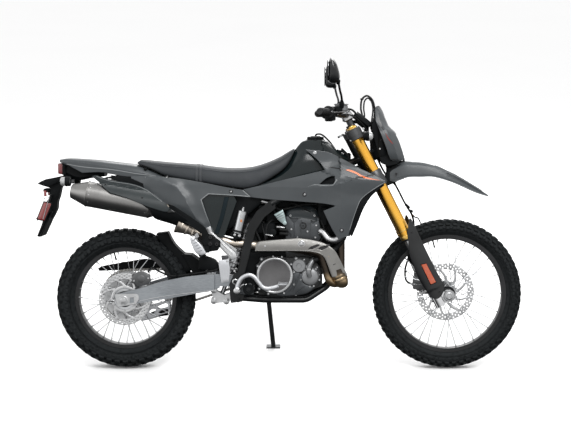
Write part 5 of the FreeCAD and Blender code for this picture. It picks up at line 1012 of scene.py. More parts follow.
def seat():
    """A foam saddle in a stretched cover: crowned top, side panels that bulge, and a tucked lower edge."""
    rings = []
    xs = [-687 + 725 * (i / 110) for i in range(111)]
    for x in xs:
        low, half, out, edge, crown, side = seat_shape(x)
        pull = 1.2 * math.sin(x * 0.09) * math.exp(-((x + 120) / 90.0) ** 2)
        left = [(0, low + side * 0.1), (half * 0.55, low + side * 0.06), (half * 0.86, low + 1.5),
                (half * 0.95, low), (half * 0.985, low + side * 0.08), (half * 1.0, low + side * 0.25),
                (half * 0.99 + pull, low + side * 0.45), (half * 0.965 + pull, low + side * 0.65),
                (half * 0.92, low + side * 0.83), (out + 2.6, edge - 1.4), (out + 0.8, edge + 0.2),
                (out - 1.0, edge + 1.6), (out * 0.93, edge + (crown - edge) * 0.42),
                (out * 0.8, edge + (crown - edge) * 0.68), (out * 0.6, edge + (crown - edge) * 0.86),
                (out * 0.32, edge + (crown - edge) * 0.97), (0, crown)]
        rings.append(loop_of([(x, y, z) for y, z in left]))
    cover = bridged(rings)
    seams, stitches, piping = [], [], []
    for way in (1, -1):
        path = [Vector((x, way * (seat_shoulder(x)[0] + 1.6), seat_shoulder(x)[1] - 0.2)) for x in xs[2:-1]]
        seams.append(swept(path, circle(1.5, 8)))
        low_path = [Vector((x, way * along_line(SEAT_HALF, x) * 0.955, along_line(SEAT_LOW, x) + 0.6))
                    for x in xs[1:-1]]
        piping.append(swept(low_path, circle(2.6, 8)))
        length = 0.0
        for a, b in zip(path, path[1:]):
            d = b - a
            if int((length + d.length) / 7) > int(length / 7):
                mid = (a + b) / 2 + Vector((0, -way * 3.6, 1.5))
                stitches.append(drum(mid - d.normalized() * 2.2, mid + d.normalized() * 2.2, 0.7, 6))
            length += d.length
    strap = []
    for x0 in (-410.0, -393.0):
        rings = []
        for x, lift in ((x0 - 6, 0.4), (x0 - 5.2, 2.4), (x0 + 5.2, 2.4), (x0 + 6, 0.4)):
            low, half, out, edge, crown, side = seat_shape(x)
            left = [(half * 0.99 + lift, low + side * 0.02), (half * 1.0 + lift, low + side * 0.25),
                    (half * 0.99 + lift, low + side * 0.45), (half * 0.965 + lift, low + side * 0.65),
                    (half * 0.92 + lift, low + side * 0.83), (out + 2.2 + lift, edge - 0.8),
                    (out - 1 + lift * 0.6, edge + 2.2 + lift * 0.6),
                    (out * 0.8, edge + (crown - edge) * 0.7 + lift),
                    (out * 0.4, edge + (crown - edge) * 0.96 + lift), (0, crown + lift)]
            rings.append(loop_of([(x, y, z) for y, z in left], 0))
        strap.append(band_from(rings))
    made = piece("seat_cushion", [(cover, seat_vinyl)], "chassis", ["seat"], 60.0)
    piece("seat_seams", [(merged(*seams), seat_band), (merged(*stitches), thread),
                         (merged(*piping), black_plastic), (merged(*strap), seat_band)], "chassis")
    base = []
    for x in (-470.0, -320.0):
        for way in (1, -1):
            base.append(drum((x, way * 70, along_line(SEAT_LOW, x) + 8),
                             (x, way * 70, along_line(SEAT_LOW, x) - 40), 9, 16, 1))
    hook = [drum((-648, 0, 926), (-648, way * 84, 926), 7.5, 20, 1) for way in (1, -1)]
    grommets = [lathe([(-4, 3), (-4, 9), (2, 9), (3, 7.5), (1, 5), (-1, 3)], (-552, way * 92, 893),
                      LEFT * way, 24) for way in (1, -1)]
    pans = hull([(-600, 70, 905, 918), (-500, 80, 882, 893), (-400, 88, 866, 878), (-280, 96, 846, 858),
                 (-190, 98, 838, 850)], [(0, 0), (0.9, 0), (1, 0.5), (0.95, 1), (0, 1)], 3)
    piece("seat_base", [(merged(pans, *base, *hook, *grommets), black_plastic)], "chassis")


def band_from(rings):
    """An open strip of rows joined side by side, closed underneath to its outer rows."""
    count = len(rings[0])
    points = [p for ring in rings for p in ring]
    faces = []
    for i in range(len(rings) - 1):
        for j in range(count - 1):
            faces.append((i * count + j, i * count + j + 1, (i + 1) * count + j + 1, (i + 1) * count + j))
    last = (len(rings) - 1) * count
    for j in range(count - 1):
        faces.append((j + 1, j, last + j, last + j + 1))
    faces.append(tuple(i * count for i in range(len(rings))))
    faces.append(tuple(i * count + count - 1 for i in reversed(range(len(rings)))))
    return points, faces


def tank():
    """A narrow tank: side wings that run back under the seat, a raised neck, and a knobbed cap."""
    section = [(0, 0), (0.9, 0), (0.985, 0.12), (1.0, 0.3), (0.985, 0.5), (0.93, 0.66), (0.74, 0.8),
               (0.56, 0.9), (0.5, 0.97), (0.44, 1.0), (0.2, 1.008), (0, 1.01)]
    stations = [(-118, 101, 846, 868), (-60, 104, 838, 900), (-22, 104, 836, 930), (8, 103, 838, 964),
                (34, 102, 842, 1004), (58, 101, 846, 1036), (80, 100, 850, 1054), (120, 98, 856, 1059),
                (160, 95, 862, 1059), (186, 92, 866, 1040), (214, 88, 870, 1010), (244, 84, 874, 986),
                (268, 78, 880, 970)]
    body = hull(stations, section, 4)
    cap_x, cap_z = 135.0, 1060.0
    neck = spun([(-8, 46), (-1, 45), (1.5, 42)], (cap_x, 0, cap_z), UP, 48)
    rim_points = []
    for t in turns(96):
        r = 36.5 + 2.2 * math.tanh(3 * math.cos(8 * t))
        rim_points.append((r * math.cos(t), r * math.sin(t)))
    levels = [(1.5, 0.95), (3.0, 1.0), (11.0, 1.0), (14.0, 0.94), (15.0, 0.84)]
    knobs = bridged([[Vector((cap_x + a * s, b * s, cap_z + h)) for a, b in rim_points] for h, s in levels])
    top = spun([(13, 24), (17, 22), (18, 19)], (cap_x, 0, cap_z), UP, 40)
    vent = hose([(cap_x, 0, cap_z + 17), (cap_x + 6, 0, cap_z + 26), (cap_x + 30, 4, cap_z + 24),
                 (cap_x + 62, 4, cap_z - 4), (cap_x + 92, 2, cap_z - 44), (cap_x + 104, 0, cap_z - 70)], 4.0)
    flange = [bolt((cap_x + 43 * math.cos(t), 43 * math.sin(t), cap_z + 1), UP, 2.6, 2.4)
              for t in turns(6, 0.5)]
    piece("tank_shell", [(body, tank_green), ([neck, knobs, top], black_plastic),
                         (merged(*flange), bolt_dark), (vent, hose_rubber)], "chassis",
          ["fuel_tank"], 30.0)


SHROUD_LEVELS = [(-0.05, (0.66, 0.74, 0.84, 0.86, 0.88)), (0.4, (0.66, 0.78, 0.92, 0.98, 1.0)),
                 (0.66, (0.65, 0.8, 0.95, 1.0, 1.0)), (0.86, (0.56, 0.7, 0.86, 0.94, 0.96)),
                 (1.05, (0.4, 0.52, 0.66, 0.78, 0.84))]
COVER_LEVELS = [(-0.05, (0.8, 0.86, 0.88, 0.86, 0.84)), (0.5, (0.9, 0.98, 1.0, 0.98, 0.92)),
                (0.85, (0.84, 0.92, 0.94, 0.92, 0.88)), (1.05, (0.76, 0.84, 0.86, 0.86, 0.84))]


def shrouds():
    """Folded radiator shrouds with a louvre window, a stripe, and painted highlights: a lighter grey on the
    blade's upward facet and pale strips along the front edge and the window's sill.
    """
    base = table_wall(SHROUD_LEVELS, (-0.05, 0.33, 0.6, 0.82, 1.05), -198, 607, 650, 409, 196)
    waist = [(-198, 833), (-100, 845), (0, 846), (80, 843), (150, 846), (218, 862)]
    blade = [(98, 1000), (150, 962), (186, 926), (240, 906), (330, 884), (452, 873)]
    lower_blade = [(452, 866), (300, 872), (246, 890)]
    keel = [(246, 890), (250, 800), (244, 700), (238, 612)]
    wall = fold(base, waist, 0.16, 60)
    wall = fold(wall, lower_blade, 0.10, 60)
    wall = fold(wall, blade, 0.22, 45)
    wall = fold(wall, keel[::-1], 0.3, 60)
    outline = trail([(-198, 835, 1), (-90, 859), (18, 886), (110, 908), (177, 924, 1), (145, 968),
                     (90, 1016, 1), (152, 1011), (199, 1002), (272, 967), (336, 932), (412, 897),
                     (452, 876, 1), (412, 851), (368, 821), (339, 792), (323, 754), (304, 698), (298, 677),
                     (284, 626, 1), (240, 607, 1), (211, 652), (177, 721), (170, 738, 1), (223, 760, 1),
                     (217, 764, 1), (154, 773), (53, 780), (-73, 788), (-162, 798, 1)])
    window = trail([(152, 859, 1), (180, 884), (207, 897, 1), (221, 897, 1), (222, 874, 1), (214, 861, 1)])
    shape = skin(outline, wall, 3.5, [window], 9.0, 1.6, [waist, blade, keel, lower_blade])
    black_line = skin(trail([(176, 940, 1), (210, 933), (262, 924), (318, 903), (352, 886), (400, 878),
                             (440, 876, 1), (400, 881), (352, 890), (318, 908), (262, 929), (210, 938)]),
                      lifted(wall, 0.7), 0.6, (), 12, 0.2)
    orange = skin(trail([(270, 925, 1), (312, 910), (345, 892), (378, 884), (430, 878, 1), (380, 889),
                         (348, 899), (316, 917), (285, 927)]), lifted(wall, 0.8), 0.6, (), 12, 0.2)
    # The facet, the front edge strip and the sill are painted highlights in lighter greys.
    facet = skin(trail([(250, 948, 1), (275, 945, 1), (330, 922, 1), (405, 893, 1), (340, 905, 1),
                        (290, 926, 1)]), lifted(wall, 0.5), 0.5, (), 12, 0.2)
    front_edge_highlight = skin(trail([(447, 872, 1), (408, 849), (365, 819), (336, 790), (320, 753), (301, 697),
                             (288, 652, 1), (291, 652, 1), (304, 697), (323, 753), (339, 789), (368, 817),
                             (411, 846), (451, 871, 1)]), lifted(wall, 0.5), 0.6, (), 14, 0.2)
    sill_highlight = skin(trail([(92, 846, 1), (130, 855), (175, 851), (214, 853, 1), (234, 880, 1), (228, 884, 1),
                       (211, 858), (175, 856), (130, 860, 1)]), lifted(wall, 1.2), 1.8, (), 10, 0.7)
    backing = skin(trail([(120, 850, 1), (150, 900, 1), (240, 915, 1), (240, 850, 1)]), lifted(wall, -20),
                   3.0)
    inner_edge = skin(trail([(284, 640, 1), (300, 700), (318, 758), (342, 800), (380, 832), (440, 868, 1),
                             (446, 856, 1), (396, 816), (370, 782), (348, 742), (326, 684), (300, 620, 1)]),
                      lifted(base, -8), 3.0, (), 10, 1.0)
    extra = [(black_line, stripe_black), (orange, stripe_orange), (facet, facet_highlight_grey),
             (front_edge_highlight, painted_edge_highlight), (sill_highlight, painted_edge_highlight), (backing, black_plastic),
             (inner_edge, black_plastic)]
    extra += panel_screw(85, 813, wall, 10.0)
    extra += bright_screw(131, 1000, wall, 6.5)
    extra += panel_screw(253, 651, wall, 9.5)
    both_sides("shroud_panel", [(shape, panel_grey), *extra],
               (["shroud_left"], ["shroud_right"]), 9.0)


def side_covers():
    """Side covers with a long S-shaped swell, and a pale strip round the airbox opening's lip that is a
    painted highlight.
    """
    base = table_wall(COVER_LEVELS, (-0.05, 0.25, 0.5, 0.75, 1.05), -712, 633, 550, 260, 140)
    swell = [(-628, 890), (-560, 876), (-500, 846), (-462, 800), (-436, 742), (-408, 700), (-380, 676)]
    wall = ridged(base, swell, 13.0, 46, 110)
    outline = trail([(-712, 893, 1), (-636, 895), (-528, 889), (-406, 871), (-275, 845), (-197, 832, 1),
                     (-162, 799, 1), (-250, 806), (-354, 812, 1), (-385, 788, 1), (-360, 712), (-332, 640),
                     (-330, 628, 1), (-367, 655), (-450, 706), (-537, 757), (-630, 818), (-712, 871, 1)])
    # A pale strip round the airbox opening's lip: a painted highlight.
    lip_highlight = skin(trail([(-165, 800, 1), (-250, 807), (-354, 813, 1), (-386, 788, 1), (-361, 711),
                      (-331, 634, 1), (-334, 646, 1), (-365, 712), (-391, 789, 1), (-356, 817, 1),
                      (-250, 811), (-168, 804, 1)]), lifted(wall, 0.8), 2.6, (), 12, 0.8)
    extra = [(lip_highlight, painted_edge_highlight)]
    extra += panel_screw(-252, 825, wall, 9.0)
    extra += panel_screw(-546, 889, wall, 9.0)
    # A pale split line: a painted highlight.
    split = skin(trail([(-200, 829, 1), (-166, 800, 1), (-163, 802, 1), (-196, 832, 1)]), lifted(wall, 0.9),
                 1.0, (), 10, 0.3)
    extra.append((split, painted_edge_highlight))
    shape = skin(outline, wall, 3.5, (), 8.0, 1.6)
    both_sides("side_cover_panel", [(shape, panel_grey), *extra],
               (["side_cover_left"], ["side_cover_right"]), 24.0)


def airbox_details():
    """The airbox's flat face, and a moulded column beside the shock's reservoir."""
    plate_shape = skin(trail([(-392, 790, 1), (-356, 811, 1), (-240, 806, 1), (-226, 780, 1), (-286, 612, 1),
                              (-336, 622, 1)]), flat(119), 3.0, (), 12, 1.2)
    column = skin(trail([(-282, 800, 1), (-262, 800, 1), (-286, 700, 1), (-310, 628, 1), (-328, 634, 1),
                         (-300, 720, 1)]), flat(124), 5.0, (), 12, 1.8)
    both_sides("airbox_face", [(plate_shape, tank_green), (column, airbox_blue)])


def tail():
    """The tail: a lofted duck tail in grey, with grab flanks carrying a pale painted highlight line, open
    beneath.
    """
    section = rounded([(0, 0.35), (0.5, 0.2), (0.9, 0.0), (1.0, 0.12), (0.96, 0.5), (0.82, 0.85), (0.5, 0.98),
                       (0, 1.0)], 3)
    stations = [(-1047, 50, 958, 970), (-1008, 62, 942, 975), (-938, 76, 915, 972), (-867, 86, 912, 967),
                (-780, 90, 900, 957), (-692, 90, 890, 946), (-620, 88, 888, 920), (-557, 84, 884, 892)]
    crown = hull(stations, section, 5)
    flank = trail([(-1036, 962, 1), (-938, 909, 1), (-839, 911), (-737, 892), (-557, 886, 1), (-600, 897),
                   (-692, 914), (-800, 936), (-940, 958)])

    def wall(x, z):
        return 88 + 4 * math.sin((x + 1036) / 160.0)

    side = skin(flank, wall, 6.0, (), 12, 2.0)
    # A pale line along the grab flanks: a painted highlight.
    line = skin(trail([(-1010, 948, 1), (-930, 934), (-800, 922), (-690, 904), (-600, 893, 1), (-600, 896, 1),
                       (-690, 908), (-800, 926), (-930, 938), (-1006, 951, 1)]), lifted(wall, 1.0), 1.4, (),
                14, 0.5)
    under = hull([(-1025, 40, 900, 945), (-964, 55, 874, 925), (-900, 60, 884, 922), (-840, 62, 892, 915)],
                 [(0, 0), (0.8, 0), (1, 0.3), (0.9, 1), (0, 1)], 4)
    piece("tail_cowl", [(crown, panel_grey), (paired(side), panel_grey), (paired(line), painted_edge_highlight)],
          "chassis", ["tail"], 24.0)
    piece("tail_undertray", [(under, black_plastic)], "chassis")


def front_fender():
    """The high front mudguard: a folded crown, ribs towards its tip and a pale painted highlight along its
    lower lip.
    """
    top = [(478, 932), (511, 948), (541, 961), (590, 959), (634, 955), (695, 939), (740, 919), (788, 896),
           (881, 841), (936, 806)]
    lip_line = [(478, 872), (498, 868), (522, 874), (560, 888), (620, 890), (677, 890), (757, 868),
                (813, 846), (881, 815), (930, 800), (936, 800)]
    half_line = [(478, 56), (541, 66), (640, 68), (757, 66), (860, 56), (920, 40), (936, 26)]
    rings = []
    for i in range(81):
        x = 478 + 458 * i / 80
        high, low, half = along_line(top, x), along_line(lip_line, x), along_line(half_line, x)
        high = max(high, low + 3)
        h = high - low
        wall_in = 3.0
        left = [(half, low), (half * 1.01, low + h * 0.16), (half * 0.97, low + h * 0.2),
                (half * 0.93, low + h * 0.5), (half * 0.86, low + h * 0.78), (half * 0.66, high - h * 0.03),
                (half * 0.3, high), (0, high + 0.5)]
        inner = [(max(0.1, y - wall_in), min(z, high - wall_in)) for y, z in left]
        inner[-1] = (0, high - wall_in)
        outside, lining = (loop_of([(x, y, z) for y, z in row], 0) for row in (left, inner))
        rings.append(outside + lining[::-1])
    guard = bridged(rings)
    ribs = []
    for y in (-22, -11, 0, 11, 22):
        path = [Vector((x, y * along_line(half_line, x) / 60, along_line(top, x) + 0.9))
                for x in range(690, 915, 12)]
        ribs.append(swept(path, circle(1.5, 6)))
    for way in (1, -1):
        for share in (0.3, 0.45, 0.6):
            path = []
            for x in range(740, 915, 12):
                high, low, half = along_line(top, x), along_line(lip_line, x), along_line(half_line, x)
                path.append(Vector((x, way * half * (0.955 - 0.1 * share),
                                    low + (high - low) * (0.2 + share))))
            ribs.append(swept(path, circle(1.2, 6)))
    # Pale beads along the lower lip: painted highlights.
    lip_highlights = [swept([Vector((x, way * (along_line(half_line, x) + 0.4), along_line(lip_line, x) + 1.4))
                   for x in range(500, 930, 10)], circle(1.8, 6)) for way in (1, -1)]
    bracket = skin(trail([(452, 842, 1), (462, 905, 1), (490, 940, 1), (540, 950, 1), (540, 884, 1),
                          (500, 862, 1)]), flat(50), 4.0, (), 14, 1.0)
    block = box((488, 0, 915), (46, 92, 44), 5)
    bolts = [bolt((506, way * 68, 905), LEFT * way, 5, 3) for way in (1, -1)]
    piece("front_mudguard", [(guard, panel_grey), (merged(*ribs), panel_grey), (merged(*lip_highlights), painted_edge_highlight),
                             (merged(paired(bracket), block), black_plastic), (merged(*bolts), bolt_dark)],
          "steering", ["front_fender"], 20.0)


MASK_REAR = [(948, 511), (972, 480), (1030, 456), (1096, 430), (1149, 410), (1202, 408), (1217, 419)]
MASK_NOSE = [(948, 516), (963, 545), (972, 544), (1030, 527), (1093, 498), (1127, 465), (1193, 439),
             (1217, 424)]


def mask():
    """The headlamp mask: two swept flanks that meet a narrow nose, with a slot, a fold and a lamp below."""
    half_line = [(948, 44), (972, 86), (1030, 106), (1093, 104), (1127, 90), (1160, 78), (1200, 64),
                 (1217, 52)]

    def side_depth(x, z):
        rear, nose = along_line(MASK_REAR, z), along_line(MASK_NOSE, z)
        half = along_line(half_line, z)
        t = min(1.0, max(0.0, (x - rear) / max(8.0, nose - rear)))
        return half * (1 - 0.12 * t - 0.34 * max(0.0, t - 0.55) / 0.45)

    fold_line = [(414, 1150), (452, 1090), (486, 1030), (508, 985), (527, 950)]
    wall = fold(side_depth, fold_line, -0.12, 40)
    outline = trail([(421, 1217, 1), (408, 1202, 1), (410, 1149, 1), (430, 1096), (456, 1030), (462, 1012, 1),
                     (466, 998, 1), (478, 972, 1), (511, 948, 1), (520, 961, 1), (545, 972, 1), (527, 1030),
                     (498, 1093, 1), (465, 1127, 1), (439, 1193, 1)])
    shape = skin(outline, wall, 3.0, (), 7.0, 1.2, [fold_line])
    slot = skin(trail([(417, 1173, 1), (420, 1152), (434, 1122), (452, 1094, 1), (449, 1104), (432, 1146)]),
                lifted(wall, 0.8), 1.4, (), 8, 0.4)
    slot_low = skin(trail([(417, 1140, 1), (424, 1120), (442, 1098, 1), (436, 1104), (424, 1128)]),
                    lifted(wall, 2.0), 2.4, (), 4, 0.4)
    flash = skin(trail([(452, 1096, 1), (466, 1073), (490, 1042, 1), (483, 1046), (464, 1068)]),
                 lifted(wall, 1.4), 1.4, (), 4, 0.3)
    flanks = paired(shape)

    def nose_band(heights, bulge, thick, reach, spots=(-1, -0.8, -0.5, -0.2, 0, 0.2, 0.5, 0.8, 1)):
        """A curved strip across the nose; reach gives its half width at a height."""
        rings = []
        for z in heights:
            nose = along_line(MASK_NOSE, z)
            ring = [Vector((nose + bulge * (1 - (s * s)), s * reach(nose, z), z)) for s in spots]
            rings.append(ring + [Vector((p.x - thick, p.y * 0.97, p.z)) for p in reversed(ring)])
        return bridged(rings)

    brow = nose_band((1217, 1205, 1193, 1160, 1127, 1110), 8, 3.5, lambda x, z: side_depth(x, z) if z < 1210
                     else 40)
    lid = nose_band((1110, 1100, 1093, 1085), 9, 3.5, side_depth)
    chin = nose_band((990, 980, 972, 963, 955), 6, 3.5,
                     lambda x, z: side_depth(x, z) * (1 if z > 960 else 0.9))
    glass = nose_band((1083, 1060, 1035, 1010, 992), 5, 6, lambda x, z: side_depth(x, z) * 0.9,
                      (-1, -0.75, -0.4, 0, 0.4, 0.75, 1))
    cheeks = []
    for way in (1, -1):
        rows = []
        for z in (1086, 1060, 1035, 1010, 990):
            nose = along_line(MASK_NOSE, z)
            half = side_depth(nose, z)
            ring = [Vector((nose + 1.5, way * half * 0.88, z)), Vector((nose + 1.5, way * half, z)),
                    Vector((nose - 3.0, way * half, z)), Vector((nose - 3.0, way * half * 0.88, z))]
            rows.append(ring)
        cheeks.append(bridged(rows))
    piece("mask_shell", [(flanks, panel_grey), ([brow, lid, chin, *cheeks], panel_grey),
                         (paired(slot), stripe_black), (paired(slot_low), stripe_black),
                         (paired(flash), stripe_red)], "steering", ["headlight_mask"], 14.0)
    piece("headlamp_glass", [(glass, lamp_clear)], "steering", ["headlamp_lens"])
    frame_side = trail([(392, 1132, 1), (404, 1150), (408, 1180, 1), (424, 1180, 1), (470, 1040, 1),
                        (500, 985, 1), (512, 950, 1), (468, 940, 1), (438, 958), (420, 1010), (398, 1090)])
    bracket = paired(skin(frame_side, flat(72), 6.0, (), 14, 1.6))
    core = skin(inset(frame_side, 8), flat(60), 120.0, (), 20, 2.0)
    stays = [hose([(402, way * 66, 1010), (384, way * 84, 1000), (372, way * 98, 990)], 6.0)
             for way in (1, -1)]
    knuckles = [bolt((430 + 8 * k, way * 76, 1020 + 40 * k), LEFT * way, 4.5, 3) for k in range(3)
                for way in (1, -1)]
    piece("lamp_bracket", [(merged(bracket, core, *stays), black_plastic), (merged(*knuckles), bolt_steel)],
          "steering", ["headlamp"])


# A lighter copy of the panel grey for the shroud's upward facet: a painted highlight.
facet_highlight_grey = moulded("facet_painted_highlight", (0.055, 0.059, 0.063), (0.075, 0.08, 0.085), 0.42, 1100.0,
                             0.00005)
stripe_red = moulded("stripe_red", (0.2, 0.022, 0.014), (0.3, 0.04, 0.025), 0.4, 1200.0, 0.00003, 0.1)
airbox_blue = moulded("airbox_column", (0.006, 0.011, 0.014), (0.011, 0.018, 0.022), 0.4, 900.0, 0.00005, 0.0,
                      shine=0.1)


# The engine, its pipes and the frame's fittings

def right_plate(outline, near, far, edge=1.0, holes=(), step=6.0):
    """A flat plate on the right side between two distances from the middle plane."""
    return plate(trail(outline, step), -far, -near, [trail(h, step) for h in holes], edge)


def ring_of(count, centre, axis, r, make, turn=0.0):
    """Copies of a shape round a circle."""
    a, b = across(axis)
    found = []
    for i in range(count):
        t = turn + 2 * math.pi * i / count
        found.append(make(Vector(centre) + a * (r * math.cos(t)) + b * (r * math.sin(t))))
    return merged(*found)


def engine():
    """Covers, caps, bolts and ribs on the crankcase and the head."""
    out = -LEFT
    face = -104.0
    clutch = Vector((-53, face, 437))
    rim = lathe([(-6, 74), (-6, 84.5), (-1.5, 84.5), (1.2, 82.5), (2.4, 79), (1.6, 75), (0.2, 73)], clutch,
                out, 96)
    dish = spun([(-2.4, 72), (0.4, 74), (0.4, 73.4), (-0.8, 71)], clutch, out, 96)
    around = [(-130, 480), (-113, 512), (23, 489), (36, 452), (36, 396), (-10, 356), (-82, 353), (-124, 376)]
    cover_bolts = [bolt((x, -96, z), out, 4.6, 5.0) for x, z in around]
    bosses = [spun([(-26, 10), (0, 9), (1, 8)], (x, -96, z), out, 20) for x, z in around]
    dials = []
    filter_at = Vector((59, -100, 482))
    dials.append(lathe([(-40, 33), (-8, 33), (-3, 31.5), (0, 28), (0.8, 12), (-1.2, 10), (-1.2, 0.01)],
                       filter_at, out, 48))
    ears = ring_of(3, filter_at - out * 4, out, 36, lambda p: spun([(-26, 9), (0, 8), (1, 7)],
                                                                      p, out, 18), 0.9)
    ear_bolts = ring_of(3, filter_at - out * 3, out, 36, lambda p: bolt(p, out, 4.2, 5), 0.9)
    pump_at = Vector((110, -99, 431))
    dials.append(lathe([(-36, 43), (-10, 42), (-6, 39), (-1, 36), (1, 31), (4, 22), (4.6, 0.01)], pump_at,
                       out, 48))
    spout = hose([(107, -106, 434), (104, -112, 452), (106, -112, 476), (116, -106, 498), (128, -96, 512)],
                 11.5, 18)
    spout_band = [lathe([(-4, 11), (-4, 13.6), (4, 13.6), (4, 11)], (105.4, -112, 468), UP, 28)]
    pump_bolts = ring_of(5, pump_at - out * 6, out, 45, lambda p: bolt(p, out, 4.0, 5), 0.3)
    pump_ears = ring_of(5, pump_at - out * 8, out, 45, lambda p: drum(p - out * 22, p, 8.0, 16, 1.0), 0.3)
    face_plate = right_plate([(-112, 512), (-60, 527), (10, 518), (38, 520), (92, 522), (128, 506),
                              (158, 470), (160, 420), (140, 384), (96, 352), (40, 342), (-60, 340),
                              (-112, 356), (-136, 400), (-136, 470)], 60, 84, 4.0, (), 12)
    lower_cover = right_plate([(-4, 520), (30, 452), (48, 452), (80, 436), (76, 404), (112, 386), (128, 382),
                               (96, 356), (40, 346), (-40, 345), (-20, 370), (20, 410), (10, 480)], 82, 96,
                              3.0, (), 10)
    ribs = [swept([Vector((x, -97, z)) for x, z in eased_flat([(63, 447), (48, 410), (28, 366)])],
                  circle(3.2, 8)), swept([Vector((x, -97, z))
                                          for x, z in eased_flat([(44, 420), (34, 390), (10, 362)])],
                                         circle(2.4, 8)),
            swept([Vector((x, -97, z)) for x, z in eased_flat([(84, 388), (60, 372), (40, 352)])],
                  circle(2.6, 8))]
    case_bolts = [bolt((x, -84, z), out, 4.2, 6)
                  for x, z in ((83, 510), (142, 474), (150, 440), (76, 354), (127, 388), (45, 347),
                               (-60, 524), (-20, 522), (106, 366))]
    piece("clutch_cover_face", [(merged(rim), bare_aluminium), (dish, cover_dark),
                                (merged(*dials, ears), cover_grey),
                                (merged(*cover_bolts, ear_bolts, pump_bolts, *case_bolts), bolt_steel),
                                (merged(*bosses, pump_ears, *ribs), engine_grey), (spout, cover_grey),
                                (merged(*spout_band), bolt_steel), (lower_cover, engine_grey),
                                (face_plate, case_black)], "chassis", (), 34.0)

    head = right_plate([(-3, 659), (1, 706), (15, 701), (28, 684), (37, 679), (48, 686), (59, 697),
                        (107, 692), (120, 675), (138, 684), (152, 681), (152, 598), (32, 598), (23, 624)], 70,
                       80, 2.0, (), 8)
    head_ribs = [swept([Vector((37, -80, 684)), Vector((36, -80, 645)), Vector((37, -80, 602))],
                       circle(2.2, 8)), swept([Vector((70, -80, 692)), Vector((66, -80, 645)),
                                               Vector((70, -80, 602))], circle(2.2, 8)),
                 swept([Vector((112, -79, 682)), Vector((112, -79, 600))], circle(1.8, 8))]
    plug = spun([(-6, 16), (0, 16), (1.5, 14.5), (1.5, 10), (-1.5, 9), (-1.5, 4.5), (1.8, 4.2)],
                 (78, -80, 666), out, 32)
    head_bolts = [bolt((x, -80, z), out, 4.6, 5)
                  for x, z in ((24, 650), (52, 612), (134, 612), (138, 668), (98, 640))]
    cover = []
    section = [(0, 0), (0.94, 0), (1.0, 0.1), (0.98, 0.5), (0.8, 0.86), (0.45, 1.0), (0, 1.02)]
    cover.append(hull([(1, 66, 702, 742), (18, 72, 700, 756), (60, 74, 698, 764), (110, 74, 690, 764),
                       (140, 70, 684, 750), (154, 62, 684, 720)], rounded(section, 3), 4))
    cover_screws = [bolt((x, 68 * way, 712), LEFT * way, 5, 5) for x in (20, 75, 130) for way in (1, -1)]
    joint = [box((74, 0, z), (158, 146, 2.4), 0.6) for z in (704, 640, 598)]
    piece("head_casting", [(paired(flipped(head)), engine_grey),
                           (paired(flipped(merged(*head_ribs))), engine_grey), (merged(plug), gloss_black),
                           (merged(*head_bolts), bolt_steel)], "chassis", (), 34.0)
    piece("rocker_cover", [(merged(*cover), cover_blue), (merged(*cover_screws), bolt_steel),
                           (merged(*joint), bolt_dark)], "chassis", ["head_cover"], 34.0)

    boot = hose([(-250, 10, 700), (-200, 8, 690), (-150, 4, 668), (-110, 0, 655)], 37, 28)
    clips = [lathe([(-5, 38), (-5, 40.5), (5, 40.5), (5, 38)], p, axis, 36)
             for p, axis in ((Vector((-116, 0, 657)), Vector((1, 0, -0.35))),
                             (Vector((-236, 9, 698)), Vector((1, 0, -0.2))))]
    body = drum((-108, 0, 655), (-30, 0, 650), 40, 40, 3)
    side_box = box((-80, -50, 648), (54, 40, 62), 5)
    motor = drum((-62, -46, 634), (-62, -78, 634), 17, 28, 2)
    sensor = right_plate([(-132, 676), (-87, 676), (-80, 664), (-87, 634), (-132, 634), (-138, 660)], 44, 66,
                         2.5, (), 8)
    rail = hose([(-30, -30, 676), (-60, -52, 690), (-84, -64, 674), (-94, -70, 640), (-90, -66, 606)], 5.5,
                10)
    pegs = [drum((-30, -72, z), (8, -76, z - 4), 7.5, 18, 1) for z in (648, 630)]
    silver = [drum((-44, -70, 660), (-6, -74, 656), 6.5, 18, 1),
              drum((-100, -70, 626), (-62, -78, 618), 4, 14, 0.6)]
    bracket = merged(turned_plate([(-56, 718), (-16, 740), (-6, 712), (0, 680), (-12, 672), (-34, 690)], -88,
                                  -84), drum((-6, -82, 678), (-6, -96, 678), 9, 20, 1.2))
    grooves = [swept([Vector((-48 + 4 * k, -89, 708 - 7 * k)), Vector((-14 + 3 * k, -89, 730 - 11 * k))],
                     circle(1.7, 6)) for k in range(3)]
    piece("intake_body", [(boot, hose_rubber), (merged(body, side_box, motor, sensor), black_plastic),
                          (merged(*clips, *silver), bolt_steel), (merged(rail, *pegs), hose_rubber),
                          (bracket, bracket_green), (merged(*grooves), bolt_steel)], "chassis")

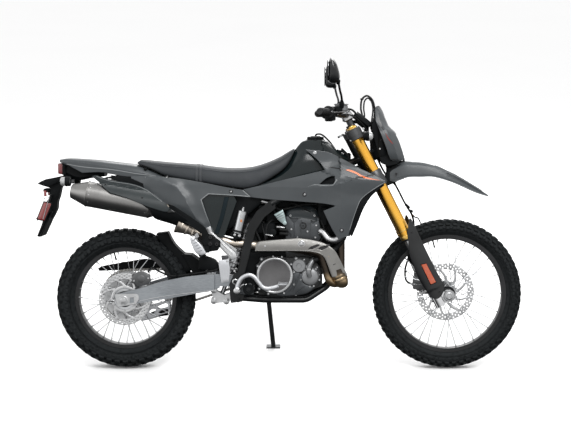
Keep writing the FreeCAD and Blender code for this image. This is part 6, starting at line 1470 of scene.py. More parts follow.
    looms = []
    for k, line in enumerate(([(-60, -60, 760), (-30, -66, 740), (20, -70, 748), (80, -66, 762),
                               (140, -60, 764)],
                              [(-110, -52, 770), (-70, -58, 748), (-40, -70, 710), (-20, -66, 690)],
                              [(-150, -40, 700), (-140, -62, 640), (-120, -70, 590), (-128, -66, 540)],
                              [(-120, -40, 720), (-110, -66, 660), (-96, -74, 600), (-110, -66, 556)],
                              [(10, -60, 770), (40, -68, 765), (90, -70, 740), (150, -66, 700),
                               (170, -60, 640), (160, -60, 590)],
                              [(-90, 50, 760), (-60, 64, 720), (-40, 70, 650), (-60, 66, 560)],
                              [(160, -78, 690), (176, -80, 650), (168, -76, 610), (150, -72, 580),
                               (120, -74, 560)])):
        looms.append(hose(line, (5.5, 4.0, 6.0, 4.5, 3.5, 5.5, 5.0)[k], 10))
    valve = merged(drum((-150, -30, 560), (-150, -72, 560), 20, 28, 3),
                   box((-118, -56, 574), (50, 26, 34), 4), box((-150, -40, 612), (44, 40, 56), 5),
                   box((-96, -40, 742), (70, 60, 44), 6), box((-64, 0, 700), (60, 90, 60), 6),
                   drum((164, 60, 640), (164, -74, 640), 13, 24, 2))
    low_tank = hull([(-116, 50, 800, 862), (-60, 70, 786, 872), (40, 76, 770, 880), (140, 78, 768, 880),
                     (236, 66, 790, 880)], rounded([(0, 0), (0.85, 0.03), (1, 0.3), (1, 1), (0, 1)], 3), 3)
    rear_case = plate(trail([(-214, 520, 1), (-190, 548, 1), (-120, 548), (-60, 560, 1), (0, 556, 1),
                             (0, 520, 1), (-110, 500, 1), (-130, 440), (-126, 360, 1), (-196, 345, 1),
                             (-200, 420)]), -70, 70, (), 5.0)
    front_screen = plate(trail([(150, 800, 1), (250, 800, 1), (252, 700), (236, 640), (214, 560, 1),
                                (196, 470, 1), (160, 430, 1), (110, 430, 1), (110, 560, 1), (140, 590, 1)]),
                         -60, -52, (), 2.0)
    behind = plate(trail([(-200, 800, 1), (-10, 800, 1), (4, 700, 1), (4, 560, 1), (-120, 556, 1),
                          (-180, 600, 1)]), -20, 20, (), 4.0)
    top_screen = plate(trail([(-70, 690, 1), (-60, 812, 1), (190, 812, 1), (190, 690, 1)]), -30, 30, (), 4.0)
    side_screen = plate(trail([(-330, 700, 1), (-200, 720, 1), (-196, 640, 1), (-236, 606, 1),
                               (-300, 620, 1)]), -20, 20, (), 4.0)
    tangle = merged(valve, box((176, -20, 708), (30, 120, 90), 6), low_tank, top_screen, side_screen,
                    rear_case, behind, front_screen, flipped(front_screen))
    piece("engine_looms", [(merged(*looms), hose_rubber), (tangle, black_plastic)], "chassis")

    coolant = hose([(276, -112, 664), (262, -116, 632), (232, -112, 604), (198, -104, 606), (172, -90, 634),
                    (158, -80, 642)], 15.5, 22)
    low_hose = hose([(276, -70, 652), (262, -72, 604), (226, -80, 560), (190, -96, 530), (150, -98, 516),
                     (124, -100, 506)], 12.5, 18)
    bands = [lathe([(-5, 15), (-5, 17.4), (5, 17.4), (5, 15)], p, axis, 30)
             for p, axis in ((Vector((266, -115, 640)), Vector((0.4, 0, 1))),
                             (Vector((165, -85, 638)), Vector((1, -0.5, -0.6))))]
    piece("coolant_pipes", [(coolant, bare_aluminium), (merged(*bands), bolt_steel), (low_hose, hose_rubber)],
          "chassis")


def turned_plate(outline, low, high):
    return plate(trail([(*p, 1) for p in outline], 8.0), low, high, (), 0.8)


def exhaust():
    """The header's shield, the pipe's clamps, and the silencer's end, seams and cover."""
    wall = lambda x, z: 141 - 10 * math.exp(-((z - 612) / 26.0) ** 2) - max(0.0, x - 225) * 0.16
    outline = trail([(-142, 552, 1), (-133, 588), (-103, 599), (28, 609), (67, 610), (133, 601), (178, 587),
                     (218, 560), (240, 527), (268, 470), (279, 446), (268, 436), (218, 433), (208, 442),
                     (190, 490), (171, 528), (133, 546), (60, 552), (-60, 552)])
    slot_a = trail([(101, 560, 1), (112, 572, 1), (146, 583), (150, 577), (120, 562, 1)])
    slot_b = trail([(146, 562, 1), (158, 572, 1), (186, 578), (190, 571), (164, 558, 1)])
    shell = skin(outline, wall, 3.0, [slot_a, slot_b], 9.0, 2.6)
    dark = skin(trail([(95, 552, 1), (100, 590, 1), (200, 585, 1), (200, 552, 1)]),
                lambda x, z: wall(x, z) - 6, 2.0)
    dimple = skin(trail([(190, 530, 1), (200, 524, 1), (210, 506, 1), (214, 502, 1), (204, 516), (194, 532)]),
                  lifted(wall, 0.6), 0.8, (), 10, 0.4)
    dash = skin(trail([(214, 492, 1), (226, 497, 1), (227, 494, 1), (215, 489, 1)]), lifted(wall, 0.6), 0.8,
                (), 10, 0.3)
    hem = [swept([Vector((x, wall(x, z) + 0.4, z))
                  for x, z in eased_flat([(-138, 556), (-60, 556), (60, 556), (133, 550), (173, 532),
                                          (193, 492), (212, 440)])], circle(1.6, 8))]
    at = Vector((70, wall(70, 585), 585))
    washer = lathe([(-2, 8), (-2, 16.5), (1.4, 16.5), (2.2, 15), (2.2, 12.5), (0.4, 11), (0.4, 8)], at, LEFT,
                   36)
    screw = bolt(at + LEFT * 0.5, LEFT, 7.5, 3)
    second = bolt((-96, wall(-96, 576), 576), LEFT, 4.5, 2.5)
    piece("header_shield", [(flipped(shell), shield_beige), (flipped(dark), bolt_dark),
                            (flipped(dimple), shield_tan), (flipped(dash), bolt_dark),
                            (flipped(merged(*hem)), shield_beige),
                            (flipped(merged(washer, screw, second)), bolt_steel)], "chassis",
          ["header_guard"], 30.0)

    bend = hose([(236, -112, 468), (246, -112, 440), (255, -110, 416), (256, -98, 402)], 29.5, 32, 6)
    rings = []
    for p, axis, r in ((Vector((246, -112, 438)), Vector((0.42, 0, -0.9)), 31.0),
                       (Vector((251, -112, 424)), Vector((0.42, 0, -0.9)), 30.0)):
        rings.append(lathe([(-7, r - 3), (-7, r + 1.5), (-4, r + 3), (4, r + 3), (7, r + 1.5), (7, r - 3)], p,
                           axis, 40))
    middle = []
    for p, r in ((Vector((-426, -136, 648)), 27), (Vector((-452, -140, 659)), 30),
                 (Vector((-477, -144, 670)), 33)):
        axis = Vector((-0.92, -0.13, 0.38))
        middle.append(lathe([(-5, r - 5), (-5, r), (-2, r + 2.4), (2, r + 2.4), (5, r), (5, r - 5)], p, axis,
                            40))
    cone = lathe([(-36, 21), (-30, 24), (0, 28), (30, 34), (52, 42), (52, 40), (-36, 20)],
                 Vector((-450, -140, 658)), Vector((-0.92, -0.13, 0.38)), 44)
    lug = merged(turned_plate([(-420, 628), (-404, 640), (-398, 620), (-412, 606)], -142, -134),
                 bolt((-408, -142, 624), -LEFT, 4.5, 5))
    piece("exhaust_clamps", [(merged(bend, *rings), header_steel), (merged(*middle, cone), header_steel),
                             (lug, bolt_steel)], "chassis", (), 34.0)

    axis = Vector((-math.cos(math.radians(10.7)), 0, math.sin(math.radians(10.7))))
    start = Vector((-560, -150, 750))

    def at_x(x):
        return start + axis * ((start.x - x) / -axis.x)

    seams = [lathe([(-3, 55), (-3, 58.4), (-1.6, 59.6), (1.6, 59.6), (3, 58.4), (3, 55)], at_x(x), axis, 60)
             for x in (-905.0, -622.0)]
    mouth = lathe([(-4, 20), (-4, 27), (2, 27), (3, 25.5), (3, 20.5), (-1, 20)], at_x(-978), axis, 40)
    mesh_disc = spun([(-14, 20), (-12, 20)], at_x(-974), axis, 30)
    rivets = [ring_of(10, at_x(x), axis, 58.5,
                      lambda p: drum(p - (p - at_x(x)).normalized() * 2, p + (p - at_x(x)).normalized() * 1.2,
                                     2.6, 10, 0.5)) for x in (-893.0, -634.0)]
    piece("silencer_trim", [(merged(*seams), exhaust_steel), (mouth, exhaust_steel), (mesh_disc, bolt_dark),
                            (merged(*rivets), bolt_steel)], "chassis", (), 34.0)

    def cover_wall(x, z):
        line = 750 + (-560 - x) * 0.1889
        across_line = (z - line) * 0.982
        round_y = math.sqrt(max(0.0, 66.0 ** 2 - min(65.0, abs(across_line)) ** 2))
        return 150 + max(14.0, round_y)

    upper = trail([(-884, 896, 1), (-862, 899), (-820, 886), (-799, 878), (-702, 862), (-637, 838),
                   (-560, 786), (-524, 752, 1), (-541, 736), (-590, 748), (-637, 764), (-705, 794),
                   (-772, 815), (-799, 824), (-840, 860, 1)])
    lower = trail([(-660, 776, 1), (-590, 752), (-541, 736), (-524, 753), (-470, 716), (-430, 686),
                   (-392, 658), (-368, 646, 1), (-396, 648), (-446, 668), (-489, 667), (-545, 686),
                   (-597, 706), (-608, 738, 1)])
    sheet_a = skin(upper, cover_wall, 4.0, (), 9.0, 2.2)
    sheet_b = skin(lower, lambda x, z: cover_wall(x, z) - 4.5 - max(0.0, x + 560) * 0.14, 4.0, (), 9.0, 2.0)
    # A pale bead along the cover's top edge: a painted highlight.
    upper_edge_highlight = [swept([Vector((x, cover_wall(x, z) - 0.2, z)) for x, z in eased_flat(
        [(-862, 895), (-800, 874), (-702, 858), (-637, 834), (-562, 783)])], circle(1.3, 6))]
    notch = skin(trail([(-560, 742, 1), (-520, 748, 1), (-500, 735, 1), (-530, 732, 1)]),
                 lifted(cover_wall, -3.0), 1.6)
    under = skin(trail([(-700, 855, 1), (-640, 832, 1), (-560, 782, 1), (-470, 722, 1), (-392, 664, 1),
                        (-372, 668, 1), (-440, 726, 1), (-540, 796, 1), (-640, 856, 1), (-720, 890, 1),
                        (-800, 900, 1), (-800, 880, 1)]), lambda x, z: 128, 6.0, (), 12, 1.0)
    parts = [(flipped(sheet_a), silencer_teal), (flipped(sheet_b), black_plastic),
             (flipped(merged(*upper_edge_highlight)), painted_edge_highlight), (flipped(notch), gloss_black),
             (flipped(under), black_plastic)]
    screws = [bolt((x, -cover_wall(x, z), z), -LEFT, 4.2, 2) for x, z in ((-820, 858), (-650, 800))]
    parts.append((merged(*screws), bolt_dark))
    piece("silencer_shield", parts, "chassis", ["silencer_cover"], 26.0)


def chassis_fittings():
    """Reservoir, springs, hanger and strut plates, pegs, pedal, chain guide, flap and heel plates."""
    axis = (Vector((-200, -90, 734)) - Vector((-229, -90, 614))).normalized()
    foot = Vector((-229, -90, 614))
    base = spun([(-4, 27), (2, 28.2), (18, 28.2), (20, 26.5)], foot, axis, 44)
    neck = lathe([(112, 0.01), (112, 25.8), (118, 25), (123, 21), (126, 14), (127, 8), (136, 8), (137, 6),
                  (142, 5.5), (143, 0.01)], foot, axis, 40)
    bands = [lathe([(23, 25), (23, 27.4), (33, 27.4), (33, 25)], foot, axis, 44)]
    mark = box((-206, -115.2, 690), (9, 1.4, 12), 0.4)
    line = hose([(-231, -88, 612), (-238, -80, 590), (-240, -50, 600), (-226, -24, 640), (-196, -6, 680)], 7,
                12)
    knob = merged(drum((-214, -112, 622), (-214, -120, 622), 7, 20, 1),
                  drum((-236, -112, 626), (-236, -120, 626), 6, 20, 1))
    piece("shock_reservoir", [(merged(base), black_plastic), (merged(neck), bolt_steel),
                              (merged(*bands), hose_rubber), (mark, stripe_orange_thin), (line, hose_rubber),
                              (knob, bolt_steel)], "chassis", (), 34.0)

    low, top = Vector((-305, 0, 330)), Vector((-150, 0, 728))
    along = (top - low).normalized()
    length = (top - low).length
    a, b = across(along)
    windings, coil = 7.5, []
    for i in range(int(windings * 24) + 1):
        t = 2 * math.pi * i / 24
        rise = 96 + (length - 200) * i / (windings * 24)
        coil.append(low + along * rise + a * (33 * math.cos(t)) + b * (33 * math.sin(t)))
    seats = [spun([(h - 5, 40), (h + 3, 40), (h + 5, 37)], low, along, 40)
             for h in (90, length - 98)]
    piece("shock_spring", [(swept(coil, circle(6.0, 10)), spring_coat), (merged(*seats), bare_aluminium)],
          "chassis", (), 40.0)

    hanger = turned_plate([(-385, 640), (-373, 652), (-356, 630), (-338, 628), (-300, 600), (-300, 576),
                           (-312, 556), (-362, 548), (-382, 580)], -147, -140)
    hanger_bolts = [bolt((x, -147, z), -LEFT, 8.0, 6) for x, z in ((-346, 617), (-347, 586), (-317, 585))]
    cups = [spun([(-2, 13), (2, 13), (3, 11)], (x, -147, z), -LEFT, 26)
            for x, z in ((-346, 617), (-347, 586), (-317, 585))]
    strut = turned_plate([(-368, 656), (-346, 668), (-338, 640), (-300, 606), (-228, 540), (-228, 520),
                          (-247, 512), (-280, 544), (-316, 584), (-352, 628)], -139, -128)
    strut_ribs = [swept([Vector((-345, -140, 640)), Vector((-240, -140, 538))], circle(2.0, 6)),
                  swept([Vector((-322, -140, 604)), Vector((-250, -140, 528))], circle(1.6, 6))]
    shapes = [(hanger, black_plastic), (merged(*cups), black_plastic), (merged(*hanger_bolts), bolt_dark),
              (merged(strut, *strut_ribs), bare_aluminium)]
    piece("peg_hanger_right", shapes, "chassis", (), 30.0)
    piece("peg_hanger_left", [(flipped(s), f) for s, f in shapes], "chassis", (), 30.0)
    fold_out = trail([(-434, 627, 1), (-416, 615), (-382, 581), (-362, 546, 1), (-384, 538, 1), (-411, 552),
                      (-434, 602, 1)])
    peg = plate(fold_out, -200, -152, (), 3.0)
    ribs = [swept([Vector((-428 + 8 * k, -201, 606 - 12 * k)), Vector((-412 + 8 * k, -201, 612 - 12 * k))],
                  circle(2.6, 8)) for k in range(5)]
    mount = merged(box((-366, -156, 562), (34, 20, 30), 4),
                   drum((-376, -140, 566), (-376, -168, 566), 10, 20, 1.5))
    piece("passenger_pegs", [(paired(flipped(merged(peg, *ribs))), peg_silver),
                             (paired(flipped(mount)), black_plastic)], "chassis", (), 30.0)

    line = [Vector((x, -152, z)) for x, z in eased_flat([(-228, 368), (-219, 401), (-202, 430), (-171, 444),
                                                         (-145, 434), (-124, 408), (-106, 388), (-80, 382),
                                                         (-32, 393)], 5)]
    arch = swept(line, [(6.0 * math.cos(t), 10.0 * math.sin(t)) for t in turns(16)])
    tip = merged(box((-16, -168, 404), (42, 40, 10), 3),
                 *[drum((-32 + 9 * k, -148, 411), (-32 + 9 * k, -188, 411), 2.6, 8, 0.5) for k in range(5)])
    boss = spun([(-30, 15), (2, 15), (4, 12)], (-225, -156, 372), -LEFT, 32)
    spring = hose([(-214, -134, 384), (-196, -132, 398), (-176, -130, 396), (-164, -128, 384)], 4.5, 10)
    piece("brake_pedal_arm", [(arch, peg_silver), (tip, peg_silver), (boss, bolt_steel),
                              (spring, bolt_steel)], "chassis", ["brake_pedal"], 34.0)

    cleats = []
    for way in (1, -1):
        for k in range(7):
            y = way * (170 + 12 * k)
            cleats.append(merged(box((-188, y, 405), (6, 4, 8), 1), box((-150, y, 405), (6, 4, 8), 1),
                                 box((-169, y, 405), (4, 4, 6), 1)))
        cleats.append(lathe([(-14, 10), (-14, 24), (-2, 25), (0, 23), (0, 10)], (-169, way * 252, 389),
                            LEFT * way, 32))
    carriers = [merged(drum((-169, way * 112, 388), (-169, way * 140, 388), 17, 28, 2),
                       box((-184, way * 116, 372), (70, 14, 46), 4),
                       bolt((-206, way * 123, 384), LEFT * way, 7, 5),
                       bolt((-206, way * 123, 360), LEFT * way, 7, 5)) for way in (1, -1)]
    piece("footrest_cleats", [(merged(*cleats), black_plastic), (merged(*carriers), engine_grey)], "chassis",
          (), 34.0)

    heel = trail([(-311, 511, 1), (-264, 513, 1), (-258, 470), (-262, 412, 1), (-296, 404, 1), (-304, 456)])
    heel_plate = plate(heel, -129, -124, (), 1.2)
    heel_bolts = [bolt((x, -129, z), -LEFT, 4.5, 3)
                  for x, z in ((-270, 506), (-268, 420), (-262, 386), (-250, 520))]
    piece("heel_plates", [(paired(flipped(heel_plate)), peg_silver),
                          (paired(flipped(merged(*heel_bolts))), bolt_steel)], "chassis",
          (), 30.0)

    guard = plate(trail([(-893, 452, 1), (-863, 465), (-760, 483), (-653, 498), (-611, 470, 1), (-620, 450),
                         (-647, 442), (-760, 444), (-887, 440, 1)]), 90, 97, (), 2.0)
    chain_top = plate(trail([(-620, 486, 1), (-540, 470), (-430, 462), (-380, 466, 1), (-376, 450, 1),
                             (-460, 448), (-560, 440), (-640, 452, 1)]), 84, 96, (), 2.0)
    flap = plate(trail([(-600, 628, 1), (-549, 634, 1), (-514, 572), (-426, 490), (-420, 466), (-455, 450),
                        (-514, 440), (-526, 474), (-543, 521), (-566, 570), (-606, 610, 1)]), -46, 46, (),
                 6.0)
    splash = plate(trail([(-392, 556, 1), (-402, 500), (-404, 466, 1), (-300, 456, 1), (-305, 474),
                          (-328, 508), (-369, 524, 1)]), -104, -40, (), 5.0)
    piece("splash_guards", [(merged(guard, chain_top), black_plastic), (flap, black_plastic),
                            (splash, black_plastic)], "chassis", (), 34.0)

    guide = trail([(-690, 204, 1), (-645, 280, 1), (-600, 292), (-549, 307, 1), (-543, 247, 1), (-590, 236),
                   (-633, 217)])
    guide_holes = [trail([(-650, 246), (-634, 262), (-616, 260), (-626, 244), (-640, 236)]),
                   trail([(-612, 268), (-596, 280), (-566, 290), (-560, 274), (-590, 262)]),
                   trail([(-604, 246), (-590, 256), (-562, 262), (-558, 252), (-590, 242)])]
    guide_plates = [plate(guide, y, y + 3, guide_holes, 0.8) for y in (62, 88)]
    guide_block = plate(trail([(-640, 246, 1), (-600, 262, 1), (-560, 272, 1), (-556, 232, 1), (-600, 226, 1),
                               (-640, 214, 1)]), 66, 69, (), 0.8)
    lugs = [bolt((x, 91, z), LEFT, 4.5, 4) for x, z in ((-636, 272), (-560, 296), (-556, 256))]
    arm_lug = box((-560, 92, 318), (36, 14, 40), 4)
    piece("chain_guide", [(merged(*guide_plates), peg_silver), (guide_block, black_plastic),
                          (merged(*lugs), bolt_steel), (arm_lug, bare_aluminium)], "chassis",
          (), 30.0)

    ends = []
    for way in (1, -1):
        block = trail([(-788, 348, 1), (-776, 354), (-689, 354), (-676, 334), (-683, 317), (-700, 306),
                       (-775, 293, 1)])
        block_holes = [trail([(-718, 336, 1), (-700, 338, 1), (-700, 314, 1), (-718, 312, 1)])]
        shape = plate(block, 122, 127, block_holes, 1.2)
        ends.append(shape if way > 0 else flipped(shape))
        ends.append(lathe([(-2, 12), (-2, 21), (3, 21), (4, 19.5), (4, 12)], (-747.5, way * 127, 324.5),
                          LEFT * way, 36))
    nuts = [bolt((-747.5, way * 130, 324.5), LEFT * way, 15.5, 9, False) for way in (1, -1)]
    adjusters = [merged(drum((-789, way * 124, 324), (-820, way * 124, 324), 5, 16, 1),
                        bolt((-796, way * 124, 324), -ALONG, 8, 6, False)) for way in (1, -1)]
    step = [swept([Vector((x, way * 122.4, z))
                   for x, z in eased_flat([(-684, 318), (-600, 336), (-509, 350), (-412, 362), (-316, 372)])],
                  circle(1.6, 8)) for way in (1, -1)]
    links = [bolt((x, way * 32, z), LEFT * way, 10, 7, False)
             for x, z in ((-338, 312), (-279, 310), (-338, 362), (-262, 386)) for way in (1, -1)]
    link_caps = [spun([(-3, 15), (2, 15), (3, 13)], (x, way * 31, z), LEFT * way, 30)
                 for x, z in ((-338, 312), (-279, 310), (-338, 362)) for way in (1, -1)]
    pivot = merged(*[spun([(-4, 13), (3, 13), (4, 11), (4, 6), (2, 5)], (-234, way * 124, 411),
                           LEFT * way, 36) for way in (1, -1)])
    piece("swingarm_ends", [(merged(*ends), bare_aluminium), (merged(*nuts, *adjusters), bolt_steel),
                            (merged(*step), bare_aluminium), (merged(*links), bolt_steel),
                            (merged(*link_caps), bare_aluminium), (pivot, bolt_steel)], "chassis",
          (), 34.0)


def mud_and_lamps():
    """The rear lamp, its plate bracket and flap, side reflectors and clear-lensed signals."""
    lamp = hull([(-1058, 36, 906, 948), (-1054, 42, 903, 952), (-1036, 43, 902, 952), (-1030, 40, 906, 950)],
                rounded([(0, 0), (0.85, 0), (1, 0.2), (1, 0.8), (0.85, 1), (0, 1)], 3), 3)
    bezel = hull([(-1036, 47, 898, 957), (-1028, 48, 897, 958), (-1020, 44, 900, 955)],
                 rounded([(0, 0), (0.9, 0), (1, 0.15), (1, 0.85), (0.9, 1), (0, 1)], 3), 2)
    signals, stalks, rims = [], [], []
    for way in (1, -1):
        at = Vector((-1000, way * 150, 872))
        signals.append(lathe([(-22, 0.01), (-22, 20), (16, 20.5), (22, 18), (26, 11), (27, 0.01)],
                             at - ALONG * 4, -ALONG, 36))
        rims.append(spun([(-24, 15), (-21, 21.5), (-6, 23), (2, 23), (3, 21)], at - ALONG * 4, -ALONG, 36))
        stalks.append(hose([(-1000, way * 40, 884), (-1002, way * 80, 880), (-1000, way * 132, 874)], 8.0,
                           14))
    piece("tail_lamp", [(lamp, lamp_red), (bezel, black_plastic), (merged(*signals), lamp_clear_small),
                        (merged(*rims, *stalks), black_plastic)], "chassis", ["rear_lights"],
          34.0)

    blade = trail([(-1154, 858, 1), (-1121, 876), (-1080, 885), (-1037, 894, 1), (-1021, 905, 1),
                   (-960, 905, 1), (-985, 880, 1), (-1030, 862), (-1046, 836, 1), (-1053, 800, 1),
                   (-1062, 774), (-1066, 740), (-1085, 700, 1), (-1104, 700, 1), (-1150, 609, 1),
                   (-1158, 615, 1), (-1134, 677), (-1128, 720), (-1112, 776, 1), (-1099, 800),
                   (-1098, 838, 1), (-1121, 846)])
    web = plate(blade, -32, 32, (), 3.0)
    arms = [plate(trail([(-1150, 858, 1), (-1121, 874), (-1037, 892, 1), (-1042, 872, 1), (-1098, 846),
                         (-1121, 848, 1)]), min(y, y + 10), max(y, y + 10), (), 2.0) for y in (-62, 52)]
    board = turned_slab((-1104, 0, 752), 180, 118, 3.0, Vector((-0.28, 0, -0.96)))
    mudflap = turned_slab((-1108, 0, 672), 150, 130, 5.0, Vector((-0.42, 0, -0.91)))
    shield_lamp = box((-1112, 0, 826), (30, 84, 18), 5)
    side = trail([(-1116, 773, 1), (-1087, 768, 1), (-1086, 758), (-1116, 690, 1), (-1146, 696, 1),
                  (-1144, 704)])
    frames = [plate(inset(side, -5), way * 70 if way > 0 else -80, 80 if way > 0 else -70, (), 2.0)
              for way in (1, -1)]
    glasses = [plate(side, 80 if way > 0 else -84, 84 if way > 0 else -80, (), 1.2) for way in (1, -1)]
    small = [plate(trail([(-1120, 800, 1), (-1108, 800, 1), (-1110, 826, 1), (-1122, 826, 1)]),
                   min(y, y + way * 4), max(y, y + way * 4), (), 1.0) for way, y in ((1, 52), (-1, -52))]
    props = [box((-1098, way * 48, 735), (22, 60, 24), 4) for way in (1, -1)]
    clip = [turned_slab((-1152, way * 74, 700), 34, 6, 3.0, Vector((-0.5, 0, -0.86))) for way in (1, -1)]
    screws = [bolt((-1118, y, 790), -ALONG, 4, 3) for y in (-50, 50)]
    piece("plate_holder", [(web, black_plastic), (merged(*arms, shield_lamp, *props), black_plastic),
                           (board, bare_aluminium), (mudflap, black_plastic),
                           (merged(*frames), black_plastic), (merged(*glasses), reflector_red),
                           (merged(*small), reflector_red), (merged(*clip), bolt_steel),
                           (merged(*screws), bolt_steel)], "chassis", ["plate_bracket"],
          30.0)


def turned_slab(centre, wide, tall, thick, down):
    """A rounded board across the motorcycle whose height runs down a direction."""
    down = down.normalized()
    front = down.cross(LEFT).normalized()
    return turned_box(centre, (thick, wide, tall), min(2.0, thick * 0.4), front, LEFT, down)


def dark_fillers():
    """Inner fender sides under the tail, and the black guard in front of the tail pipe."""
    inner = plate(trail([(-852, 884, 1), (-700, 912, 1), (-590, 868, 1), (-560, 812, 1), (-640, 838),
                         (-760, 862), (-840, 864, 1)]), -84, -78, (), 2.0)
    guard = skin(trail([(-536, 772, 1), (-508, 762, 1), (-420, 704), (-366, 664, 1), (-352, 634, 1),
                        (-372, 628, 1), (-440, 674), (-524, 728, 1)]), lambda x, z: 184, 3.0, (), 8, 1.0)
    piece("inner_fender_sides", [(inner, black_plastic), (flipped(inner), black_plastic)], "chassis",
          (), 34.0)
    piece("tail_pipe_guard", [(flipped(guard), black_plastic)], "chassis", (), 34.0)


# The fork, the bar and what they carry

def fork_details():
    """Clamps, caps, collars, guards with reflectors, brake hose and front caliper."""
    collars, caps, screws, clamps, seals = [], [], [], [], []
    for way in (1, -1):
        y = way * FORK_Y
        at = lambda up, y=y: fork_point(0, y, up)
        clamps.append(lathe([(-22, 27), (-22, 31), (-18, 33.5), (48, 33.5), (52, 31), (52, 27)], at(616),
                            FORK_UP, 48))
        clamps.append(lathe([(-14, 27), (-14, 31), (-11, 34), (36, 34), (39, 31), (39, 27)], at(844), FORK_UP,
                            48))
        caps.append(spun([(0, 25), (8, 25), (10, 23), (10, 14), (16, 13), (17, 11)], at(880), FORK_UP, 40))
        collars.append(lathe([(-3, 26), (-3, 29.5), (10, 30.5), (14, 29), (22, 28.6), (22, 26)], at(325),
                             FORK_UP, 48))
        collars.append(lathe([(-2, 26), (-2, 28.6), (4, 28.6), (4, 26)], at(362), FORK_UP, 48))
        seals.append(lathe([(-10, 22), (-10, 27), (-2, 28), (0, 26), (0, 22)], at(322), FORK_UP, 44))
        for up in (604, 628):
            screws.append(bolt(fork_point(-30, way * (FORK_Y + 20), up), -FORK_FORWARD, 5.0, 6))
        screws.append(bolt(fork_point(-28, way * (FORK_Y + 18), 838), -FORK_FORWARD, 4.6, 6))
    dots = [bolt((352, -122, 1112), -LEFT, 5.5, 4), bolt((360, -122, 1094), -LEFT, 5.5, 4)]
    piece("fork_fittings", [(merged(*clamps), clamp_grey), (merged(*caps, *collars), fork_gold_bright),
                            (merged(*seals), hose_rubber), (merged(*screws), bolt_steel),
                            (merged(*dots), bolt_steel)], "steering", (), 34.0)

    guards, reflectors, frames, fasteners = [], [], [], []
    outline = trail([(563, 702, 1), (572, 700), (596, 652), (631, 577), (684, 470), (722, 400), (722, 372),
                     (709, 346), (694, 334, 1), (668, 338), (648, 362), (620, 404), (604, 433), (568, 522),
                     (560, 580), (553, 640, 1)])
    crest = [(566, 690), (606, 612), (650, 520), (700, 420)]

    def wall(x, z):
        here = Vector((x, 0, z)) - FORK_FOOT
        off = here.dot(FORK_FORWARD)
        up = here.dot(FORK_UP)
        bow = 36.5 * math.sqrt(max(0.0, 1 - ((off - 8) / 62.0) ** 2))
        return FORK_Y + min(36.0, max(9.0, bow)) - (2.5 if up < 60 else 0.0)

    shell = skin(outline, wall, 3.0, (), 7.0, 1.8, [crest])
    hole = []
    reflector = trail([(618, 491, 1), (640, 497, 1), (685, 412, 1), (662, 401, 1)])
    frame_line = inset(reflector, -3.0)
    plate_shape = skin(reflector, lifted(wall, 3.2), 3.4, (), 6.0, 1.2)
    frame_shape = skin(frame_line, lifted(wall, 1.8), 2.4, (), 8.0, 0.8)
    fin = swept([Vector((556, FORK_Y + 24, 640)), Vector((560, FORK_Y + 28, 676)),
                 Vector((566, FORK_Y + 30, 700))], circle(2.2, 8))
    clips = [bolt((x, wall(x, z), z), LEFT, 4.6, 3) for x, z in ((574, 640), (702, 368))]
    for way in (1, -1):
        turn = (lambda s: s) if way > 0 else flipped
        guards.append(turn(merged(shell, fin, *hole)))
        reflectors.append(turn(plate_shape))
        frames.append(turn(frame_shape))
        fasteners.append(turn(merged(*clips)))
    piece("fork_guard_shells", [(merged(*guards), gloss_guard), (merged(*reflectors), reflector_orange),
                                (merged(*frames), black_plastic), (merged(*fasteners), bolt_dark)],
          "steering", ["fork_guards"], 30.0)

    lugs = []
    for way in (1, -1):
        centre = FRONT_AXLE + LEFT * (way * 118)
        lugs.append(lathe([(-20, 17), (-20, 26), (8, 26), (12, 23), (12, 17)], centre, LEFT * way, 44))
        lugs.append(turned_box(FRONT_AXLE + LEFT * (way * 112) - FORK_FORWARD * 34 - FORK_UP * 4,
                               (44, 26, 34), 4, FORK_FORWARD, LEFT, FORK_UP))
    hollow = [lathe([(-2, 9), (-2, 17), (6, 17), (7, 15.5), (7, 10), (5, 9)], FRONT_AXLE + LEFT * (way * 130),
                    LEFT * way, 36) for way in (1, -1)]
    dark = [drum(FRONT_AXLE + LEFT * (way * 132), FRONT_AXLE + LEFT * (way * 133.5), 9, 24)
            for way in (1, -1)]
    pinch = [bolt(FRONT_AXLE + LEFT * (way * y) - FORK_FORWARD * 46 - FORK_UP * 22, -FORK_UP, 4.2, 5)
             for way in (1, -1) for y in (106, 120)]
    piece("axle_lugs", [(merged(*lugs), cast_aluminium), (merged(*hollow), bolt_steel),
                        (merged(*dark), bolt_dark), (merged(*pinch), bolt_steel)], "steering",
          (), 34.0)

    body = plate(trail([(592, 392, 1), (598, 424), (622, 444, 1), (650, 428), (674, 398, 1), (660, 372),
                        (626, 350, 1), (604, 362)]), 40, 60, (), 3.0)
    outer = plate(trail([(594, 396, 1), (604, 426), (626, 440, 1), (654, 416), (668, 396, 1), (650, 376),
                         (620, 356, 1), (602, 372)]), 67, 90, (), 4.0)
    bridge = merged(box((618, 62, 428), (36, 48, 22), 4), box((608, 62, 366), (26, 48, 16), 4))
    pistons = [drum((628, 88, z), (628, 96, z), 14, 30, 2) for z in (412, 380)]
    pads = [plate(trail([(612, 420, 1), (650, 408, 1), (648, 376, 1), (612, 366, 1)]), a, b, (), 0.6)
            for a, b in ((58, 61.4), (66.6, 70))]
    pin_set = [bolt((x, 92, z), LEFT, 4.4, 5) for x, z in ((604, 396), (652, 398))]
    bleed = merged(drum((606, 78, 440), (598, 78, 458), 4, 14, 0.8),
                   drum((598, 78, 458), (596, 78, 464), 5.4, 12, 1))
    carrier = merged(box((650, 84, 350), (46, 12, 34), 3), box((676, 92, 366), (30, 14, 22), 3))
    piece("front_caliper_body", [(merged(body, outer, bridge, *pistons, carrier), brake_alloy),
                                 (merged(*pads), pad_brown), (merged(*pin_set, bleed), bolt_steel)],
          "steering", ["front_caliper"], 34.0)

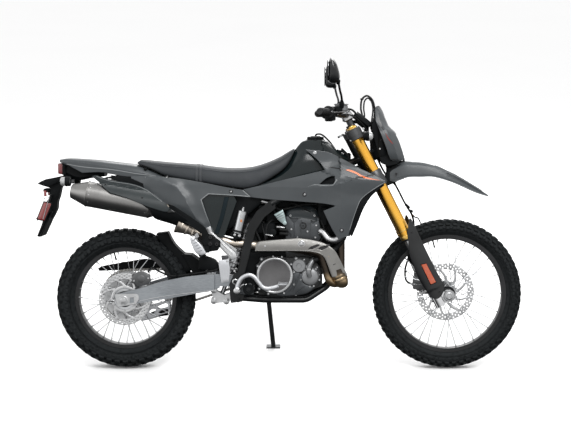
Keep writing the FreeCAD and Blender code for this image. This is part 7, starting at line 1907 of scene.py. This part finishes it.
    hose_run = hose([(270, 60, 1188), (330, 40, 1150), (392, 24, 1060), (430, 20, 960), (470, 30, 890),
                     (510, 42, 848), (552, 58, 770), (590, 70, 706), (600, 82, 650), (592, 86, 570),
                     (574, 88, 500), (560, 88, 446), (566, 86, 396), (596, 82, 378)], 4.6, 12)
    sensor = hose([(500, 20, 872), (530, 36, 812), (566, 48, 742), (600, 62, 700), (620, 74, 690),
                   (640, 92, 640), (640, 96, 560), (640, 96, 480), (660, 92, 420), (690, 84, 372)], 3.2, 10)
    guides = [merged(drum((558, 44, 758), (576, 70, 742), 6.5, 16, 1.2),
                     box((584, 52, 726), (16, 44, 14), 3)), merged(box((574, 80, 492), (14, 16, 12), 2))]
    ends = [drum((592, 82, 384), (602, 82, 372), 7, 16, 1)]
    rubber_cap = spun([(-6, 6), (6, 6), (8, 4)], (562, 86, 440), UP, 16)
    piece("front_brake_hose", [(merged(hose_run, sensor), hose_rubber),
                               (merged(*guides, rubber_cap), black_plastic), (merged(*ends), bolt_steel)],
          "steering")


def cockpit():
    """Grips, levers, switches, master cylinder, mirrors, bar pad clamps, dash and cable loops."""
    centre = Vector((279.69, 0, 1172.11))
    for side, way in (("left", 1), ("right", -1)):
        inner = Vector((205.7, way * 232, 1186.1))
        tip = Vector((149.7, way * 410, 1186.1))
        run = (tip - inner).normalized()
        steps = []
        for i in range(29):
            share = i / 28
            p = inner + run * (58 + 124 * share)
            steps.append((p, 16.6 + (0.9 if i % 2 else 0.0) + (1.2 if i == 14 else 0)))
        rings = []
        a, b = across(run)
        for p, r in steps:
            for shift in (0.0, 2.2):
                rings.append([p + run * shift + (a * math.cos(t) + b * math.sin(t)) * r
                              for t in turns(28)])
        grip = bridged(rings)
        flange = lathe([(-3, 12), (-3, 26), (0, 27.5), (3, 26), (5, 17), (5, 12)], inner + run * 56, run, 40)
        plug = spun([(-6, 15), (6, 15.5), (9, 13), (9, 8), (7, 7)], tip - run * 4, run, 32)
        housing = merged(drum(inner + run * 14, inner + run * 50, 23, 32, 3),
                         turned_box(inner + run * 30 + Vector((6, 0, -22)), (34, 30, 34), 5, ALONG, run, UP))
        switch = merged(turned_box(inner + run * -4 + Vector((-2, 0, 2)), (38, 30, 46), 5, ALONG, run, UP),
                        turned_box(inner + run * -4 + Vector((-22, 0, 6)), (6, 14, 12), 1.6, ALONG, run, UP))
        band = turned_box(inner + run * -28, (36, 18, 38), 4, ALONG, run, UP)
        perch_bolts = [bolt(inner + run * -28 + Vector((18, 0, z)), ALONG, 3.6, 4) for z in (-11, 11)]
        rod = [(inner + run * -20 + Vector((34, 0, 2))), (inner + run * 30 + Vector((62, 0, 0))),
               (inner + run * 90 + Vector((56, 0, -2))), (inner + run * 150 + Vector((44, 0, -4)))]
        flat_section = [(5.6 * math.cos(t), 3.6 * math.sin(t)) for t in turns(14)]
        lever = swept(eased(rod, 6), flat_section)
        ball = lathe([(-8, 0.01), (-6, 5), (0, 8), (6, 5), (8, 0.01)], rod[-1], run, 20)
        perch = merged(turned_box(inner + run * -22 + Vector((26, 0, 2)), (34, 26, 18), 4, ALONG, run, UP),
                       drum(inner + run * -20 + Vector((34, 0, -8)), inner + run * -20 + Vector((34, 0, 12)),
                            7, 20, 1))
        shapes = [(merged(grip, flange), grip_rubber), (plug, gloss_black),
                  (merged(housing, switch, band), black_plastic), (merged(lever, ball), lever_black),
                  (perch, black_plastic), (merged(*perch_bolts), bolt_steel)]
        if way < 0:
            shapes.append((turned_box(inner + run * -30 + Vector((34, 0, 18)), (52, 36, 30), 4, ALONG, run,
                                      UP), master_grey))
            shapes.append((turned_box(inner + run * -30 + Vector((34, 0, 35)), (56, 40, 6), 2, ALONG, run,
                                      UP), master_grey))
            shapes.append((merged(*[bolt(inner + run * (-30 + s) + Vector((34, 0, 38)), UP, 3, 2)
                                    for s in (-14, 14)]), bolt_steel))
        piece(f"bar_controls_{side}", shapes, "steering",
              ["hand_controls"] if way < 0 else (), 34.0)

        head = []
        for y, size in ((310, 0.35), (316, 0.78), (326, 0.94), (350, 1.0), (376, 1.0), (400, 0.93),
                        (416, 0.76), (424, 0.4)):
            mid_z = 1368 + (y - 370) * 0.02
            ring = []
            for x, z in eased_flat([(186, 1366), (187, 1398), (196, 1421), (206, 1422), (222, 1400),
                                    (233, 1366), (238, 1336), (228, 1314), (206, 1311), (190, 1318),
                                    (186, 1340), (186, 1366)], 4)[:-1]:
                ring.append(Vector((208 + (x - 208) * min(1.0, size * 1.05), way * y,
                                    mid_z + (z - 1368) * size)))
            head.append(ring)
        glass = []
        for x, grow in ((184.5, 1.0), (186.5, 1.0)):
            glass.append([Vector((x, way * (370 + 46 * math.copysign(abs(math.cos(t)) ** 0.6,
                                                                     math.cos(t)) * grow),
                                  1366 + 44 * math.copysign(abs(math.sin(t)) ** 0.6, math.sin(t)) * grow))
                          for t in turns(48)])
        rim = swept([*glass[0], glass[0][0]], circle(1.8, 6))
        stem = hose([(232, way * 345, 1318), (240, way * 325, 1280), (247, way * 300, 1256),
                     (250, way * 276, 1230), (248, way * 262, 1206)], 5.2, 16)
        boot = merged(spun([(-14, 10), (8, 12), (14, 9), (22, 6)], (249, way * 268, 1218),
                            Vector((0.02, way * 0.35, 1)), 24),
                      turned_box((236, way * 262, 1200), (34, 22, 26), 4, ALONG, LEFT, UP))
        pivot = spun([(-10, 9), (8, 10), (11, 7)], (231, way * 347, 1318), Vector((0, way, 0.6)), 24)
        piece(f"mirror_{side}", [(bridged(head), gloss_black), (bridged(glass), mirror_glass),
                                 (merged(rim, pivot, boot), black_plastic), (stem, gloss_black)], "steering",
              ["mirrors"] if way < 0 else (), 34.0)

    clamp_parts, caps = [], []
    for y in (-52, 52):
        clamp_parts.append(turned_box(centre + LEFT * y + FORK_UP * -4, (48, 30, 40), 5, FORK_FORWARD, LEFT,
                                      FORK_UP))
        clamp_parts.append(turned_box(centre + LEFT * y + FORK_UP * 20, (48, 30, 14), 4, FORK_FORWARD, LEFT,
                                      FORK_UP))
        for k in (-17, 17):
            caps.append(bolt(centre + LEFT * y + FORK_UP * 27 + FORK_FORWARD * k, FORK_UP, 5.0, 6))
    nut = spun([(0, 17), (8, 17), (10, 15), (10, 10), (6, 9)], fork_point(-58, 0, 872), FORK_UP, 32)
    key = merged(drum(fork_point(-10, 0, 870), fork_point(-10, 0, 890), 17, 28, 2),
                 turned_box(fork_point(-10, 0, 896), (18, 4, 14), 1, FORK_FORWARD, LEFT, FORK_UP))
    piece("bar_clamps", [(merged(*clamp_parts), bare_aluminium), (merged(*caps, nut), bolt_steel),
                         (key, black_plastic)], "steering", (), 34.0)

    tilt = Vector((0.78, 0, -0.62)).normalized()
    face_up = Vector((-0.62, 0, -0.78)).normalized() * -1
    at = Vector((352, 0, 1152))
    shell = merged(turned_box(at, (92, 124, 30), 9, tilt, LEFT, face_up),
                   turned_box(at - face_up * 18 + tilt * 6, (60, 90, 20), 6, tilt, LEFT, face_up))
    screen = turned_box(at + face_up * 15.4, (66, 98, 2.0), 0.8, tilt, LEFT, face_up)
    buttons = [turned_box(at + face_up * 15.6 - tilt * 39 + LEFT * y, (6, 18, 3), 1, tilt, LEFT, face_up)
               for y in (-24, 24)]
    stay = merged(turned_box((372, 0, 1106), (20, 60, 70), 5, ALONG, LEFT, UP),
                  box((352, 0, 1080), (60, 40, 16), 4))
    piece("dash_unit", [(merged(shell, stay), black_plastic), (screen, screen_dark),
                        (merged(*buttons), grip_rubber)], "steering", ["instrument"], 34.0)

    loop_a = hose([(262, 20, 1150), (322, 34, 1148), (352, 40, 1166), (347, 40, 1207), (352, 38, 1248),
                   (375, 34, 1265), (399, 26, 1246), (410, 20, 1209), (412, 16, 1180), (406, 12, 1140),
                   (398, 10, 1100)], 4.6, 12)
    loop_b = hose([(270, -16, 1146), (330, 8, 1140), (362, 26, 1164), (360, 32, 1206), (364, 32, 1240),
                   (380, 30, 1254), (396, 24, 1236), (402, 12, 1200), (396, 4, 1150), (392, 2, 1110)], 3.6,
                  12)
    run_a = hose([(238, 210, 1190), (262, 130, 1196), (292, 60, 1190), (330, 20, 1150), (372, 0, 1104),
                  (398, -10, 1050), (404, -14, 990), (398, -10, 940)], 4.4, 12)
    run_b = hose([(238, -212, 1190), (268, -130, 1200), (306, -60, 1196), (344, -30, 1150), (376, -14, 1100),
                  (392, -8, 1040), (388, -6, 960), (360, -4, 900), (330, -4, 860)], 4.6, 12)
    run_c = hose([(226, -214, 1180), (256, -150, 1176), (300, -100, 1172), (348, -60, 1136), (380, -40, 1090),
                  (398, -30, 1040)], 3.6, 10)
    ties = [merged(box((352, 39, 1250), (16, 18, 7), 1.5), box((392, 28, 1248), (14, 16, 10), 1.5)),
            turned_box((350, 20, 1168), (26, 26, 12), 3, ALONG, LEFT, UP)]
    piece("bar_cables", [(merged(loop_a, loop_b, run_a, run_b, run_c), hose_rubber),
                         (merged(*ties), black_plastic)], "steering")

    signals, rims, stalks = [], [], []
    for way in (1, -1):
        at = Vector((372, way * 188, 1078))
        signals.append(lathe([(0, 0.01), (0, 20), (8, 20.5), (16, 18), (21, 11), (22, 0.01)], at, ALONG, 36))
        rims.append(spun([(-24, 8), (-20, 16), (-8, 21.5), (1, 22.6), (3, 21)], at, ALONG, 36))
        stalks.append(hose([(366, way * 118, 1076), (366, way * 150, 1077), (364, way * 172, 1078)], 7.5, 16))
    piece("front_signal_lamps", [(merged(*signals), lamp_clear_small),
                                 (merged(*rims, *stalks), black_plastic)], "steering",
          ["front_signals"], 34.0)

    inner = [hull([(396, 40, 960, 1150), (420, 70, 970, 1176), (440, 78, 976, 1150), (470, 70, 980, 1060)],
                  rounded([(0, 0), (0.85, 0.02), (1, 0.2), (1, 0.8), (0.8, 1), (0, 1)], 3), 3)]
    piece("mask_backing", [(merged(*inner), black_plastic)], "steering", (), 34.0)


def headstock_details():
    """Radiator fins and caps, tank front pad, horn and loom round the steering head."""
    fins, tanks, caps = [], [], []
    for way in (1, -1):
        for k in range(26):
            z = 654 + k * 7.2
            fins.append(box((297, way * 83, z), (6, 108, 1.4), 0.3))
        tanks.append(box((276, way * 83, 842), (34, 132, 12), 4))
        tanks.append(box((276, way * 83, 632), (38, 132, 20), 5))
    caps.append(spun([(0, 22), (6, 23), (10, 21), (12, 9), (14, 8)], (258, -118, 842), UP, 32))
    guard = []
    for way in (1, -1):
        for k in range(8):
            guard.append(turned_box((308, way * 83, 664 + 21 * k), (14, 126, 3.0), 0.8,
                                    Vector((0.8, 0, -0.6)), LEFT, Vector((0.6, 0, 0.8))))
        guard.append(box((304, way * 22, 728), (12, 5, 168), 1.5))
        guard.append(box((304, way * 146, 728), (12, 5, 168), 1.5))
    piece("radiator_grilles", [(merged(*fins), bolt_dark), (merged(*tanks, *caps), engine_grey),
                               (merged(*guard), black_plastic)], "chassis", (), 34.0)

    pad = hull([(166, 60, 1030, 1061), (200, 64, 985, 1046), (240, 62, 940, 1006), (276, 50, 900, 985),
                (306, 36, 892, 966), (318, 26, 896, 948)],
               rounded([(0, 0), (0.9, 0), (1, 0.2), (0.96, 0.7), (0.8, 1), (0, 1.02)], 3), 3)
    lockset = merged(box((240, -34, 992), (28, 26, 30), 4),
                     drum((242, -34, 1002), (246, -34, 1014), 11, 20, 1.5),
                     box((282, 0, 985), (34, 56, 30), 5))
    wires = [hose([(252, -24, 1010), (276, -34, 998), (288, -36, 965), (276, -40, 932), (246, -52, 908),
                   (210, -70, 886)], 6, 10),
             hose([(244, 26, 1000), (270, 34, 985), (290, 38, 940), (280, 52, 884), (230, 72, 862)], 6, 10),
             hose([(256, -26, 1020), (284, -40, 990), (290, -40, 955), (274, -50, 925), (232, -72, 896)], 4.5,
                  10)]
    side_fill = [hull([(196, 96, 846, 905), (240, 84, 846, 930), (274, 64, 850, 930), (298, 44, 856, 905)],
                      rounded([(0, 0), (0.9, 0.05), (1, 0.3), (0.95, 0.8), (0.7, 1), (0, 1)], 3), 3)]
    horn = merged(spun([(-14, 26), (-4, 28), (0, 28), (2, 25), (0, 10)], (306, 8, 840),
                        Vector((1, 0, -0.2)), 36))
    piece("headstock_loom", [(pad, tank_green), (merged(lockset, *side_fill), black_plastic),
                             (merged(*wires), hose_rubber), (horn, black_plastic)], "chassis",
          (), 34.0)

    boxes = [hull([(-330, 60, 700, 826), (-280, 88, 640, 830), (-200, 92, 690, 842), (-120, 88, 760, 858),
                   (-60, 80, 790, 866)], rounded([(0, 0), (0.85, 0.02), (1, 0.2), (1, 0.85), (0.85, 1),
                                                  (0, 1)], 3), 3)]
    spar_edges = []
    for way in (1, -1):
        for line in ([(-74, 779), (-120, 736), (-168, 681), (-190, 610), (-201, 550), (-215, 490),
                      (-225, 436)], [(-56, 756), (-110, 700), (-140, 648), (-160, 590), (-172, 526),
                                     (-193, 444)]):
            spar_edges.append(swept([Vector((x, way * 109, z)) for x, z in eased_flat(line, 5)],
                                    circle(2.2, 8)))
    rails = [hose([(-120, way * 96, 812), (-60, way * 92, 800), (20, way * 84, 812), (100, way * 74, 830),
                   (200, way * 56, 870)], 11, 14) for way in (1, -1)]
    canister = merged(drum((-40, 40, 800), (60, 40, 812), 30, 30, 4))
    piece("frame_edges", [(merged(*spar_edges), frame_black), (merged(*boxes, canister), black_plastic),
                          (merged(*rails), frame_black)], "chassis", (), 34.0)


silencer_teal = moulded("silencer_cover_teal", (0.012, 0.0165, 0.0175), (0.022, 0.028, 0.03), 0.4, 900.0,
                        0.00007, 0.1)
cover_blue = moulded("rocker_cover_black", (0.006, 0.009, 0.011), (0.014, 0.019, 0.022), 0.42, 500.0, 0.0003,
                     0.1)
cover_dark = moulded("clutch_cover_face", (0.075, 0.073, 0.075), (0.12, 0.118, 0.12), 0.42, 800.0, 0.0002,
                     0.1, 0.5)
bracket_green = machined("zinc_bracket", (0.28, 0.36, 0.36), (0.42, 0.5, 0.5), 0.34, (3.0, 3.0, 3.0))
shield_tan = moulded("header_shield_tan", (0.2, 0.17, 0.12), (0.3, 0.26, 0.2), 0.45, 500.0, 0.0002, 0.0, 0.3)
peg_silver = moulded("satin_silver", (0.46, 0.47, 0.49), (0.6, 0.61, 0.63), 0.34, 700.0, 0.00008, 0.2, 0.7)
lever_black = moulded("lever_black", (0.01, 0.01, 0.011), (0.022, 0.022, 0.024), 0.3, 700.0, 0.00005, 0.2,
                      0.2)
master_grey = moulded("master_cylinder_grey", (0.17, 0.175, 0.18), (0.26, 0.265, 0.27), 0.36, 600.0, 0.0001,
                      0.1, 0.6)
gloss_guard = moulded("fork_guard_black", (0.005, 0.0055, 0.006), (0.012, 0.013, 0.014), 0.3, 900.0, 0.00003,
                      0.25)
fork_gold_bright = machined("fork_gold_anodised", (0.62, 0.36, 0.07), (0.85, 0.56, 0.16), 0.24,
                            (3.0, 3.0, 1.0), 0.3)
stripe_orange_thin = moulded("reservoir_mark", (0.45, 0.16, 0.06), (0.6, 0.24, 0.1), 0.4, 900.0, 0.00003, 0.1)
lamp_clear_small = lens("signal_glass", (0.3, 0.31, 0.31), (0.62, 0.63, 0.63), 0.1)


def rear_brake():
    """The rear caliper over its disc, with its bracket, pins and hose."""
    body = plate(trail([(-716, 404, 1), (-706, 436), (-670, 456), (-634, 440), (-622, 412, 1), (-640, 396),
                        (-680, 384, 1)]), -92, -81, (), 3.0)
    inner = plate(trail([(-714, 406, 1), (-704, 436), (-670, 454), (-636, 438), (-626, 412, 1), (-660, 392)]),
                  -70, -54, (), 3.0)
    bridge = merged(box((-700, -74, 432), (24, 34, 20), 4), box((-640, -74, 430), (24, 34, 20), 4))
    piston = spun([(-2, 17), (4, 17), (5, 15)], (-668, -90, 420), -LEFT, 32)
    bracket = plate(trail([(-774, 330, 1), (-770, 352), (-730, 372), (-712, 400, 1), (-690, 388, 1),
                           (-672, 366), (-700, 344), (-716, 304, 1), (-750, 298)]), -70, -60,
                    (trail([(-730, 350), (-716, 358), (-704, 352), (-718, 338)]),), 2.0)
    pins = [bolt((x, -92, z), -LEFT, 4.4, 5) for x, z in ((-702, 412), (-636, 424))]
    line = hose([(-640, -74, 448), (-620, -70, 470), (-580, -88, 452), (-520, -110, 436), (-420, -116, 448),
                 (-340, -112, 460), (-300, -104, 470), (-270, -100, 450)], 4.4, 10)
    clips = [box((x, -113, z), (12, 12, 8), 1.5) for x, z in ((-500, 438), (-400, 450))]
    piece("rear_caliper_body", [(merged(body, inner, bridge, piston, bracket), brake_alloy),
                                (merged(*pins), bolt_steel), (line, hose_rubber),
                                (merged(*clips), black_plastic)], "chassis", ["rear_caliper"],
          34.0)


def mask_stay():
    """Black stay between the headlight mask and the front fender."""
    stay = hull([(462, 30, 934, 976), (500, 34, 934, 972), (530, 30, 932, 966), (544, 20, 934, 958)],
                rounded([(0, 0), (0.9, 0), (1, 0.3), (1, 0.8), (0.8, 1), (0, 1)], 3), 3)
    piece("mask_stay", [(stay, black_plastic)], "steering", (), 34.0)


wheels()
drive_chain()
seat()
tank()
shrouds()
side_covers()
airbox_details()
tail()
front_fender()
mask()
engine()
exhaust()
chassis_fittings()
mud_and_lamps()
fork_details()
cockpit()
headstock_details()
rear_brake()
dark_fillers()
mask_stay()


# The floor, the light and the camera

def studio():
    """A pale floor, a bright ceiling that darkens towards the ground, and three soft lamps."""
    floor = bpy.data.meshes.new("floor")
    floor.from_pydata([(-60, -60, 0), (60, -60, 0), (60, 60, 0), (-60, 60, 0)], [], [(0, 1, 2, 3)])
    paper = Shader("studio_paper")
    slow = paper.noise(0.6, 2.0)
    floor.materials.append(paper.finish(paper.mix(slow, (0.93, 0.93, 0.93), (0.95, 0.95, 0.95)),
                                        slow * 0.1 + 0.8))
    ground = bpy.data.objects.new("floor", floor)
    ground.visible_diffuse = False
    ground.visible_glossy = False
    bpy.context.scene.collection.objects.link(ground)

    world = bpy.data.worlds.new("studio")
    world.use_nodes = True
    tree = world.node_tree
    place = tree.nodes.new("ShaderNodeTexCoord")
    apart = tree.nodes.new("ShaderNodeSeparateXYZ")
    rise = tree.nodes.new("ShaderNodeMapRange")
    shade = tree.nodes.new("ShaderNodeMix")
    shade.data_type = "RGBA"
    rise.interpolation_type = "SMOOTHSTEP"
    rise.inputs[1].default_value = -0.45
    rise.inputs[2].default_value = 0.0
    shade.inputs[6].default_value = (0.05, 0.052, 0.055, 1.0)
    shade.inputs[7].default_value = (1.02, 1.02, 1.02, 1.0)
    for source, target in ((place.outputs["Generated"], apart.inputs[0]),
                           (apart.outputs["Z"], rise.inputs[0]), (rise.outputs[0], shade.inputs[0]),
                           (shade.outputs[2], tree.nodes["Background"].inputs["Color"])):
        tree.links.new(source, target)
    bpy.context.scene.world = world
    bpy.context.scene.view_settings.view_transform = "Standard"
    for name, place, power, size in (("key", (1.2, -3.4, 4.6), 200, 2.4),
                                     ("fill", (-3.2, -3.0, 2.2), 20, 2.5),
                                     ("back", (0.5, 3.6, 3.6), 170, 3.4)):
        lamp = bpy.data.lights.new(name, "AREA")
        lamp.energy = power
        lamp.size = size
        holder = bpy.data.objects.new(name, lamp)
        holder.location = place
        aim = Vector((0, 0, 0.6)) - Vector(place)
        holder.rotation_euler = aim.to_track_quat("-Z", "Y").to_euler()
        bpy.context.scene.collection.objects.link(holder)


def photographer():
    """The camera: square on to the leaning motorcycle's right side, a little above it."""
    camera = bpy.data.cameras.new("camera")
    camera.lens = 94.9
    camera.sensor_width = 36.0
    camera.clip_end = 100
    holder = bpy.data.objects.new("camera", camera)
    eye = STANCE @ Vector((63, -7000, 1106))
    aim = STANCE @ Vector((-4, 0, 713))
    back = (eye - aim).normalized()
    top = (STANCE.to_3x3() @ UP).normalized()
    right = top.cross(back).normalized()
    top = back.cross(right)
    holder.matrix_world = Matrix.Translation(eye) @ Matrix((right, top, back)).transposed().to_4x4()
    bpy.context.scene.collection.objects.link(holder)
    bpy.context.scene.camera = holder


finish_nodes()
studio()
photographer()
